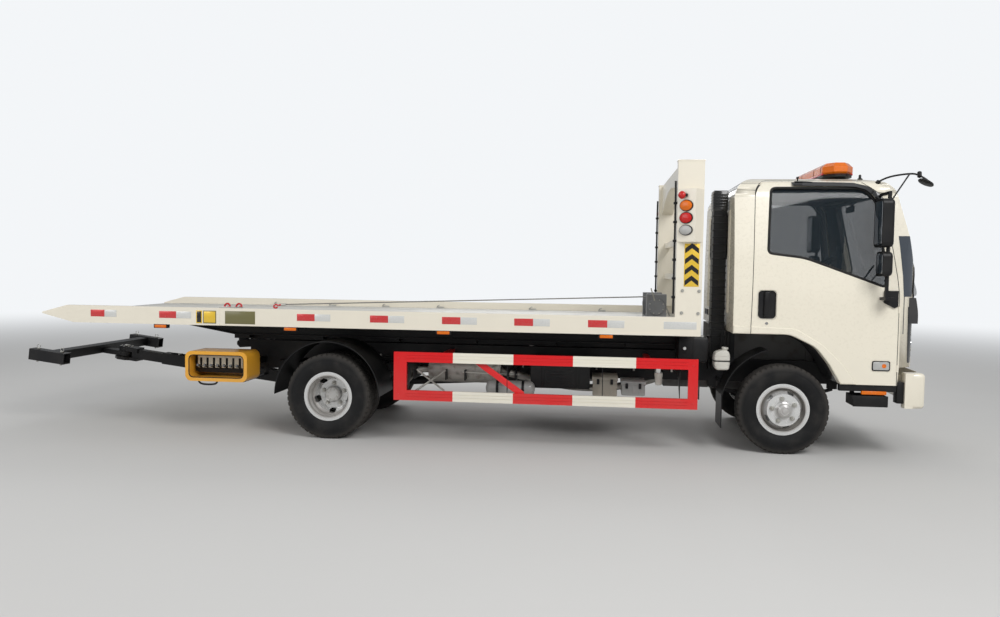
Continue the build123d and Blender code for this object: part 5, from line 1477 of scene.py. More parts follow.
@dataclass
class Tyres(Assembly):
    """Six tyres with zigzag grooves, shoulder notches and moulded wall rings.

    Attributes:
        steps: how many slices go round a tyre.
        zigzag: how far the grooves swing to each side.
        notch: how deep the shoulder notches are.
    """

    steps: int = 144
    zigzag: float = 0.0022
    notch: float = 0.007
    half_section: tuple[Point2, ...] = (
        (0.0755, 0.206),
        (0.0790, 0.216),
        (0.0800, 0.230),
        (0.0860, 0.238),
        (0.0890, 0.246),
        (0.0905, 0.2475),
        (0.0985, 0.2660),
        (0.1045, 0.2850),
        (0.1070, 0.3040),
        (0.1062, 0.3250),
        (0.1036, 0.3440),
        (0.1046, 0.3455),
        (0.1042, 0.3500),
        (0.1028, 0.3512),
        (0.0990, 0.3690),
        (0.0945, 0.3840),
        (0.0880, 0.3945),
        (0.0790, 0.4010),
        (0.0570, 0.4022),
        (0.0545, 0.3915),
        (0.0475, 0.3915),
        (0.0450, 0.4024),
        (0.0225, 0.4024),
        (0.0200, 0.3915),
        (0.0130, 0.3915),
        (0.0105, 0.4024),
    )

    def one(self, name: str, x: float, y: float) -> bpy.types.Object:
        """One tyre about the line through (x, y) at axle height."""
        right = list(self.half_section)
        left = [(-along, radius) for along, radius in reversed(right)]
        tyre = spun(name, right + left, (x, y, TYRE_RADIUS), steps=self.steps)
        step = 2 * math.pi / self.steps
        for vert in tyre.data.vertices:
            dx, dz = vert.co.x - x, vert.co.z - TYRE_RADIUS
            if math.hypot(dx, dz) > 0.3905 and abs(vert.co.y - y) < 0.0580:
                phase = round(math.atan2(dz, dx) / step) % 4
                vert.co.y += self.zigzag * (1, 0, -1, 0)[phase]

        def in_notch(middle: Vector, normal: Vector) -> bool:
            """Whether a face lies where a shoulder notch is cut."""
            dx, dz = middle.x - x, middle.z - TYRE_RADIUS
            phase = math.floor(math.atan2(dz, dx) / step) % 3
            return (
                phase == 0
                and 0.388 < math.hypot(dx, dz) < 0.4020
                and 0.060 < abs(middle.y - y) < 0.0935
            )

        pick(tyre, in_notch)
        bpy.ops.mesh.inset(thickness=0.0012, use_even_offset=False)
        bpy.ops.transform.shrink_fatten(value=-self.notch)
        leave()
        return tyre

    def build(self) -> None:
        """Makes one tyre and copies it to every place."""
        front = self.one("tyre_front_left", FRONT_AXLE_X, 0.840)
        flip = Matrix.Scale(-1, 4, (0, 1, 0))
        for side in Side:
            tyre = front if side is Side.LEFT else copy_to(front, "tyre_front_right", flip)
            self.dress(tyre, Finish.FRONT_TYRE, "tyre_black", f"front_wheel_{side.word}", 28.0)
            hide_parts(f"front_tyre_{side.word}")
        back = REAR_AXLE_X - FRONT_AXLE_X
        for side in Side:
            for word, y in (("outer", 0.935), ("inner", 0.695)):
                move = Matrix.Translation((back, side.value * y - 0.840, 0.0))
                twin = copy_to(front, f"tyre_rear_{word}_{side.word}", move)
                self.dress(twin, Finish.REAR_TYRE, "tyre_black", f"rear_wheels_{side.word}", 28.0)
                if word == "outer":
                    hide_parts(f"rear_tyres_{side.word}")


@dataclass
class WheelFittings(Assembly):
    """Nuts, studs, hub caps, flange bolts and valves on the wheels.

    Attributes:
        stud_circle: the radius that the wheel nuts stand on.
        nut_radius: a nut's radius over its corners.
    """

    stud_circle: float = 0.104
    nut_radius: float = 0.0195
    front_angles: tuple[float, ...] = (100.0, 28.0, -44.0, -116.0, 172.0)
    rear_angles: tuple[float, ...] = (90.0, 18.0, -54.0, -126.0, 162.0)

    def nut(self, name: str, x: float, z: float, y: float, out: float) -> bpy.types.Object:
        """A wheel nut on its washer, with the stud's end standing out of it."""
        washer = rod(name, (x, y, z), (x, y + out * 0.004, z), self.nut_radius * 1.12, 24, 0.001)
        body = rod(
            name, (x, y + out * 0.004, z), (x, y + out * 0.024, z), self.nut_radius, 6, 0.0018
        )
        stud = rod(name, (x, y + out * 0.02, z), (x, y + out * 0.037, z), 0.0095, 16, 0.0018)
        return joined(name, [washer, body, stud])

    def ring(
        self, name: str, axle_x: float, y: float, out: float, angles: Sequence[float]
    ) -> bpy.types.Object:
        """A ring of wheel nuts round an axle."""
        nuts = []
        for angle in angles:
            x = axle_x + self.stud_circle * math.cos(math.radians(angle))
            z = TYRE_RADIUS + self.stud_circle * math.sin(math.radians(angle))
            nuts.append(self.nut(name, x, z, y, out))
        return joined(name, nuts)

    def hub_cap(self, name: str, out: float) -> bpy.types.Object:
        """The front hub's grease cap with its stepped rings."""
        rings = (
            (0.000, 0.056),
            (0.004, 0.057),
            (0.008, 0.053),
            (0.009, 0.048),
            (0.013, 0.045),
            (0.016, 0.038),
            (0.012, 0.034),
            (0.012, 0.026),
            (0.018, 0.022),
            (0.020, 0.014),
            (0.020, 0.0),
        )
        profile = [(0.0, 0.0)] + [(out * along, radius) for along, radius in rings]
        return spun(
            name, profile, (FRONT_AXLE_X, out * (0.840 + 0.114 + 0.0402), TYRE_RADIUS), steps=40
        )

    def valve(self, name: str, axle_x: float, y: float, out: float) -> bpy.types.Object:
        """A bent valve stem beside the disc."""
        x, z = axle_x + 0.150, TYRE_RADIUS - 0.062
        return pipe(
            name,
            [
                (x + 0.012, y - out * 0.01, z),
                (x, y + out * 0.02, z),
                (x - 0.018, y + out * 0.045, z + 0.006),
            ],
            0.0042,
            8,
        )

    def build(self) -> None:
        """Fits every wheel."""
        for side in Side:
            out = float(side.value)
            word = side.word
            front, rear = f"front_wheel_{word}", f"rear_wheels_{word}"
            nuts = self.ring(
                f"nuts_front_{word}", FRONT_AXLE_X, out * 0.954, out, self.front_angles
            )
            self.dress(nuts, Finish.ZINC, "rod_chrome", front, 30.0)
            cap = self.hub_cap(f"hub_cap_{word}", out)
            self.dress(cap, Finish.FRONT_WHEEL, "wheel_grey", front)
            nuts = self.ring(f"nuts_rear_{word}", REAR_AXLE_X, out * 0.832, out, self.rear_angles)
            self.dress(nuts, Finish.ZINC, "rod_chrome", rear, 30.0)
            bolts = []
            for count in range(8):
                angle = math.radians(22.5 + 45 * count)
                x = REAR_AXLE_X + 0.048 * math.cos(angle)
                z = TYRE_RADIUS + 0.048 * math.sin(angle)
                start = (x, out * 0.8968, z)
                bolts.append(rod("bolt", start, (x, out * 0.907, z), 0.0085, 6, 0.001))
            self.dress(joined(f"flange_bolts_{word}", bolts), Finish.ZINC, "rod_chrome", rear, 30.0)
            valve = self.valve(f"valve_front_{word}", FRONT_AXLE_X, out * 0.93, out)
            self.dress(valve, Finish.STEEL, "rod_chrome", front)
            valve = self.valve(f"valve_rear_{word}", REAR_AXLE_X, out * 0.855, out)
            self.dress(valve, Finish.STEEL, "rod_chrome", rear)
# Bed


@dataclass
class BedTrim(Assembly):
    """Reflective tapes, side markers, blank plates and lashing rings of the bed.

    Attributes:
        tape_z: the tapes' lowest and highest edge.
        red_starts: where each red tape begins; a silver one follows it.
        marker_x: the middles of the amber side markers.
        ring_x: the middles of the lashing rings along each curb.
    """

    body: str = "bed"
    tape_z: Point2 = (1.120, 1.185)
    tape_sheet: float = 0.0012
    red_length: float = 0.170
    silver_length: float = 0.150
    red_starts: tuple[float, ...] = (-2.750, -1.398, -0.703, -0.033, 0.626, 1.285)
    marker_x: tuple[float, ...] = (-2.743, -1.467, -0.022, 1.448)
    marker_half: float = 0.070
    ring_x: tuple[float, ...] = (-2.465, -1.779, -1.128, -0.470, 0.620, 1.420)
    ring_radius: float = 0.034
    plates: tuple[tuple[str, float, float, Finish, Finish], ...] = (
        ("plate_small", -2.381, -2.323, Finish.YELLOW_TAPE, Finish.TRIM),
        ("plate_square", -2.312, -2.184, Finish.OLIVE, Finish.YELLOW_TAPE),
        ("plate_long", -2.096, -1.803, Finish.OLIVE, Finish.OLIVE),
    )

    def tape(self, name: str, spans: Sequence[Point2], finish: Finish) -> None:
        """Flat tapes along both rails, as one piece a side."""
        low, high = self.tape_z
        skin = BED_SIDE_Y
        pieces = [
            block(name, (start, -skin - self.tape_sheet, low), (end, -skin, high), 0.0004)
            for start, end in spans
        ]
        self.pair(joined(f"{name}_right", pieces), finish, "bed_cream")

    def tapes(self) -> None:
        """The row of red and silver tapes, and the pale patch by the mast."""
        reds = [(start, start + self.red_length) for start in self.red_starts]
        silvers = [(end, end + self.silver_length) for _, end in reds]
        self.tape("tape_red", [(-3.443, -3.302)] + reds, Finish.RED_TAPE)
        self.tape(
            "tape_silver", [(-3.302, -3.180)] + silvers + [(1.947, 2.230)], Finish.SILVER_TAPE
        )

    def markers(self) -> None:
        """Amber side markers in black housings, hung under both rails."""
        for number, x in enumerate(self.marker_x):
            low, high = x - self.marker_half, x + self.marker_half
            outer = BED_SIDE_Y - 0.012
            base = block(
                f"marker_case_{number}_right", (low, -outer, 1.022), (high, -1.095, 1.060), 0.003
            )
            self.pair(base, Finish.BLACK, "black_plastic")
            lens = block(
                f"marker_lens_{number}_right",
                (low + 0.012, -outer - 0.009, 1.026),
                (high - 0.012, -outer + 0.001, 1.055),
                0.006,
            )
            self.pair(lens, Finish.AMBER_LENS, "lamp_amber")

    def blank_plates(self) -> None:
        """Blank plates with a raised border on the near rail."""
        skin = -BED_SIDE_Y
        for name, low, high, border, face in self.plates:
            rim = block(name + "_rim", (low, skin - 0.0022, 1.078), (high, skin, 1.198), 0.0006)
            self.dress(rim, border, "bed_cream")
            inner = block(
                name, (low + 0.008, skin - 0.003, 1.086), (high - 0.008, skin, 1.190), 0.0006
            )
            self.dress(inner, face, "bed_cream")
        seam = rod(
            "rail_seam", (-2.150, skin - 0.0005, 1.063), (-2.150, skin - 0.0005, 1.223), 0.0028, 10
        )
        self.dress(seam, Finish.CREAM, "bed_cream")

    def ring(self, name: str, x: float) -> None:
        """A hinged lashing ring on its plate, beside the curb."""
        y = BED_SIDE_Y - 0.060 - 0.055
        plate = block(
            name + "_plate_right",
            (x - 0.045, -y - 0.030, DECK_TOP),
            (x + 0.045, -y + 0.030, DECK_TOP + 0.006),
            0.002,
        )
        bow = spun(
            name + "_bow_right",
            [(0.006 * math.cos(t), self.ring_radius + 0.006 * math.sin(t)) for t in CIRCLE],
            (x, -y, DECK_TOP + 0.010),
            Axis.Y,
            18,
            math.pi,
        )
        tilt = Matrix.Rotation(math.radians(-38), 4, "X")
        spot = Matrix.Translation((x, -y, DECK_TOP + 0.010))
        half = Matrix.Rotation(math.radians(-90), 4, "Y")
        bow.data.transform(spot @ tilt @ half @ spot.inverted())
        clip = rod(
            name + "_clip_right",
            (x - 0.043, -y, DECK_TOP + 0.010),
            (x + 0.043, -y, DECK_TOP + 0.010),
            0.009,
            14,
        )
        self.pair(joined(name + "_right", [plate, bow, clip]), Finish.ZINC, "deck_grey")

    def red_hooks(self) -> None:
        """Two red grab hooks hooked over the near rail's lashing eye."""
        for number, x in enumerate((-2.125, -2.010)):
            bend = [
                (x, -1.100, 1.236),
                (x + 0.010, -1.104, 1.262),
                (x + 0.040, -1.106, 1.268),
                (x + 0.058, -1.104, 1.248),
                (x + 0.048, -1.100, 1.232),
                (x + 0.026, -1.096, 1.234),
            ]
            self.dress(pipe(f"grab_hook_{number}", bend, 0.009, 12), Finish.HOOK_RED, "bed_cream")
        eye = block("hook_eye", (-2.175, -1.122, 1.225), (-1.945, -1.086, 1.237), 0.003)
        self.dress(eye, Finish.STEEL, "bed_cream")

    def tail_edge(self) -> None:
        """A wear strip of bare steel across the tail's lip."""
        lip_x = REAR_AXLE_X - 2.8 + 0.034
        strip = block(
            "tail_wear_strip", (lip_x, -1.088, 1.141), (lip_x + 0.050, 1.088, 1.1445), 0.001
        )
        self.dress(strip, Finish.STEEL, "deck_grey")

    def build(self) -> None:
        """Makes everything on the bed's rails and deck edge."""
        self.tapes()
        self.markers()
        self.blank_plates()
        for number, x in enumerate(self.ring_x):
            self.ring(f"lashing_ring_{number}", x)
        self.red_hooks()
        self.tail_edge()


@dataclass
class MastTrim(Assembly):
    """Lamps, chevrons, bolts and the cable run of the mast.

    Attributes:
        slant: the turn of the lamp box's rear face, in radians.
        face: the middle of that face on the right side.
        lamps: height, half width, half height and finish of each lens.
        chevron_x: the chevron panel's edges.
        chevron_z: its bottom and top.
    """

    body: str = "bed"
    slant: float = -math.atan2(0.085, 0.146)
    face: Point2 = (2.1145, -1.1925)
    lamps: tuple[tuple[str, float, float, float, Finish], ...] = (
        ("amber", 2.198, 0.055, 0.044, Finish.AMBER_LENS),
        ("red", 2.092, 0.055, 0.044, Finish.RED_LENS),
        ("clear", 1.986, 0.055, 0.040, Finish.CLEAR_LENS),
    )
    chevron_x: Point2 = (2.110, 2.240)
    chevron_z: Point2 = (1.495, 1.871)
    chevron_count: int = 4
    bolts: tuple[Point2, ...] = ((2.100, 1.459), (2.244, 1.457), (2.097, 1.264), (2.239, 1.261))
    top: float = 2.595

    def on_face(self, piece: bpy.types.Object, z: float) -> bpy.types.Object:
        """Moves a piece drawn about the origin, facing -Y, onto the slanted face."""
        place = Matrix.Translation((*self.face, z)) @ Matrix.Rotation(self.slant, 4, "Z")
        piece.data.transform(place)
        return piece

    def lamp(self, name: str, z: float, wide: float, high: float, finish: Finish) -> None:
        """An oval lens in a black ring, domed, with moulded flutes across it."""
        ring_shape = [(1.14 * wide * math.cos(t), 1.16 * high * math.sin(t)) for t in OVAL]
        ring = outline_plate(f"mast_{name}_ring_right", ring_shape, Axis.Y, 0.0, -0.010, 0.003)
        self.pair(self.on_face(ring, z), Finish.BLACK, "black_plastic")
        lens = outline_plate(
            f"mast_{name}_lens_right",
            [(wide * math.cos(t), high * math.sin(t)) for t in OVAL],
            Axis.Y,
            -0.004,
            -0.014,
        )
        pick(lens, lambda middle, normal: normal.y < -0.9)
        for step in (0.20, 0.28, 0.36):
            bpy.ops.mesh.inset(thickness=wide * step * 0.62, depth=0.0035 * (1.2 - step))
        leave()
        self.pair(
            self.on_face(lens, z), finish, "lamp_red" if finish is Finish.RED_LENS else "lamp_amber"
        )

    def top_lamp(self) -> None:
        """The small red lamp on its bracket above the oval ones."""
        arm = block("mast_lamp_arm_right", (-0.045, -0.030, -0.012), (0.010, 0.004, 0.012), 0.003)
        self.pair(self.on_face(arm, 2.288), Finish.BLACK, "black_plastic")
        body = spun(
            "mast_top_lamp_right",
            [
                (0.0, 0.0),
                (0.0, 0.030),
                (-0.010, 0.034),
                (-0.022, 0.031),
                (-0.034, 0.018),
                (-0.038, 0.0),
            ],
            (-0.030, -0.026, 0.0),
            steps=32,
        )
        self.pair(self.on_face(body, 2.288), Finish.RED_LENS, "lamp_red")

    def chevrons(self) -> None:
        """A yellow panel with black chevrons that point up, on each post's outer side."""
        (left, right), (low, high) = self.chevron_x, self.chevron_z
        skin = -BED_SIDE_Y
        panel = block(
            "chevron_panel_right", (left, skin - 0.0015, low), (right, skin, high), 0.0005
        )
        self.pair(panel, Finish.YELLOW_TAPE, "bed_cream")
        pitch = (high - low) / self.chevron_count
        middle, rise, band = (left + right) / 2, 0.046, 0.044
        arrows = []
        for number in range(self.chevron_count):
            foot = low + 0.008 + number * pitch
            shape = [
                (left + 0.006, foot),
                (middle, foot + rise),
                (right - 0.006, foot),
                (right - 0.006, foot + band),
                (middle, foot + band + rise),
                (left + 0.006, foot + band),
            ]
            arrows.append(outline_plate("chevron", shape, Axis.Y, skin - 0.0012, -0.0012))
        self.pair(joined("chevrons_right", arrows), Finish.TRIM, "bed_cream")

    def fixings(self) -> None:
        """Bolt heads with washers on the posts, caps on their tops and the cable run's clamps."""
        skin = -BED_SIDE_Y
        for number, (x, z) in enumerate(self.bolts):
            washer = rod(
                f"post_washer_{number}", (x, skin, z), (x, skin - 0.003, z), 0.015, 20, 0.0006
            )
            head = rod(
                f"post_bolt_{number}", (x, skin - 0.003, z), (x, skin - 0.011, z), 0.0105, 6, 0.001
            )
            self.pair(joined(f"post_bolt_{number}_right", [washer, head]), Finish.ZINC, "bed_cream")
        back = BED_FRONT_X - 0.226
        cap = block(
            "post_cap_right",
            (back - 0.004, skin - 0.003, self.top - 0.010),
            (BED_FRONT_X + 0.004, -BED_SIDE_Y + 0.098, self.top + 0.004),
            0.003,
        )
        self.pair(cap, Finish.CREAM, "bed_cream")
        path = [
            (back - 0.014, -1.105, 1.255),
            (back - 0.014, -1.105, 2.30),
            (back - 0.014, -1.080, 2.42),
        ]
        self.pair(pipe("mast_cable_right", path, 0.009, 12, False), Finish.HOSE, "black_plastic")
        for number in range(6):
            z = 1.40 + number * 0.165
            clamp = block(
                f"cable_clamp_{number}_right",
                (back - 0.030, -1.128, z - 0.011),
                (back, -1.082, z + 0.011),
                0.004,
            )
            self.pair(clamp, Finish.BLACK, "black_plastic")

    def welds(self) -> None:
        """Weld beads where the head beam and the cross bars meet the posts."""
        inner = -BED_SIDE_Y + 0.095
        for number, z in enumerate((DECK_TOP + 0.42, DECK_TOP + 0.76)):
            corners = [(dx, dz) for dx in (-0.150, -0.090) for dz in (-0.030, 0.030)]
            beads = [
                rod(
                    "bead",
                    (BED_FRONT_X + dx, inner + 0.001, z - 0.030),
                    (BED_FRONT_X + dx, inner + 0.001, z + 0.030),
                    0.0035,
                    8,
                )
                for dx, dz in corners
                if dz > 0
            ]
            self.pair(joined(f"bar_weld_{number}_right", beads), Finish.CREAM, "bed_cream")

    def build(self) -> None:
        """Makes everything on the mast."""
        for name, z, wide, high, finish in self.lamps:
            self.lamp(name, z, wide, high, finish)
        self.top_lamp()
        self.chevrons()
        self.fixings()
        self.welds()


@dataclass
class WinchDress(Assembly):
    """The rope on its drum, the taut run along the deck, the hook, and the winch's own detail.

    Attributes:
        x: the drum's place along the truck.
        z: its height.
        drum: the radius of the bare drum.
        rope: the rope's radius.
        hook_x: where the rope ends and the hook begins.
    """

    body: str = "bed"
    x: float = BED_FRONT_X - 0.330
    z: float = DECK_TOP + 0.140
    drum: float = 0.070
    rope: float = 0.006
    half: float = 0.216
    hook_x: float = REAR_AXLE_X - 0.860

    def layers(self) -> None:
        """The rope's turns side by side on the drum."""
        profile: list[Point2] = [(-self.half, self.drum - 0.004)]
        turns = int(self.half / self.rope)
        for turn in range(turns):
            middle = -self.half + (2 * turn + 1) * self.rope
            for t in (math.pi * 0.86, math.pi * 0.5, math.pi * 0.14):
                profile.append(
                    (middle + self.rope * math.cos(t), self.drum + self.rope * math.sin(t))
                )
        profile.append((self.half, self.drum - 0.004))
        coil = spun("rope_turns", profile, (self.x, 0.0, self.z), steps=56)
        self.dress(coil, Finish.ROPE, "rope_steel", angle=70.0)

    def run(self) -> None:
        """The taut rope and its hook, in place of the plain CAD ones."""
        start = (self.x, 0.0, self.z + self.drum + self.rope + 0.0003)
        end = (self.hook_x, 0.0, DECK_TOP + 0.060)
        line = rod("rope_run", start, end, self.rope, 16, 0.0)
        self.dress(line, Finish.ROPE, "rope_steel", angle=60.0)
        x, z = self.hook_x, DECK_TOP + 0.058
        ferrule = rod(
            "rope_ferrule", (x + 0.050, 0.0, z + 0.004), (x - 0.004, 0.0, z), 0.0125, 20, 0.003
        )
        self.dress(ferrule, Finish.ZINC, "rope_steel")
        shank = pipe(
            "hook_shank",
            [(x, 0.0, z), (x - 0.020, 0.0, z - 0.002), (x - 0.034, 0.0, z - 0.008)],
            0.010,
            14,
        )
        bowl = [
            (x - 0.030, z - 0.006),
            (x - 0.052, z + 0.010),
            (x - 0.078, z + 0.006),
            (x - 0.094, z - 0.014),
            (x - 0.090, z - 0.038),
            (x - 0.068, z - 0.048),
            (x - 0.046, z - 0.040),
            (x - 0.042, z - 0.026),
            (x - 0.056, z - 0.024),
            (x - 0.070, z - 0.028),
            (x - 0.078, z - 0.020),
            (x - 0.074, z - 0.008),
            (x - 0.058, z - 0.006),
            (x - 0.044, z - 0.016),
        ]
        plate = outline_plate("hook_bowl", rounded(bowl, 0.010, 3), Axis.Y, -0.011, 0.022, 0.004)
        latch = block(
            "hook_latch", (x - 0.062, -0.006, z - 0.026), (x - 0.040, 0.006, z - 0.021), 0.002
        )
        self.dress(joined("winch_hook", [plate, shank, latch]), Finish.HOOK_RED, "winch_grey")
        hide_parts("winch_rope")

    def case(self) -> None:
        """Gear case covers with their bolts, the motor, the clutch lever and two oil lines."""
        for side in Side:
            sign, name = side.value, side.word
            outer = sign * 0.360
            cover = spun(
                f"gear_cover_{name}",
                [
                    (0.0, 0.0),
                    (0.0, 0.084),
                    (sign * 0.008, 0.084),
                    (sign * 0.014, 0.078),
                    (sign * 0.014, 0.0),
                ],
                (self.x, outer, self.z - 0.010),
                steps=40,
            )
            self.dress(cover, Finish.WINCH, "winch_grey")
            bolts = []
            for step in range(8):
                angle = math.radians(step * 45 + 22)
                bx, bz = self.x + 0.069 * math.cos(angle), self.z - 0.010 + 0.069 * math.sin(angle)
                bolts.append(
                    rod(
                        "cover_bolt",
                        (bx, outer + sign * 0.014, bz),
                        (bx, outer + sign * 0.021, bz),
                        0.0065,
                        6,
                    )
                )
            self.dress(joined(f"cover_bolts_{name}", bolts), Finish.ZINC, "winch_grey")
        motor = spun(
            "winch_motor",
            [
                (0.0, 0.0),
                (0.0, 0.046),
                (0.010, 0.050),
                (0.088, 0.050),
                (0.100, 0.042),
                (0.100, 0.0),
            ],
            (self.x, 0.374, self.z - 0.010),
            steps=36,
        )
        self.dress(motor, Finish.CAST, "winch_grey")
        lever = pipe(
            "clutch_lever",
            [
                (self.x - 0.02, -0.372, self.z + 0.05),
                (self.x - 0.04, -0.40, self.z + 0.11),
                (self.x - 0.06, -0.40, self.z + 0.17),
            ],
            0.006,
            10,
        )
        self.dress(lever, Finish.ZINC, "winch_grey")
        for number, dx in enumerate((-0.022, 0.022)):
            path = [
                (self.x + dx, 0.430, self.z + 0.030),
                (self.x + dx, 0.430, self.z + 0.085),
                (self.x + dx + 0.05, 0.470, self.z + 0.090),
                (self.x + 0.16, 0.500, self.z - 0.020),
                (self.x + 0.20, 0.500 + dx, DECK_TOP + 0.002),
            ]
            self.dress(pipe(f"winch_line_{number}", path, 0.0085, 12), Finish.ZINC, "winch_grey")

    def build(self) -> None:
        """Makes the rope, the hook and the winch's detail."""
        self.layers()
        self.run()
        self.case()


# Behind the side guard


@dataclass
class GuardTrim(Assembly):
    """The guard's slanted struts and what hangs on the frame behind it.

    Attributes:
        inner_y: the guard's inner face.
        rail_y: the chassis rail's outer face.
    """

    inner_y: float = 1.098
    rail_y: float = 0.425

    def strut(self) -> None:
        """A slanted flat bar behind the guard with a short upright foot."""
        outline = [
            (0.205, 0.805),
            (0.300, 0.805),
            (0.720, 0.515),
            (0.720, 0.440),
            (0.650, 0.440),
            (0.650, 0.492),
        ]
        bar = outline_plate(
            "guard_strut_right", outline, Axis.Y, -self.inner_y + 0.0005, 0.010, 0.0015
        )
        self.pair(bar, Finish.RED, "guard_red")
        for number, (x, z) in enumerate(
            ((-0.442, 0.800), (-0.442, 0.465), (2.216, 0.800), (2.216, 0.465))
        ):
            bolt = rod(
                f"guard_bolt_{number}_right", (x, -1.1295, z), (x, -1.1335, z), 0.010, 16, 0.001
            )
            self.pair(bolt, Finish.RED, "guard_red")

    def hangers(self) -> None:
        """Folded brackets that carry the guard from the frame."""
        for number, x in enumerate((-0.36, 0.56, 1.42, 2.10)):
            outline = [
                (self.inner_y, 0.50),
                (self.inner_y, 0.80),
                (self.rail_y, 0.78),
                (self.rail_y, 0.70),
                (0.95, 0.66),
            ]
            web = outline_plate(
                f"guard_hanger_{number}_right",
                [(-y, z) for y, z in outline],
                Axis.X,
                x,
                0.007,
                0.0012,
            )
            self.pair(web, Finish.FRAME, "chassis_black")

    def air_tank(self) -> None:
        """A lying pressure tank with domed ends and two straps."""
        x, y, z, radius = 0.34, -0.86, 0.512, 0.072
        profile = [(0.0, 0.0), (0.0, 0.018), (0.008, 0.044), (0.026, 0.064), (0.048, radius)]
        profile += [(0.412, radius), (0.434, 0.064), (0.452, 0.044), (0.460, 0.018), (0.460, 0.0)]
        tank = spun("air_tank", profile, (x, y, z), Axis.X, 40)
        self.dress(tank, Finish.GREY, "tank_metal", angle=50.0)
        pieces = []
        for offset in (0.10, 0.34):
            ring = [
                (offset, radius),
                (offset, radius + 0.004),
                (offset + 0.024, radius + 0.004),
                (offset + 0.024, radius),
            ]
            pieces.append(spun("tank_strap", ring, (x, y, z), Axis.X, 40))
            low = (x + offset, y + radius - 0.004, z + 0.010)
            pieces.append(
                block("tank_arm", low, (x + offset + 0.024, -self.rail_y, z + 0.022), 0.002)
            )
            pieces.append(
                block(
                    "tank_leg",
                    (x + offset, -self.rail_y - 0.012, z + 0.010),
                    (x + offset + 0.024, -self.rail_y, 0.62),
                    0.002,
                )
            )
        self.dress(joined("air_tank_straps", pieces), Finish.FRAME, "chassis_black")
        cock = rod(
            "tank_drain",
            (x + 0.23, y, z - radius - 0.028),
            (x + 0.23, y, z - radius + 0.004),
            0.009,
            12,
        )
        self.dress(cock, Finish.ZINC, "cast_metal")

    def case(self, name: str, low: Point, high: Point, finish: Finish) -> None:
        """A pressed steel case with a lid, ribs and latches, hung from the rail.

        Args:
            name: its name.
            low: its lowest corner.
            high: its highest corner.
            finish: its paint.
        """
        body = block(name, low, high, 0.012)
        lid = block(
            f"{name}_lid",
            (low[0] - 0.006, low[1] - 0.006, high[2] - 0.030),
            (high[0] + 0.006, high[1], high[2] + 0.006),
            0.005,
        )
        ribs = [lid]
        for step in range(1, 4):
            x = low[0] + (high[0] - low[0]) * step / 4
            ribs.append(
                block(
                    "case_rib",
                    (x - 0.010, low[1] - 0.004, low[2] + 0.020),
                    (x + 0.010, low[1] + 0.004, high[2] - 0.045),
                    0.002,
                )
            )
        self.dress(
            joined(f"{name}_shell", [body, *ribs]),
            finish,
            "box_yellow" if finish is Finish.YELLOW else "tank_metal",
        )
        latches = []
        for t in (0.22, 0.78):
            x = low[0] + (high[0] - low[0]) * t
            latches.append(
                block(
                    "case_latch",
                    (x - 0.012, low[1] - 0.016, high[2] - 0.060),
                    (x + 0.012, low[1] - 0.004, high[2] - 0.012),
                    0.003,
                )
            )
        for t in (0.2, 0.8):
            x = low[0] + (high[0] - low[0]) * t
            latches.append(
                block(
                    "case_arm",
                    (x - 0.015, high[1] - 0.01, high[2] - 0.030),
                    (x + 0.015, -self.rail_y, high[2] - 0.020),
                    0.002,
                )
            )
        self.dress(joined(f"{name}_fittings", latches), Finish.FRAME, "chassis_black")

    def strainer(self) -> None:
        """A fuel filter with a white bowl on a small bracket."""
        x, y = 1.932, -0.90
        head = spun(
            "filter_head",
            [
                (0.0, 0.0),
                (0.0, 0.036),
                (0.012, 0.040),
                (0.040, 0.040),
                (0.046, 0.034),
                (0.046, 0.0),
            ],
            (x, y, 0.700),
            Axis.Z,
            28,
        )
        self.dress(head, Finish.CHROME, "cast_metal")
        bowl = spun(
            "filter_bowl",
            [
                (0.0, 0.0),
                (0.0, 0.020),
                (0.008, 0.030),
                (0.075, 0.034),
                (0.080, 0.037),
                (0.110, 0.037),
                (0.110, 0.0),
            ],
            (x, y, 0.588),
            Axis.Z,
            28,
        )
        self.dress(bowl, Finish.BOTTLE, "tank_metal")
        arm = block(
            "filter_arm", (x - 0.018, y + 0.030, 0.722), (x + 0.018, -self.rail_y, 0.730), 0.002
        )
        self.dress(arm, Finish.FRAME, "chassis_black")
        for number, dx in enumerate((-0.02, 0.02)):
            path = [
                (x + dx, y + 0.02, 0.744),
                (x + dx, y + 0.03, 0.775),
                (x + dx * 3, y + 0.20, 0.770),
                (x + dx * 5, -self.rail_y - 0.002, 0.72),
            ]
            self.dress(pipe(f"filter_line_{number}", path, 0.006, 10), Finish.HOSE, "black_plastic")

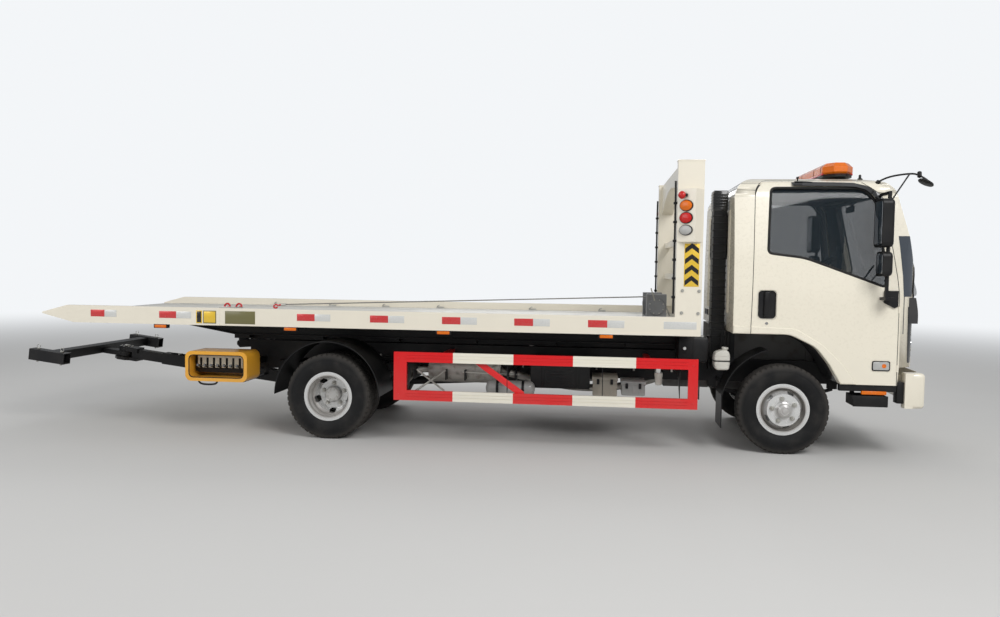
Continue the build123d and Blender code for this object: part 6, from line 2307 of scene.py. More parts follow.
    def lines(self) -> None:
        """Brake and oil lines clipped along the rail, and the rods by the rear axle."""
        for number, (z, radius) in enumerate(
            ((0.745, 0.006), (0.725, 0.005), (0.700, 0.009), (0.672, 0.009))
        ):
            y = -self.rail_y - 0.012
            path = [(-0.95, y, z), (0.20, y, z), (0.60, y, z - 0.008), (1.10, y, z), (2.30, y, z)]
            self.dress(pipe(f"rail_line_{number}", path, radius, 10), Finish.HOSE, "black_plastic")
        clips = []
        for step in range(9):
            x = -0.80 + 0.36 * step
            clips.append(
                block(
                    "line_clip",
                    (x, -self.rail_y - 0.026, 0.655),
                    (x + 0.018, -self.rail_y + 0.001, 0.756),
                    0.002,
                )
            )
        self.dress(joined("line_clips", clips), Finish.ZINC, "chassis_black")
        stay = rod("hanger_rod_0", (-0.36, -0.74, 0.44), (-0.06, -0.80, 0.655), 0.010, 14)
        other = rod("hanger_rod_1", (-0.34, -0.80, 0.655), (-0.08, -0.72, 0.44), 0.009, 14)
        self.dress(joined("hanger_rods", [stay, other]), Finish.ZINC, "chassis_black")
        long_rod = rod("brake_rod", (0.10, -0.78, 0.640), (0.62, -0.78, 0.630), 0.008, 14)
        self.dress(long_rod, Finish.ZINC, "chassis_black")
        posts = [
            block("rod_post", (x, -0.795, 0.560), (x + 0.012, -self.rail_y, 0.660), 0.002)
            for x in (-0.375, -0.065, 0.12, 0.60)
        ]
        self.dress(joined("rod_posts", posts), Finish.FRAME, "chassis_black")

    def build(self) -> None:
        """Makes everything behind the guard."""
        self.strut()
        self.hangers()
        self.air_tank()
        self.case("tool_case", (1.335, -0.90, 0.468), (1.56, -0.56, 0.640), Finish.TAN)
        self.case("relay_case", (1.600, -0.88, 0.478), (1.815, -0.60, 0.606), Finish.GREY)
        self.strainer()
        self.lines()


# Control box


@dataclass
class ControlStation(Assembly):
    """The lever panel inside the control box, its knobs, rim and stays.

    Attributes:
        low: the box's lowest outer corner, as X and Z.
        high: its highest, as X and Z.
        face_y: its outer face.
        pitch: the step between two levers.
    """

    low: Point2 = (-2.5275, 0.520)
    high: Point2 = (-1.9125, 0.806)
    face_y: float = -1.085
    pitch: float = 0.065
    count: int = 7

    def frame_ring(
        self, name: str, edge: float, y: float, radius: float, corner: float, finish: Finish
    ) -> None:
        """A bead round the box's mouth.

        Args:
            name: its name.
            edge: how far inside the box's outline it runs.
            y: its place.
            radius: its thickness.
            corner: its corners' radius.
            finish: its finish.
        """
        (x0, z0), (x1, z1) = self.low, self.high
        corners = [
            (x0 + edge, z0 + edge),
            (x1 - edge, z0 + edge),
            (x1 - edge, z1 - edge),
            (x0 + edge, z1 - edge),
        ]
        path = [(x, y, z) for x, z in rounded(corners, corner, 8)]
        bead = pipe(name, path, radius, 12, False, True)
        self.dress(bead, finish, "box_yellow", angle=60.0)

    def panel(self) -> None:
        """A pale comb plate with a slot for each lever."""
        start = -2.4175 - self.pitch / 2
        outline: list[Point2] = [(start, 0.762), (start, 0.640)]
        for lever in range(self.count):
            x = start + self.pitch * lever
            outline += [
                (x + 0.021, 0.640), (x + 0.021, 0.735), (x + 0.044, 0.735), (x + 0.044, 0.640)
            ]
        end = start + self.pitch * self.count
        outline += [(end, 0.640), (end, 0.762)]
        plate = outline_plate("lever_comb", outline, Axis.Y, -0.985, 0.004, 0.0008)
        self.dress(plate, Finish.LEVER_PLATE, "box_yellow")
        back = block(
            "lever_back", (start - 0.03, -0.972, 0.600), (end + 0.03, -0.962, 0.775), 0.003
        )
        self.dress(back, Finish.BLACK, "black_plastic")

    def knobs(self) -> None:
        """A round knob and a rubber boot on each lever."""
        knobs, boots = [], []
        lean = Vector((0.0, -1.0, 0.3)).normalized()
        for lever in range(self.count):
            foot = Vector((-2.4175 + self.pitch * lever, -0.961, 0.643))
            tip = foot + lean * 0.098
            knobs.append(
                rod("lever_knob", tuple(tip - lean * 0.036), tuple(tip), 0.0125, 16, 0.004, 0.0145)
            )
            boots.append(
                rod("lever_boot", tuple(foot), tuple(foot + lean * 0.034), 0.020, 16, 0.002, 0.0105)
            )
        self.dress(joined("lever_knobs", knobs), Finish.TRIM, "black_plastic")
        self.dress(joined("lever_boots", boots), Finish.SEAL, "black_plastic")

    def stays(self) -> None:
        """Folded arms from the frame and a towing loop under the box."""
        arms = []
        for x in (-2.47, -2.02):
            arms.append(block("box_arm", (x, -1.02, 0.512), (x + 0.05, -0.42, 0.519), 0.002))
            arms.append(block("box_post", (x, -0.43, 0.512), (x + 0.05, -0.422, 0.62), 0.002))
        self.dress(joined("box_arms", arms), Finish.FRAME, "chassis_black")
        loop = [
            (-2.44, -1.0, 0.530),
            (-2.435, -1.0, 0.500),
            (-2.40, -1.0, 0.478),
            (-2.28, -1.0, 0.478),
            (-2.245, -1.0, 0.500),
            (-2.24, -1.0, 0.530),
        ]
        self.dress(pipe("box_loop", loop, 0.009, 12), Finish.FRAME, "chassis_black")
        nuts = [
            rod("box_nut", (x, self.face_y + 0.012, z), (x, self.face_y + 0.004, z), 0.0075, 6)
            for x in (self.low[0] + 0.05, self.high[0] - 0.05)
            for z in (self.low[1] + 0.017, self.high[1] - 0.017)
        ]
        self.dress(joined("box_nuts", nuts), Finish.ZINC, "box_yellow")

    def build(self) -> None:
        """Makes the whole station."""
        self.frame_ring("box_bead", 0.006, self.face_y + 0.0045, 0.0048, 0.070, Finish.YELLOW)
        self.frame_ring("box_seal", 0.036, self.face_y + 0.003, 0.0050, 0.048, Finish.SEAL)
        self.panel()
        self.knobs()
        self.stays()


# Wheel lift


@dataclass
class LiftTrim(Assembly):
    """Pins, bolts and lines on the wheel lift, placed along its sloping line.

    Attributes:
        origin: the pivot.
        rise: the slope in degrees.
        swivel: how far along the crossbar's swivel stands.
        bar: how far along the crossbar runs.
    """

    origin: Point = (REAR_AXLE_X - 0.560, 0.0, 0.400)
    rise: float = 7.0
    swivel: float = 2.090
    bar: float = 2.377

    def lay(self, piece: bpy.types.Object) -> bpy.types.Object:
        """Moves a piece drawn along, across and above the lift's line to its place."""
        lean = math.radians(self.rise)
        along = (-math.cos(lean), 0.0, math.sin(lean))
        above = (math.sin(lean), 0.0, math.cos(lean))
        turn = Matrix((along, (0.0, -1.0, 0.0), above)).transposed().to_4x4()
        piece.data.transform(Matrix.Translation(self.origin) @ turn)
        return piece

    def pins(self) -> None:
        """Spring pins with pull rings through the crossbar's sleeves."""
        for side in Side:
            pins = []
            for along in (self.bar - 0.126, self.bar + 0.126):
                y = side.value * 0.884
                pins.append(rod("pin", (along, y, -0.072), (along, y, 0.070), 0.0102, 16))
                pins.append(
                    rod("pin_head", (along, y, 0.0600), (along, y, 0.072), 0.018, 20, 0.003)
                )
                ring = [
                    (along + 0.018 * math.cos(t), y, 0.088 + 0.018 * math.sin(t)) for t in CIRCLE
                ]
                pins.append(pipe("pin_ring", ring, 0.003, 8, False, True))
            self.dress(
                self.lay(joined(f"sleeve_pins_{side.word}", pins)),
                Finish.ZINC,
                "cast_metal",
                "lift_crossbar",
            )

    def head(self) -> None:
        """Bolts and a centre nut on the boom's head."""
        top = 0.0505 + 0.014
        bolts = []
        for step in range(8):
            angle = math.radians(step * 45)
            x, y = self.swivel + 0.058 * math.cos(angle), 0.058 * math.sin(angle)
            bolts.append(rod("head_bolt", (x, y, top), (x, y, top + 0.007), 0.0075, 6))
        bolts.append(
            rod(
                "head_nut",
                (self.swivel, 0.0, top),
                (self.swivel, 0.0, top + 0.016),
                0.030,
                6,
                0.003,
            )
        )
        self.dress(
            self.lay(joined("boom_head_bolts", bolts)), Finish.ZINC, "cast_metal", "lift_boom"
        )

    def lines(self) -> None:
        """Oil lines with clips along the arm."""
        pieces = []
        for y in (-0.022, 0.022):
            path = [
                (0.25, y, 0.066),
                (0.62, y, 0.066),
                (1.10, y, 0.066),
                (1.50, y, 0.066),
                (1.56, y, 0.062),
            ]
            pieces.append(pipe("arm_line", path, 0.0055, 10))
        self.dress(self.lay(joined("arm_lines", pieces)), Finish.HOSE, "black_plastic", "lift_arm")
        clips = [
            block("arm_clip", (x, -0.036, 0.0590), (x + 0.016, 0.036, 0.073), 0.002)
            for x in (0.32, 0.92, 1.46)
        ]
        self.dress(self.lay(joined("arm_clips", clips)), Finish.ZINC, "cast_metal", "lift_arm")

    def caps(self) -> None:
        """Wear edges on the crossbar's tube."""
        for side in Side:
            sign = side.value
            lips = []
            for along in (self.bar - 0.186, self.bar + 0.180):
                y = sorted((sign * 0.826, sign * 0.942))
                lips.append(
                    block("sleeve_lip", (along, y[0], 0.0575), (along + 0.006, y[1], 0.0615), 0.001)
                )
            self.dress(
                self.lay(joined(f"sleeve_lips_{side.word}", lips)),
                Finish.STEEL,
                "chassis_black",
                "lift_crossbar",
            )

    def build(self) -> None:
        """Makes the lift's fittings."""
        self.pins()
        self.head()
        self.lines()
        self.caps()


# Cab


CAB_FRONT_ROWS = (
    (1.020, 0.400, 0.0),
    (1.020, 1.450, 2.0),
    (0.990, 1.800, 2.0),
    (0.905, 2.350, 0.20),
    (0.830, 2.445, 0.12),
    (0.690, 2.480, 0.0),
)
CAB_SKIN = eased(CAB_FRONT_ROWS, closed=False)


def skin_y(z: float) -> float:
    """How far out the cab's side stands at a height."""
    for (low_y, low), (high_y, high) in zip(CAB_SKIN, CAB_SKIN[1:]):
        if low <= z <= high:
            return low_y + (high_y - low_y) * (z - low) / (high - low)
    return CAB_SKIN[-1][0]


def on_side(points: Sequence[Point2], lift: float) -> list[Point]:
    """Lays an outline in X and Z on the cab's right side, lifted off it by a distance."""
    return [(x, -skin_y(z) - lift, z) for x, z in points]


def on_nose(names: Sequence[str], points: Sequence[Point2], lift: float) -> list[Point]:
    """Lays an outline in Y and Z on the cab's front, lifted off it by a distance.

    Args:
        names: the CAD nodes that are felt for.
        points: the outline.
        lift: how far it stands off, forwards.
    """
    made: list[Point] = []
    for y, z in points:
        best = 0.0
        for name in names:
            found, spot, _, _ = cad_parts[name].ray_cast((5.0, abs(y), z), (-1.0, 0.0, 0.0))
            if found:
                best = max(best, spot.x)
        made.append((best + lift, y, z))
    return made


def inset(points: Sequence[Point2], gap: float) -> list[Point2]:
    """A closed outline drawn in by a gap, or grown where the gap is negative."""
    count = len(points)
    area = sum(
        a[0] * b[1] - b[0] * a[1] for a, b in zip(points, [*points[1:], points[0]])
    )
    sign = 1.0 if area > 0 else -1.0
    made = []
    for index, (u, v) in enumerate(points):
        before, after = points[index - 1], points[(index + 1) % count]
        run = Vector((after[0] - before[0], after[1] - before[1])).normalized()
        made.append((u - run.y * gap * sign, v + run.x * gap * sign))
    return made


def from_axle(rows: Sequence[tuple[float, float, float]]) -> list[tuple[float, float, float]]:
    """Rows whose first place counts from the front axle, as rows in the truck's own frame."""
    return [(FRONT_AXLE_X + x, z, radius) for x, z, radius in rows]


@dataclass
class CabTrim(Assembly):
    """Rubber seals, handles, lamps, mirrors, steps and everything fixed to the cab's skin.

    Attributes:
        back_x: the outer face of the cab's rear wall.
    """

    body: str = "cab"
    back_x: float = FRONT_AXLE_X - 0.470
    window: tuple[tuple[float, float, float], ...] = (
        (-0.185, 1.795, 0.050),
        (-0.160, 2.385, 0.060),
        (0.640, 2.385, 0.150),
        (0.745, 2.250, 0.150),
        (0.835, 1.500, 0.045),
        (0.414, 1.655, 0.600),
        (0.133, 1.757, 0.600),
    )
    seam: tuple[tuple[float, float, float], ...] = (
        (-0.318, 1.086, 0.0),
        (-0.288, 2.461, 0.155),
        (0.6015, 2.461, 0.0),
        (0.7935, 2.3115, 0.150),
        (0.9085, 1.600, 0.0),
        (0.925, 1.450, 0.0),
        (0.925, 0.662, 0.0),
    )
    screen: tuple[tuple[float, float, float], ...] = (
        (0.900, 1.440, 0.060),
        (0.790, 2.340, 0.080),
        (-0.790, 2.340, 0.080),
        (-0.900, 1.440, 0.060),
    )

    def whole(self, node: str, name: str) -> bpy.types.Object:
        """A CAD node made anew from its left half and that half's mirror image.

        Args:
            node: the CAD node that it stands for.
            name: the new piece's name.

        Returns:
            The new piece.
        """
        piece = copy_to(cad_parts[node], name, Matrix.Identity(4))
        tidy(piece, 0.0001)
        bpy.ops.object.mode_set(mode="EDIT")
        bpy.ops.mesh.select_all(action="SELECT")
        bpy.ops.mesh.bisect(plane_co=(0.0, 0.0, 0.0), plane_no=(0.0, 1.0, 0.0), clear_inner=True)
        leave()
        other = piece.modifiers.new("other_half", "MIRROR")
        other.use_axis = (False, True, False)
        other.merge_threshold = 0.0005
        bpy.ops.object.modifier_apply(modifier="other_half")
        return piece

    def wrap(
        self,
        shell: bpy.types.Object,
        name: str,
        low: Point2,
        high: Point2,
        y: float,
        finish: Finish,
    ) -> None:
        """A glossy panel bent round the cab's front corner, and its twin on the left.

        Args:
            shell: the cab's shell, whose skin the panel lies on.
            name: the panel's name on the right side.
            low: the lower end of its rear edge, in X and Z.
            high: the upper end of that edge.
            y: how far from the middle it starts.
            finish: its finish.
        """
        panel = copy_to(shell, name, Matrix.Identity(4))
        (x0, z0), (x1, z1) = low, high
        edge = Vector((x1 - x0, 0.0, z1 - z0)).normalized()
        cuts = (
            ((0.0, -y, 0.0), (0.0, 1.0, 0.0)),
            ((0.0, 0.0, z0), (0.0, 0.0, -1.0)),
            ((0.0, 0.0, z1), (0.0, 0.0, 1.0)),
            ((x0, 0.0, z0), (-edge.z, 0.0, edge.x)),
        )
        only(panel)
        bpy.ops.object.mode_set(mode="EDIT")
        for spot, away in cuts:
            bpy.ops.mesh.select_all(action="SELECT")
            bpy.ops.mesh.bisect(plane_co=spot, plane_no=away, clear_outer=True)
        bpy.ops.mesh.select_all(action="SELECT")
        bpy.ops.transform.shrink_fatten(value=0.0015)
        leave()
        self.pair(panel, finish, "black_plastic", None, 40.0)

    def shell(self) -> None:
        """The cab's shell, whose nose corner and lamp pocket are alike on both sides."""
        shell = self.whole("cab_shell", "cab_body")
        self.dress(shell, Finish.CAB, "cab_white", angle=30.0)
        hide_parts("cab_shell")
        self.wrap(shell, "corner_glass_right", (4.000, 1.435), (3.950, 1.960), 0.915, Finish.CORNER)
        self.wrap(shell, "lamp_side_right", (4.062, 0.855), (4.052, 1.345), 0.905, Finish.LAMP_SIDE)
        covers = self.whole("headlamps", "headlamp_covers")
        self.dress(covers, Finish.LAMP_COVER, "lamp_clear", angle=30.0)
        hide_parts("headlamps")
        lining = copy_to(covers, "lamp_lining", Matrix.Identity(4))
        only(lining)
        bpy.ops.object.mode_set(mode="EDIT")
        bpy.ops.mesh.select_all(action="SELECT")
        bpy.ops.transform.shrink_fatten(value=-0.0085)
        leave()
        self.dress(lining, Finish.TRIM, "black_plastic")

    def seals(self) -> None:
        """Window rubbers, the doors' seams and the windscreen's surround."""
        outline = inset(dense(eased(from_axle(self.window)), 0.05), 0.004)
        rubber = pipe("window_rubber_right", on_side(outline, -0.0055), 0.0125, 12, False, True)
        self.pair(rubber, Finish.SEAL, "black_plastic", "door_right", 60.0)
        line = dense(eased(from_axle(self.seam), closed=False), 0.05, closed=False)
        seam = pipe("door_seam_right", on_side(line, -0.0032), 0.0029, 8, False)
        self.pair(seam, Finish.SEAL, "black_plastic", None, 60.0)
        edge = inset(dense(eased(self.screen), 0.06), -0.008)
        ring = pipe(
            "windscreen_rubber",
            on_nose(("cab_shell", "cab_glass"), edge, 0.001),
            0.011,
            12,
            False,
            True,
        )
        self.dress(ring, Finish.SEAL, "black_plastic", angle=60.0)

    def pillar(self) -> None:
        """The black cover on the windscreen pillar's corner, and the window's rain shield."""
        front = [
            (0.600, 2.452),
            (0.700, 2.387),
            (0.783, 2.308),
            (0.803, 2.200),
            (0.820, 2.090),
            (0.838, 1.980),
        ]
        rear = [
            (0.600, 2.398),
            (0.652, 2.374),
            (0.712, 2.322),
            (0.748, 2.235),
            (0.762, 2.120),
            (0.785, 1.990),
        ]
        cover = strip(
            "pillar_cover_right",
            on_side([(FRONT_AXLE_X + x, z) for x, z in front], 0.003),
            on_side([(FRONT_AXLE_X + x, z) for x, z in rear], 0.003),
            0.004,
        )
        self.pair(cover, Finish.TRIM, "black_plastic", "door_right")
        top = [
            (0.030, 2.436),
            (0.200, 2.438),
            (0.400, 2.436),
            (0.560, 2.430),
            (0.660, 2.404),
            (0.730, 2.350),
            (0.778, 2.262),
            (0.795, 2.180),
        ]
        low = [
            (0.030, 2.402),
            (0.200, 2.400),
            (0.400, 2.398),
            (0.560, 2.392),
            (0.640, 2.368),
            (0.700, 2.318),
            (0.745, 2.240),
            (0.770, 2.175),
        ]
        shield = strip(
            "rain_shield_right",
            on_side([(FRONT_AXLE_X + x, z) for x, z in top], 0.006),
            on_side([(FRONT_AXLE_X + x, z) for x, z in low], 0.030),
            0.003,
        )
        self.pair(shield, Finish.TRIM, "black_plastic", "door_right")
        x = FRONT_AXLE_X + 0.075
        clamp = [
            block("clamp_base", (x - 0.030, -0.905, 2.424), (x + 0.045, -0.870, 2.440), 0.003),
            rod("clamp_screw", (x - 0.004, -0.890, 2.436), (x - 0.004, -0.893, 2.466), 0.006, 12),
            rod(
                "clamp_knob",
                (x - 0.004, -0.893, 2.462),
                (x - 0.004, -0.894, 2.478),
                0.013,
                6,
                0.003,
            ),
            pipe(
                "clamp_arm",
                [(x - 0.03, -0.90, 2.430), (x + 0.04, -0.912, 2.436), (x + 0.12, -0.902, 2.428)],
                0.006,
                10,
            ),
        ]
        self.pair(joined("shield_clamp_right", clamp), Finish.BLACK, "black_plastic", "door_right")

    def handles(self) -> None:
        """A black pocket with a rim, and the upright grip in it."""
        rows = (
            (-0.264, 1.217, 0.038),
            (-0.102, 1.217, 0.038),
            (-0.102, 1.473, 0.038),
            (-0.264, 1.473, 0.038),
        )
        pocket = tray(
            "handle_pocket_right", eased(from_axle(rows)), Axis.Y, -1.0235, -0.9955, 0.0075
        )
        self.pair(pocket, Finish.TRIM, "black_plastic", "door_right")
        rows = (
            (-0.2075, 1.232, 0.018),
            (-0.1575, 1.232, 0.018),
            (-0.1575, 1.458, 0.018),
            (-0.2075, 1.458, 0.018),
        )
        grip = outline_plate(
            "handle_grip_right", eased(from_axle(rows)), Axis.Y, -0.9960, -0.0300, 0.005
        )
        self.pair(grip, Finish.BLACK, "black_plastic", "door_right")
        lock = rod(
            "door_lock_right",
            (FRONT_AXLE_X - 0.183, -1.0200, 1.180),
            (FRONT_AXLE_X - 0.183, -1.0245, 1.180),
            0.013,
            24,
        )
        self.pair(lock, Finish.CHROME, "black_plastic", "door_right")

    def side_lamp(self) -> None:
        """The clear turn lamp on the door, and the amber marker below the sill."""
        rows = (
            (0.716, 0.786, 0.018),
            (0.866, 0.786, 0.018),
            (0.866, 0.873, 0.018),
            (0.716, 0.873, 0.018),
        )
        bezel = tray("turn_bezel_right", eased(from_axle(rows)), Axis.Y, -1.0275, -1.0205, 0.006)
        self.pair(bezel, Finish.TRIM, "black_plastic", "door_right")
        rows = (
            (0.724, 0.794, 0.014),
            (0.858, 0.794, 0.014),
            (0.858, 0.865, 0.014),
            (0.724, 0.865, 0.014),
        )
        lens = outline_plate(
            "turn_lens_right", eased(from_axle(rows)), Axis.Y, -1.0210, -0.0085, 0.003
        )
        self.pair(lens, Finish.CLEAR_LENS, "lamp_clear", "door_right")
        bulb = rod(
            "turn_bulb_right",
            (FRONT_AXLE_X + 0.815, -1.0285, 0.830),
            (FRONT_AXLE_X + 0.815, -1.0305, 0.830),
            0.018,
            20,
            0.002,
        )
        self.pair(bulb, Finish.AMBER_LENS, "lamp_amber", "door_right")
        band = block(
            "sill_band_right",
            (FRONT_AXLE_X + 0.452, -1.004, 0.600),
            (FRONT_AXLE_X + 0.935, -0.955, 0.6595),
            0.006,
        )
        self.pair(band, Finish.BLACK, "black_plastic")
        marker = block(
            "sill_marker_right",
            (FRONT_AXLE_X + 0.640, -1.0165, 0.574),
            (FRONT_AXLE_X + 0.850, -0.985, 0.606),
            0.006,
        )
        self.pair(marker, Finish.AMBER_LENS, "lamp_amber")

    def steps(self) -> None:
        """Ribbed treads on the door steps."""
        x0, x1 = FRONT_AXLE_X + 0.575, FRONT_AXLE_X + 0.863
        ribs = [block("tread", (x0 + 0.010, -1.000, 0.4775), (x1 - 0.010, -0.795, 0.4815), 0.001)]
        for step in range(7):
            y = -0.985 + 0.030 * step
            ribs.append(
                block("rib", (x0 + 0.020, y, 0.4810), (x1 - 0.020, y + 0.010, 0.4860), 0.0015)
            )
        self.pair(joined("step_tread_right", ribs), Finish.BLACK, "black_plastic")
        lip = block(
            "step_lip_right", (x0 - 0.003, -1.0085, 0.466), (x1 + 0.003, -1.0040, 0.563), 0.004
        )
        self.pair(lip, Finish.BLACK, "black_plastic")

    def mirrors(self) -> None:
        """Mirror glasses in their frames, and the look-down mirror over the windscreen's corner."""
        for name, x, z, half_high, half_wide in (
            ("tall", 0.690, 2.060, 0.183, 0.090), ("low", 0.710, 1.715, 0.085, 0.070)
        ):
            corners = [
                (-1.140 - half_wide, z - half_high),
                (-1.140 + half_wide, z - half_high),
                (-1.140 + half_wide, z + half_high),
                (-1.140 - half_wide, z + half_high),
            ]
            glass = outline_plate(
                f"mirror_{name}_right",
                rounded(corners, 0.030),
                Axis.X,
                FRONT_AXLE_X + x + 0.002,
                -0.0045,
                0.0012,
            )
            self.pair(glass, Finish.MIRROR, "rod_chrome", "door_right")
        arm = pipe(
            "corner_arm",
            [
                (3.800, -0.835, 2.435),
                (3.84, -0.90, 2.475),
                (3.999, -1.050, 2.493),
                (4.060, -1.080, 2.475),
                (4.120, -1.092, 2.430),
            ],
            0.008,
            12,
        )
        stay = pipe(
            "corner_stay",
            [(3.830, -1.130, 2.262), (3.873, -1.120, 2.330), (3.990, -1.055, 2.488)],
            0.0065,
            12,
        )
        foot = rod("corner_foot", (3.795, -0.815, 2.415), (3.806, -0.850, 2.445), 0.020, 16, 0.004)
        knob = rod("corner_knob", (4.055, -1.095, 2.455), (4.062, -1.070, 2.500), 0.018, 18, 0.004)
        self.pair(
            joined("corner_arm_right", [arm, stay, foot, knob]),
            Finish.BLACK,
            "black_plastic",
            "door_right",
        )
        head = spun(
            "corner_head",
            [
                (0.0, 0.0),
                (0.0, 0.060),
                (0.006, 0.065),
                (0.016, 0.060),
                (0.026, 0.034),
                (0.030, 0.0),
            ],
            (0.0, 0.0, 0.0),
            Axis.Z,
            36,
        )
        head.data.transform(
            Matrix.Translation((4.108, -1.085, 2.402))
            @ Matrix.Rotation(math.radians(28), 4, "Y")
            @ Matrix.Diagonal((1.0, 1.25, 1.0, 1.0))
        )
        self.pair(
            tidy_named(head, "corner_mirror_right"),
            Finish.BLACK,
            "black_plastic",
            "door_right",
            50.0,
        )

    def roof(self) -> None:
        """A small aerial foot on the roof's edge."""
        foot = spun(
            "aerial_foot",
            [
                (0.0, 0.0),
                (0.0, 0.024),
                (0.010, 0.022),
                (0.016, 0.012),
                (0.040, 0.011),
                (0.046, 0.007),
                (0.046, 0.0),
            ],
            (3.690, -0.700, 2.4725),
            Axis.Z,
            24,
        )
        self.dress(foot, Finish.BLACK, "black_plastic", angle=45.0)

    def wipers(self) -> None:
        """Two wipers with their arms, spindles and blades, and the cowl strip."""
        nodes = ("cab_shell", "cab_glass")
        for number, (y, tip_y, low, high) in enumerate(
            ((0.56, 0.02, 1.475, 1.66), (-0.10, -0.64, 1.475, 1.66))
        ):
            path = on_nose(
                nodes, [(y, low), ((y + tip_y) / 2, (low + high) / 2), (tip_y, high)], 0.024
            )
            arm = pipe(f"wiper_arm_{number}", path, 0.006, 10, False)
            spindle = rod(
                "wiper_spindle",
                (path[0][0] - 0.030, y, low - 0.004),
                (path[0][0] + 0.008, y, low + 0.002),
                0.016,
                20,
                0.003,
            )
            self.dress(joined(f"wiper_arm_{number}", [arm, spindle]), Finish.BLACK, "black_plastic")
            line = [
                (y + (tip_y - y) * t + 0.09, low + 0.05 + (high - low) * t)
                for t in (0.18, 0.4, 0.6, 0.8, 1.0)
            ]
            blade = pipe(f"wiper_blade_{number}", on_nose(nodes, line, 0.010), 0.0085, 8, False)
            self.dress(blade, Finish.SEAL, "black_plastic")
        cowl = [(t, 1.405) for t in (-0.82, -0.6, -0.4, -0.2, 0.0, 0.2, 0.4, 0.6, 0.82)]
        high = [(t, 1.425) for t, _ in cowl]
        grille = strip(
            "cowl_strip", on_nose(nodes, high, 0.002), on_nose(nodes, cowl, 0.002), 0.003
        )
        self.dress(grille, Finish.BLACK, "black_plastic")

    def lamps(self) -> None:
        """Headlamp bowls, bulbs and turn lamps behind the clear cover."""
        for name, y, z, radius, finish in (
            ("dipped", -0.800, 1.155, 0.070, Finish.SILVER_BOWL),
            ("main", -0.775, 1.000, 0.062, Finish.SILVER_BOWL),
            ("turn", -0.850, 1.272, 0.036, Finish.AMBER_LENS),
        ):
            _, spot, normal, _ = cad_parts["headlamps"].ray_cast(
                (5.0, -y, z), (-1.0, 0.0, 0.0)
            )
            spot.y, normal.y = -spot.y, -normal.y
            profile = [
                (-0.0235, 0.0),
                (-0.0235, radius * 0.35),
                (-0.014, radius * 0.75),
                (-0.0045, radius),
                (-0.0045, radius + 0.004),
                (-0.0265, radius + 0.004),
                (-0.0265, 0.0),
            ]
            bowl = spun(f"{name}_bowl_right", profile, (0.0, 0.0, 0.0), Axis.Z, 36)
            turn = normal.to_track_quat("Z", "Y").to_matrix().to_4x4()
            bowl.data.transform(Matrix.Translation(spot) @ turn)
            self.pair(tidy_named(bowl, f"{name}_bowl_right"), finish, "lamp_clear", None, 50.0)
            if finish is Finish.SILVER_BOWL:
                bulb = spun(
                    "bulb",
                    [
                        (-0.024, 0.0),
                        (-0.024, 0.016),
                        (-0.010, 0.015),
                        (-0.0055, 0.009),
                        (-0.005, 0.0),
                    ],
                    (0.0, 0.0, 0.0),
                    Axis.Z,
                    24,
                )
                bulb.data.transform(Matrix.Translation(spot) @ turn)
                self.pair(
                    tidy_named(bulb, f"{name}_bulb_right"),
                    Finish.CLEAR_LENS,
                    "lamp_clear",
                    None,
                    50.0,
                )

    def corners(self) -> None:
        """Rounded ends on the bumper, and a black block behind them that is painted shade for the
        gap there.
        """
        cap = block(
            "bumper_end_right",
            (FRONT_AXLE_X + 1.001, -1.0165, 0.4605),
            (FRONT_AXLE_X + 1.172, -0.930, 0.7715),
            0.0,
        )
        bevel(cap, 0.034, 5, lambda middle, way: middle.y < -1.0 or middle.x > FRONT_AXLE_X + 1.16)
        self.pair(cap, Finish.BUMPER, "cab_white", "chassis", 60.0)
        # Painted shade: a black block fills the gap behind each bumper end.
        gap = block(
            "bumper_gap_right",
            (FRONT_AXLE_X + 0.942, -0.992, 0.500),
            (FRONT_AXLE_X + 1.003, -0.900, 0.688),
            0.006,
        )
        self.pair(gap, Finish.BLACK, "black_plastic", "chassis")

    def rear_wall(self) -> None:
        """Pressed panels, the back window's rubber and the vent on the cab's back."""
        x = self.back_x
        ribs = []
        for y in (-0.70, -0.62, 0.62, 0.70):
            ribs.append(
                block("back_rib", (x - 0.006, y - 0.014, 1.25), (x + 0.002, y + 0.014, 2.20), 0.004)
            )
        for z in (1.30, 1.42, 1.54):
            ribs.append(
                block(
                    "back_rib", (x - 0.006, -0.50, z - 0.014), (x + 0.002, 0.50, z + 0.014), 0.004
                )
            )
        self.dress(joined("back_ribs", ribs), Finish.CAB, "cab_white")
        path = [
            (0.520, 1.760, 0.060),
            (0.500, 2.180, 0.060),
            (-0.500, 2.180, 0.060),
            (-0.520, 1.760, 0.060),
        ]
        ring = [(x - 0.001, y, z) for y, z in inset(dense(eased(path), 0.08), -0.006)]
        self.dress(
            pipe("back_window_rubber", ring, 0.012, 12, False, True),
            Finish.SEAL,
            "black_plastic",
            angle=60.0,
        )
        slats = [
            tray(
                "vent_frame",
                rounded([(0.62, 1.16), (0.84, 1.16), (0.84, 1.22), (0.62, 1.22)], 0.012),
                Axis.X,
                x - 0.008,
                x - 0.002,
                0.006,
            )
        ]
        for step in range(4):
            slats.append(
                block(
                    "slat",
                    (x - 0.007, 0.63, 1.170 + 0.012 * step),
                    (x - 0.002, 0.83, 1.175 + 0.012 * step),
                    0.001,
                )
            )
        self.dress(joined("back_vent", slats), Finish.BLACK, "black_plastic")

    def build(self) -> None:
        """Makes all of the cab's trim."""
        self.seals()
        self.pillar()
        self.handles()
        self.side_lamp()
        self.steps()
        self.mirrors()
        self.roof()
        self.wipers()
        self.lamps()
        self.corners()
        self.rear_wall()
        self.shell()


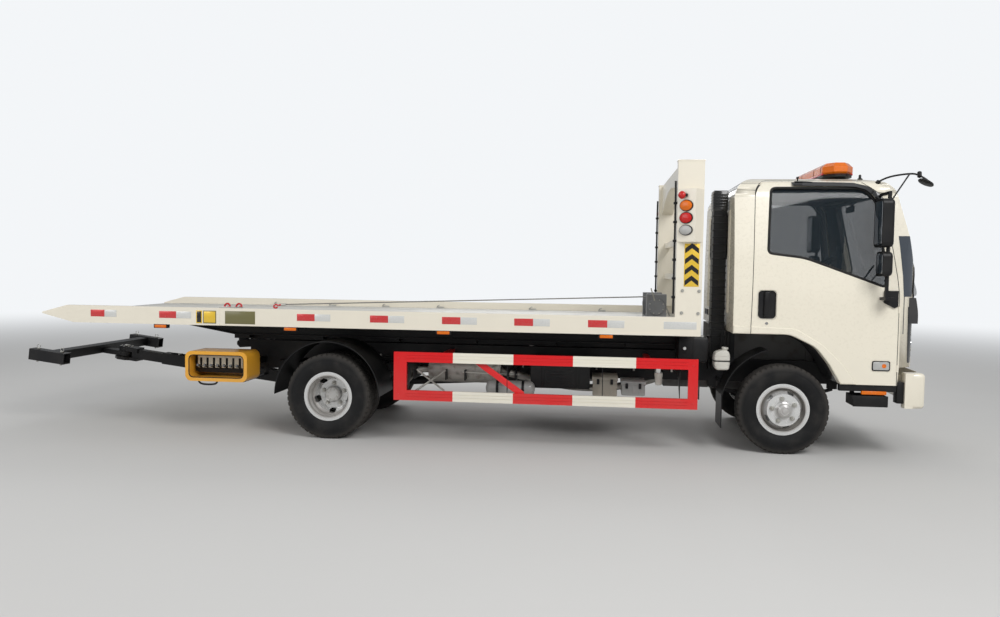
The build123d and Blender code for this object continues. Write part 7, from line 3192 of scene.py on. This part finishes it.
@dataclass
class LightBar(Assembly):
    """The amber light bar's base, lens joints, red lower band and feet.

    Attributes:
        x: its middle along the truck.
        half: half its length across.
        point: how far its ends taper.
        low: its lowest edge.
        high: its highest edge.
    """

    body: str = "cab"
    x: float = FRONT_AXLE_X + 0.505
    half: float = 0.650
    point: float = 0.110
    low: float = 2.520
    high: float = 2.640

    def outline(self, grow: float) -> list[Point2]:
        """The bar's six-sided outline from above, grown by a distance."""
        wide, tip = 0.135 + grow, 0.060 + grow
        reach, end = self.half - self.point + grow * 0.6, self.half + grow
        half_outline = [(wide, -reach), (wide, reach), (tip, end), (-tip, end)]
        half_outline += [(-wide, reach), (-wide, -reach), (-tip, -end), (tip, -end)]
        return [(self.x + x, y) for x, y in half_outline]

    def base(self) -> None:
        """A dark tray under the lens with a black rim, and the two feet."""
        tray_piece = outline_plate(
            "bar_base",
            rounded(self.outline(-0.004), 0.02, 3),
            Axis.Z,
            self.low - 0.012,
            0.020,
            0.003,
        )
        self.dress(tray_piece, Finish.BLACK, "black_plastic")
        rim = [(x, y, self.low + 0.012) for x, y in rounded(self.outline(-0.0005), 0.03, 4)]
        self.dress(pipe("bar_rim", rim, 0.0035, 8, False, True), Finish.BLACK, "black_plastic")
        for side in Side:
            y = side.value * 0.42
            foot = block(
                "bar_foot",
                (self.x - 0.10, y - 0.030, 2.4785),
                (self.x + 0.10, y + 0.030, 2.512),
                0.006,
            )
            bolt = rod(
                "foot_bolt", (self.x - 0.115, y, 2.490), (self.x + 0.115, y, 2.490), 0.009, 12
            )
            self.dress(joined(f"bar_foot_{side.word}", [foot, bolt]), Finish.BLACK, "black_plastic")

    def joints(self) -> None:
        """Dark joints between the lens modules, drawn round the bar's section."""
        wide = 0.135 + 0.0008
        section = [
            (-wide, self.low + 0.010),
            (-wide, self.high - 0.036),
            (-wide + 0.036, self.high - 0.0024),
        ]
        section += [(-x, z) for x, z in reversed(section)]
        for number, y in enumerate((-0.480, -0.230, 0.230, 0.480)):
            path = [(self.x + x, y, z) for x, z in section]
            self.dress(
                pipe(f"bar_joint_{number}", path, 0.0022, 8, False), Finish.SEAL, "black_plastic"
            )
        dark = [
            (-0.1368, self.low + 0.012),
            (-0.1368, self.low + 0.030),
            (0.1368, self.low + 0.030),
            (0.1368, self.low + 0.012),
        ]
        band = outline_plate(
            "bar_band", [(self.x + x, z) for x, z in dark], Axis.Y, -0.538, 1.076, 0.002
        )
        self.dress(band, Finish.RED_LENS, "lamp_red")

    def build(self) -> None:
        """Makes the bar's detail."""
        self.base()
        self.joints()


@dataclass
class CabInterior(Assembly):
    """Padded seats with headrests, the instrument hood and the gear lever.

    Attributes:
        back_x: the seat backs' rear face.
        base_z: the cushions' lowest edge.
    """

    body: str = "cab"
    back_x: float = FRONT_AXLE_X - 0.370
    base_z: float = 1.300

    def pad(self, name: str, low: Point, high: Point, swell: float) -> bpy.types.Object:
        """A stuffed cushion, swelled by cloth under pressure.

        Args:
            name: the object's name.
            low: its lowest corner.
            high: its highest corner.
            swell: how far a point may move outwards.
        """
        piece = block(name, [v + swell * 0.7 for v in low], [v - swell * 0.7 for v in high], 0.0)
        bevel(piece, 0.022, 2)
        only(piece)
        piece.data.remesh_voxel_size = 0.006
        bpy.ops.object.voxel_remesh()
        before = [vert.co.copy() for vert in piece.data.vertices]
        scene = bpy.context.scene
        cloth = piece.modifiers.new("swell", "CLOTH")
        cloth.settings.use_pressure = True
        cloth.settings.uniform_pressure_force = 4.0
        cloth.settings.effector_weights.gravity = 0.0
        for step in range(1, 21):
            scene.frame_set(step)
        bpy.ops.object.modifier_apply(modifier="swell")
        scene.frame_set(1)
        centre = [(a + b) / 2 for a, b in zip(low, high)]
        half = [(b - a) / 2 for a, b in zip(low, high)]
        for vert, start in zip(piece.data.vertices, before):
            move = vert.co - start
            if move.length > swell:
                vert.co = start + move.normalized() * swell
            for axis in range(3):
                reach = half[axis] - 0.0005
                vert.co[axis] = max(centre[axis] - reach, min(centre[axis] + reach, vert.co[axis]))
        return piece

    def channels(
        self,
        piece: bpy.types.Object,
        axis: int,
        places: Sequence[float],
        depth: float,
        face: int,
        sign: float,
    ) -> None:
        """Presses sewn channels into one face of a cushion.

        Args:
            piece: the cushion.
            axis: the axis that the channels are spaced along.
            places: where they run.
            depth: how deep they are.
            face: the axis that the pressed face looks along.
            sign: which of its two sides.
        """
        edge = max(vert.co[face] * sign for vert in piece.data.vertices)
        for vert in piece.data.vertices:
            if edge - vert.co[face] * sign > 0.05:
                continue
            for place in places:
                near = abs(vert.co[axis] - place) / 0.014
                if near < 1.0:
                    vert.co[face] -= sign * depth * (1.0 - near * near) ** 2
        piece.data.update()

    def seats(self) -> None:
        """Two outer seats and a middle one, each of a cushion, a back and a headrest."""
        x, z = self.back_x, self.base_z
        cushion = self.pad(
            "pad_cushion", (x + 0.070, 0.262, z), (x + 0.600, 0.818, z + 0.140), 0.014
        )
        self.channels(cushion, 1, (0.385, 0.695), 0.012, 2, 1.0)
        self.channels(cushion, 0, (x + 0.30, x + 0.42), 0.009, 2, 1.0)
        back = self.pad(
            "pad_back", (x + 0.005, 0.262, z + 0.120), (x + 0.119, 0.818, z + 0.540), 0.014
        )
        self.channels(back, 1, (0.385, 0.695), 0.011, 0, 1.0)
        self.channels(back, 2, (z + 0.26, z + 0.40), 0.009, 0, 1.0)
        rest = self.pad(
            "pad_rest", (x + 0.020, 0.410, z + 0.565), (x + 0.112, 0.670, z + 0.718), 0.012
        )
        pads = {"cushion": cushion, "back": back, "rest": rest}
        for word, centre, wide in (
            ("left", 0.540, 1.0), ("middle", 0.0, 0.70), ("right", -0.540, 1.0)
        ):
            move = Matrix.Translation((0.0, centre, 0.0)) @ Matrix.Scale(
                wide, 4, (0, 1, 0)
            ) @ Matrix.Translation((0.0, -0.540, 0.0))
            for part, pad in pads.items():
                piece = copy_to(pad, f"seat_{part}_{word}", move)
                self.dress(piece, Finish.CLOTH, "seat_cloth", angle=60.0)
                if (part, word) == ("cushion", "left"):
                    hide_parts("seats")
            stems = [
                rod(
                    "stem",
                    (x + 0.062, centre + dy, z + 0.53),
                    (x + 0.062, centre + dy, z + 0.575),
                    0.006,
                    12,
                )
                for dy in (-0.05, 0.05)
            ]
            half = 0.262 * wide
            stems.append(
                block(
                    "seat_base",
                    (x + 0.10, centre - half, 1.2215),
                    (x + 0.56, centre + half, z - 0.002),
                    0.012,
                )
            )
            stems.append(
                block(
                    "seat_shell",
                    (x, centre - half, z - 0.002),
                    (x + 0.012, centre + half, z + 0.52),
                    0.004,
                )
            )
            self.dress(joined(f"seat_frame_{word}", stems), Finish.DASH, "black_plastic")
        for pad in pads.values():
            bpy.data.objects.remove(pad)

    def cockpit(self) -> None:
        """The hood over the dials, air vents, the gear lever and the inner mirror."""
        x = FRONT_AXLE_X + 0.800
        hood = outline_plate(
            "dial_hood",
            rounded([(x, 1.425), (x + 0.015, 1.500), (x + 0.11, 1.530), (x + 0.26, 1.425)], 0.02),
            Axis.Y,
            0.34,
            0.36,
            0.008,
        )
        self.dress(hood, Finish.DASH, "black_plastic")
        vents = [
            block("air_vent", (x - 0.006, y - 0.06, 1.345), (x + 0.002, y + 0.06, 1.395), 0.004)
            for y in (-0.78, -0.30, 0.12, 0.80)
        ]
        vents.append(
            block("glove_box", (x - 0.005, -0.72, 1.225), (x + 0.002, -0.34, 1.325), 0.005)
        )
        vents.append(
            block("centre_stack", (x - 0.010, -0.16, 1.215), (x + 0.002, 0.16, 1.335), 0.006)
        )
        self.dress(joined("dash_fittings", vents), Finish.BLACK, "black_plastic")
        lever = [
            pipe(
                "gear_stalk",
                [(x - 0.16, 0.12, 1.225), (x - 0.15, 0.13, 1.36), (x - 0.19, 0.14, 1.50)],
                0.008,
                10,
            ),
            rod(
                "gear_knob",
                (x - 0.186, 0.14, 1.490),
                (x - 0.194, 0.14, 1.545),
                0.020,
                20,
                0.006,
                0.016,
            ),
            rod(
                "gear_boot",
                (x - 0.16, 0.12, 1.2215),
                (x - 0.155, 0.125, 1.290),
                0.050,
                20,
                0.004,
                0.014,
            ),
        ]
        self.dress(joined("gear_lever", lever), Finish.BLACK, "black_plastic")
        mirror = block("inner_mirror", (x - 0.02, -0.12, 2.225), (x - 0.005, 0.12, 2.285), 0.006)
        stem = rod("mirror_stem", (x - 0.010, 0.0, 2.28), (x + 0.045, 0.0, 2.335), 0.007, 12)
        self.dress(joined("inner_mirror", [mirror, stem]), Finish.BLACK, "black_plastic")
        for side in Side:
            y = side.value * 0.50
            visor = block(
                f"sun_visor_{side.word}",
                (x - 0.075, y - 0.20, 2.345),
                (x + 0.015, y + 0.20, 2.360),
                0.006,
            )
            self.dress(visor, Finish.LINING, "black_plastic")

    def build(self) -> None:
        """Makes what is seen through the windows."""
        self.seats()
        self.cockpit()


# Behind the cab and under the frame


@dataclass
class FrameGear(Assembly):
    """The ribbed air duct, washer bottle, oil tank, tail lamps and what is bolted to the frame.

    Attributes:
        duct_low: the air duct's lowest corner.
        duct_high: the air duct's highest corner.
        tail_x: the tail lamps' rear face.
        plate_x: the blank plate's rear face.
        battery_rear_x: the battery box's rear end.
        battery_front_x: the battery box's front end.
        silencer_y: the silencer's middle across the truck.
        silencer_z: the silencer's middle above the ground.
    """

    duct_low: Point = (FRONT_AXLE_X - 0.610, -0.640, 0.830)
    duct_high: Point = (FRONT_AXLE_X - 0.490, -0.490, 2.380)
    tail_x: float = REAR_AXLE_X - 1.060
    plate_x: float = REAR_AXLE_X - 1.034
    battery_rear_x: float = REAR_AXLE_X + 1.900
    battery_front_x: float = REAR_AXLE_X + 2.450
    silencer_y: float = -0.605
    silencer_z: float = 0.640

    def duct(self) -> None:
        """Ribs and clamps round the duct, its louvred head and the elbow at its foot."""
        (x0, y0, z0), (x1, y1, z1) = self.duct_low, self.duct_high
        ribs = []
        for step in range(19):
            z = z0 + 0.12 + 0.066 * step
            ribs.append(
                block(
                    "duct_rib",
                    (x0 - 0.005, y0 - 0.005, z),
                    (x1 + 0.005, y1 + 0.005, z + 0.014),
                    0.004,
                )
            )
        self.dress(joined("duct_ribs", ribs), Finish.BLACK, "black_plastic")
        slats = [
            block(
                "duct_head",
                (x0 - 0.007, y0 - 0.007, z1 - 0.190),
                (x1 + 0.007, y1 + 0.007, z1 - 0.002),
                0.010,
            )
        ]
        for step in range(6):
            z = z1 - 0.170 + 0.026 * step
            slats.append(
                block(
                    "head_slat",
                    (x0 - 0.011, y0 - 0.011, z),
                    (x1 + 0.009, y1 + 0.009, z + 0.010),
                    0.003,
                )
            )
        self.dress(joined("duct_head", slats), Finish.TRIM, "black_plastic")
        x, y = (x0 + x1) / 2, (y0 + y1) / 2
        elbow = pipe(
            "duct_elbow",
            [(x, y, z0 + 0.01), (x, y, 0.775), (x, y + 0.02, 0.742), (x, y + 0.13, 0.735)],
            0.046,
            20,
        )
        rings = [
            rod("elbow_ring", (x, y, z), (x, y, z + 0.008), 0.0495, 24, 0.002)
            for z in (0.785, 0.803, 0.818)
        ]
        self.dress(joined("duct_elbow", [elbow, *rings]), Finish.HOSE, "black_plastic")
        for number, (dx, dy, radius) in enumerate(
            ((0.035, -0.03, 0.012), (0.055, 0.02, 0.009), (-0.030, -0.05, 0.008))
        ):
            path = [
                (x1 + dx, y0 + dy, 1.06),
                (x1 + dx, y0 + dy - 0.01, 0.95),
                (x1 + dx - 0.01, y0 + dy + 0.02, 0.84),
                (x1 + dx - 0.04, -0.445, 0.775),
            ]
            self.dress(
                pipe(f"coolant_pipe_{number}", path, radius, 12), Finish.HOSE, "black_plastic"
            )
        stay = [
            block("duct_stay", (x0 - 0.004, y1 - 0.002, z), (x0 + 0.020, -0.40, z + 0.006), 0.002)
            for z in (0.905, 1.010)
        ]
        stay.append(
            block("duct_post", (x0 - 0.004, -0.418, 0.792), (x0 + 0.020, -0.400, 1.016), 0.002)
        )
        self.dress(joined("duct_stays", stay), Finish.FRAME, "chassis_black")

    def bottle(self) -> None:
        """A blown washer bottle with sloping shoulders, ribs, a neck and a cap."""
        x0, x1 = FRONT_AXLE_X - 0.618, FRONT_AXLE_X - 0.477
        outline = [
            (x0 + 0.018, 0.746), (x1 - 0.010, 0.746), (x1, 0.800), (x1, 0.880), (x1 - 0.012, 0.918)
        ]
        outline += [(x1 - 0.060, 0.930), (x0 + 0.012, 0.905), (x0, 0.860), (x0 + 0.004, 0.790)]
        body = outline_plate("bottle_body", rounded(outline, 0.022), Axis.Y, -0.957, 0.134, 0.016)
        neck = rod(
            "bottle_neck", (x1 - 0.045, -0.890, 0.915), (x1 - 0.040, -0.892, 0.934), 0.024, 24
        )
        ribs = [
            block("bottle_rib", (x0 + 0.006, -0.9595, z), (x1 - 0.006, -0.952, z + 0.006), 0.0025)
            for z in (0.795, 0.840, 0.870)
        ]
        whole = joined("bottle_shell", [body, neck, *ribs])
        self.dress(whole, Finish.BOTTLE, "tank_metal", angle=50.0)
        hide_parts("washer_bottle")
        cap = rod(
            "bottle_cap",
            (x1 - 0.040, -0.892, 0.932),
            (x1 - 0.038, -0.893, 0.9495),
            0.030,
            18,
            0.004,
        )
        self.dress(cap, Finish.BOTTLE, "tank_metal")
        arms = [
            block("bottle_arm", (x0 + 0.05, -0.835, z), (x0 + 0.075, -0.4255, z + 0.005), 0.0015)
            for z in (0.752, 0.765)
        ]
        arms.append(
            block("bottle_band", (x0 - 0.002, -0.960, 0.822), (x1 + 0.002, -0.820, 0.834), 0.002)
        )
        self.dress(joined("bottle_stay", arms), Finish.FRAME, "chassis_black")

    def oil_tank(self) -> None:
        """An oil tank on the rail behind the cab, with a filler, a sight glass and straps; its
        black is partly painted shade for the deep shadow behind the cab.
        """
        low, high = (2.110, -0.800, 0.795), (2.385, -0.510, 1.025)
        body = block("oil_tank_body", low, high, 0.022)
        seam = block("oil_tank_seam", (2.244, -0.803, 0.792), (2.251, -0.507, 1.028), 0.002)
        # Painted shade in part: the tank's black stands for the deep shadow behind the cab.
        self.dress(joined("oil_tank", [body, seam]), Finish.FRAME, "chassis_black")
        cap = rod("oil_filler", (2.330, -0.740, 1.020), (2.330, -0.740, 1.040), 0.026, 24, 0.004)
        self.dress(cap, Finish.CHROME, "cast_metal")
        glass = rod("oil_gauge", (2.170, -0.7985, 0.920), (2.170, -0.804, 0.920), 0.016, 24, 0.002)
        self.dress(glass, Finish.CHROME, "cast_metal")
        arms = [
            block("oil_arm", (x, -0.800, 0.790), (x + 0.030, -0.4255, 0.797), 0.002)
            for x in (2.14, 2.33)
        ]
        self.dress(joined("oil_tank_arms", arms), Finish.FRAME, "chassis_black")

    def tail_lamps(self) -> None:
        """Black lamp housings with red, amber and clear fields, and a blank plate between them."""
        x = self.tail_x
        for side in Side:
            sign = side.value
            y0, y1 = sorted((sign * 0.500, sign * 0.760))
            rim = tray(
                f"tail_rim_{side.word}",
                rounded(
                    [
                        (y0 - 0.004, 0.636),
                        (y1 + 0.004, 0.636),
                        (y1 + 0.004, 0.744),
                        (y0 - 0.004, 0.744),
                    ],
                    0.014,
                ),
                Axis.X,
                x - 0.004,
                x + 0.004,
                0.007,
            )
            self.dress(rim, Finish.BLACK, "black_plastic")
            for name, start, end, finish, slot in (
                ("stop", 0.507, 0.590, Finish.RED_LENS, "lamp_red"),
                ("turn", 0.594, 0.676, Finish.AMBER_LENS, "lamp_amber"),
                ("reverse", 0.680, 0.753, Finish.CLEAR_LENS, "lamp_clear"),
            ):
                z0, z1 = sorted((sign * start, sign * end))
                lens = block(
                    f"tail_{name}_{side.word}",
                    (x - 0.007, z0, 0.644),
                    (x + 0.001, z1, 0.736),
                    0.003,
                )
                self.dress(lens, finish, slot)
        plate = outline_plate(
            "tail_plate",
            rounded([(-0.22, 0.625), (0.22, 0.625), (0.22, 0.755), (-0.22, 0.755)], 0.012),
            Axis.X,
            self.plate_x,
            0.003,
            0.001,
        )
        self.dress(plate, Finish.SILVER_TAPE, "cab_white")

    def springs(self) -> None:
        """U-bolts with their plates over the springs, and brake chambers."""
        for axle_x, y, z, half in (
            (REAR_AXLE_X, 0.494, TYRE_RADIUS, 0.062), (FRONT_AXLE_X, 0.392, 0.310, 0.052)
        ):
            bolts = []
            for dx in (-half, half):
                for dy in (-0.040, 0.040):
                    bolts.append(
                        rod(
                            "u_bolt",
                            (axle_x + dx, -y + dy, z - 0.085),
                            (axle_x + dx, -y + dy, z + 0.150),
                            0.008,
                            12,
                        )
                    )
                    bolts.append(
                        rod(
                            "u_nut",
                            (axle_x + dx, -y + dy, z - 0.080),
                            (axle_x + dx, -y + dy, z - 0.066),
                            0.014,
                            6,
                        )
                    )
            bolts.append(
                block(
                    "u_plate",
                    (axle_x - half - 0.02, -y - 0.055, z + 0.128),
                    (axle_x + half + 0.02, -y + 0.055, z + 0.142),
                    0.003,
                )
            )
            word = "rear" if axle_x == REAR_AXLE_X else "front"
            self.pair(joined(f"u_bolts_{word}_right", bolts), Finish.CAST, "chassis_black")
        chamber = spun(
            "brake_chamber_right",
            [
                (0.0, 0.0),
                (0.0, 0.050),
                (0.016, 0.066),
                (0.060, 0.070),
                (0.066, 0.076),
                (0.074, 0.076),
                (0.080, 0.070),
                (0.120, 0.062),
                (0.136, 0.044),
                (0.136, 0.0),
            ],
            (REAR_AXLE_X + 0.150, -0.600, TYRE_RADIUS + 0.040),
            Axis.X,
            32,
        )
        self.pair(chamber, Finish.CAST, "chassis_black", None, 45.0)
        push = rod(
            "brake_push_right",
            (REAR_AXLE_X + 0.040, -0.600, TYRE_RADIUS + 0.040),
            (REAR_AXLE_X + 0.155, -0.600, TYRE_RADIUS + 0.040),
            0.009,
            12,
        )
        self.pair(push, Finish.ZINC, "chassis_black")

    def exhaust(self) -> None:
        """The pipe from the engine to the silencer and its tail pipe."""
        path = [
            (2.05, -0.24, 0.60),
            (1.80, -0.28, 0.50),
            (1.20, -0.52, 0.47),
            (0.62, self.silencer_y, 0.60),
            (0.44, self.silencer_y, self.silencer_z),
        ]
        self.dress(pipe("exhaust_front", path, 0.036, 16), Finish.GALVANISED, "tank_metal")
        path = [
            (-0.235, self.silencer_y, self.silencer_z),
            (-0.34, self.silencer_y, self.silencer_z),
            (-0.42, -0.66, 0.60),
            (-0.46, -0.80, 0.52),
        ]
        self.dress(pipe("exhaust_tail", path, 0.034, 16), Finish.GALVANISED, "tank_metal")

    def battery(self) -> None:
        """The battery box's lid, straps and ridges."""
        x0, x1 = self.battery_rear_x, self.battery_front_x
        lid = [
            block("battery_lid", (x0 - 0.004, -0.851, 0.742), (x1 + 0.004, -0.430, 0.776), 0.008)
        ]
        for x in (x0 + 0.10, x1 - 0.13):
            lid.append(
                block("battery_strap", (x, -0.850, 0.530), (x + 0.030, -0.843, 0.745), 0.002)
            )
        for step in range(6):
            z = 0.545 + 0.032 * step
            lid.append(
                block(
                    "battery_ridge", (x0 + 0.16, -0.849, z), (x1 - 0.16, -0.843, z + 0.010), 0.002
                )
            )
        self.dress(joined("battery_cover", lid), Finish.BLACK, "black_plastic")

    def build(self) -> None:
        """Makes everything on the frame."""
        self.duct()
        self.bottle()
        self.oil_tank()
        self.tail_lamps()
        self.springs()
        self.exhaust()
        self.battery()


def main() -> None:
    """Builds every assembly in turn and reports each one."""
    logging.basicConfig(level=logging.INFO, format="%(name)s: %(message)s")
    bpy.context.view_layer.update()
    palette = Palette()
    for kind in (
        CadFinishes,
        Tyres,
        WheelFittings,
        BedTrim,
        MastTrim,
        WinchDress,
        GuardTrim,
        ControlStation,
        LiftTrim,
        CabTrim,
        LightBar,
        CabInterior,
        FrameGear,
    ):
        assembly = kind(palette)
        assembly.build()
        assembly.report()


if __name__ == "__main__":
    Studio().clear()
    Studio().build()
    main()
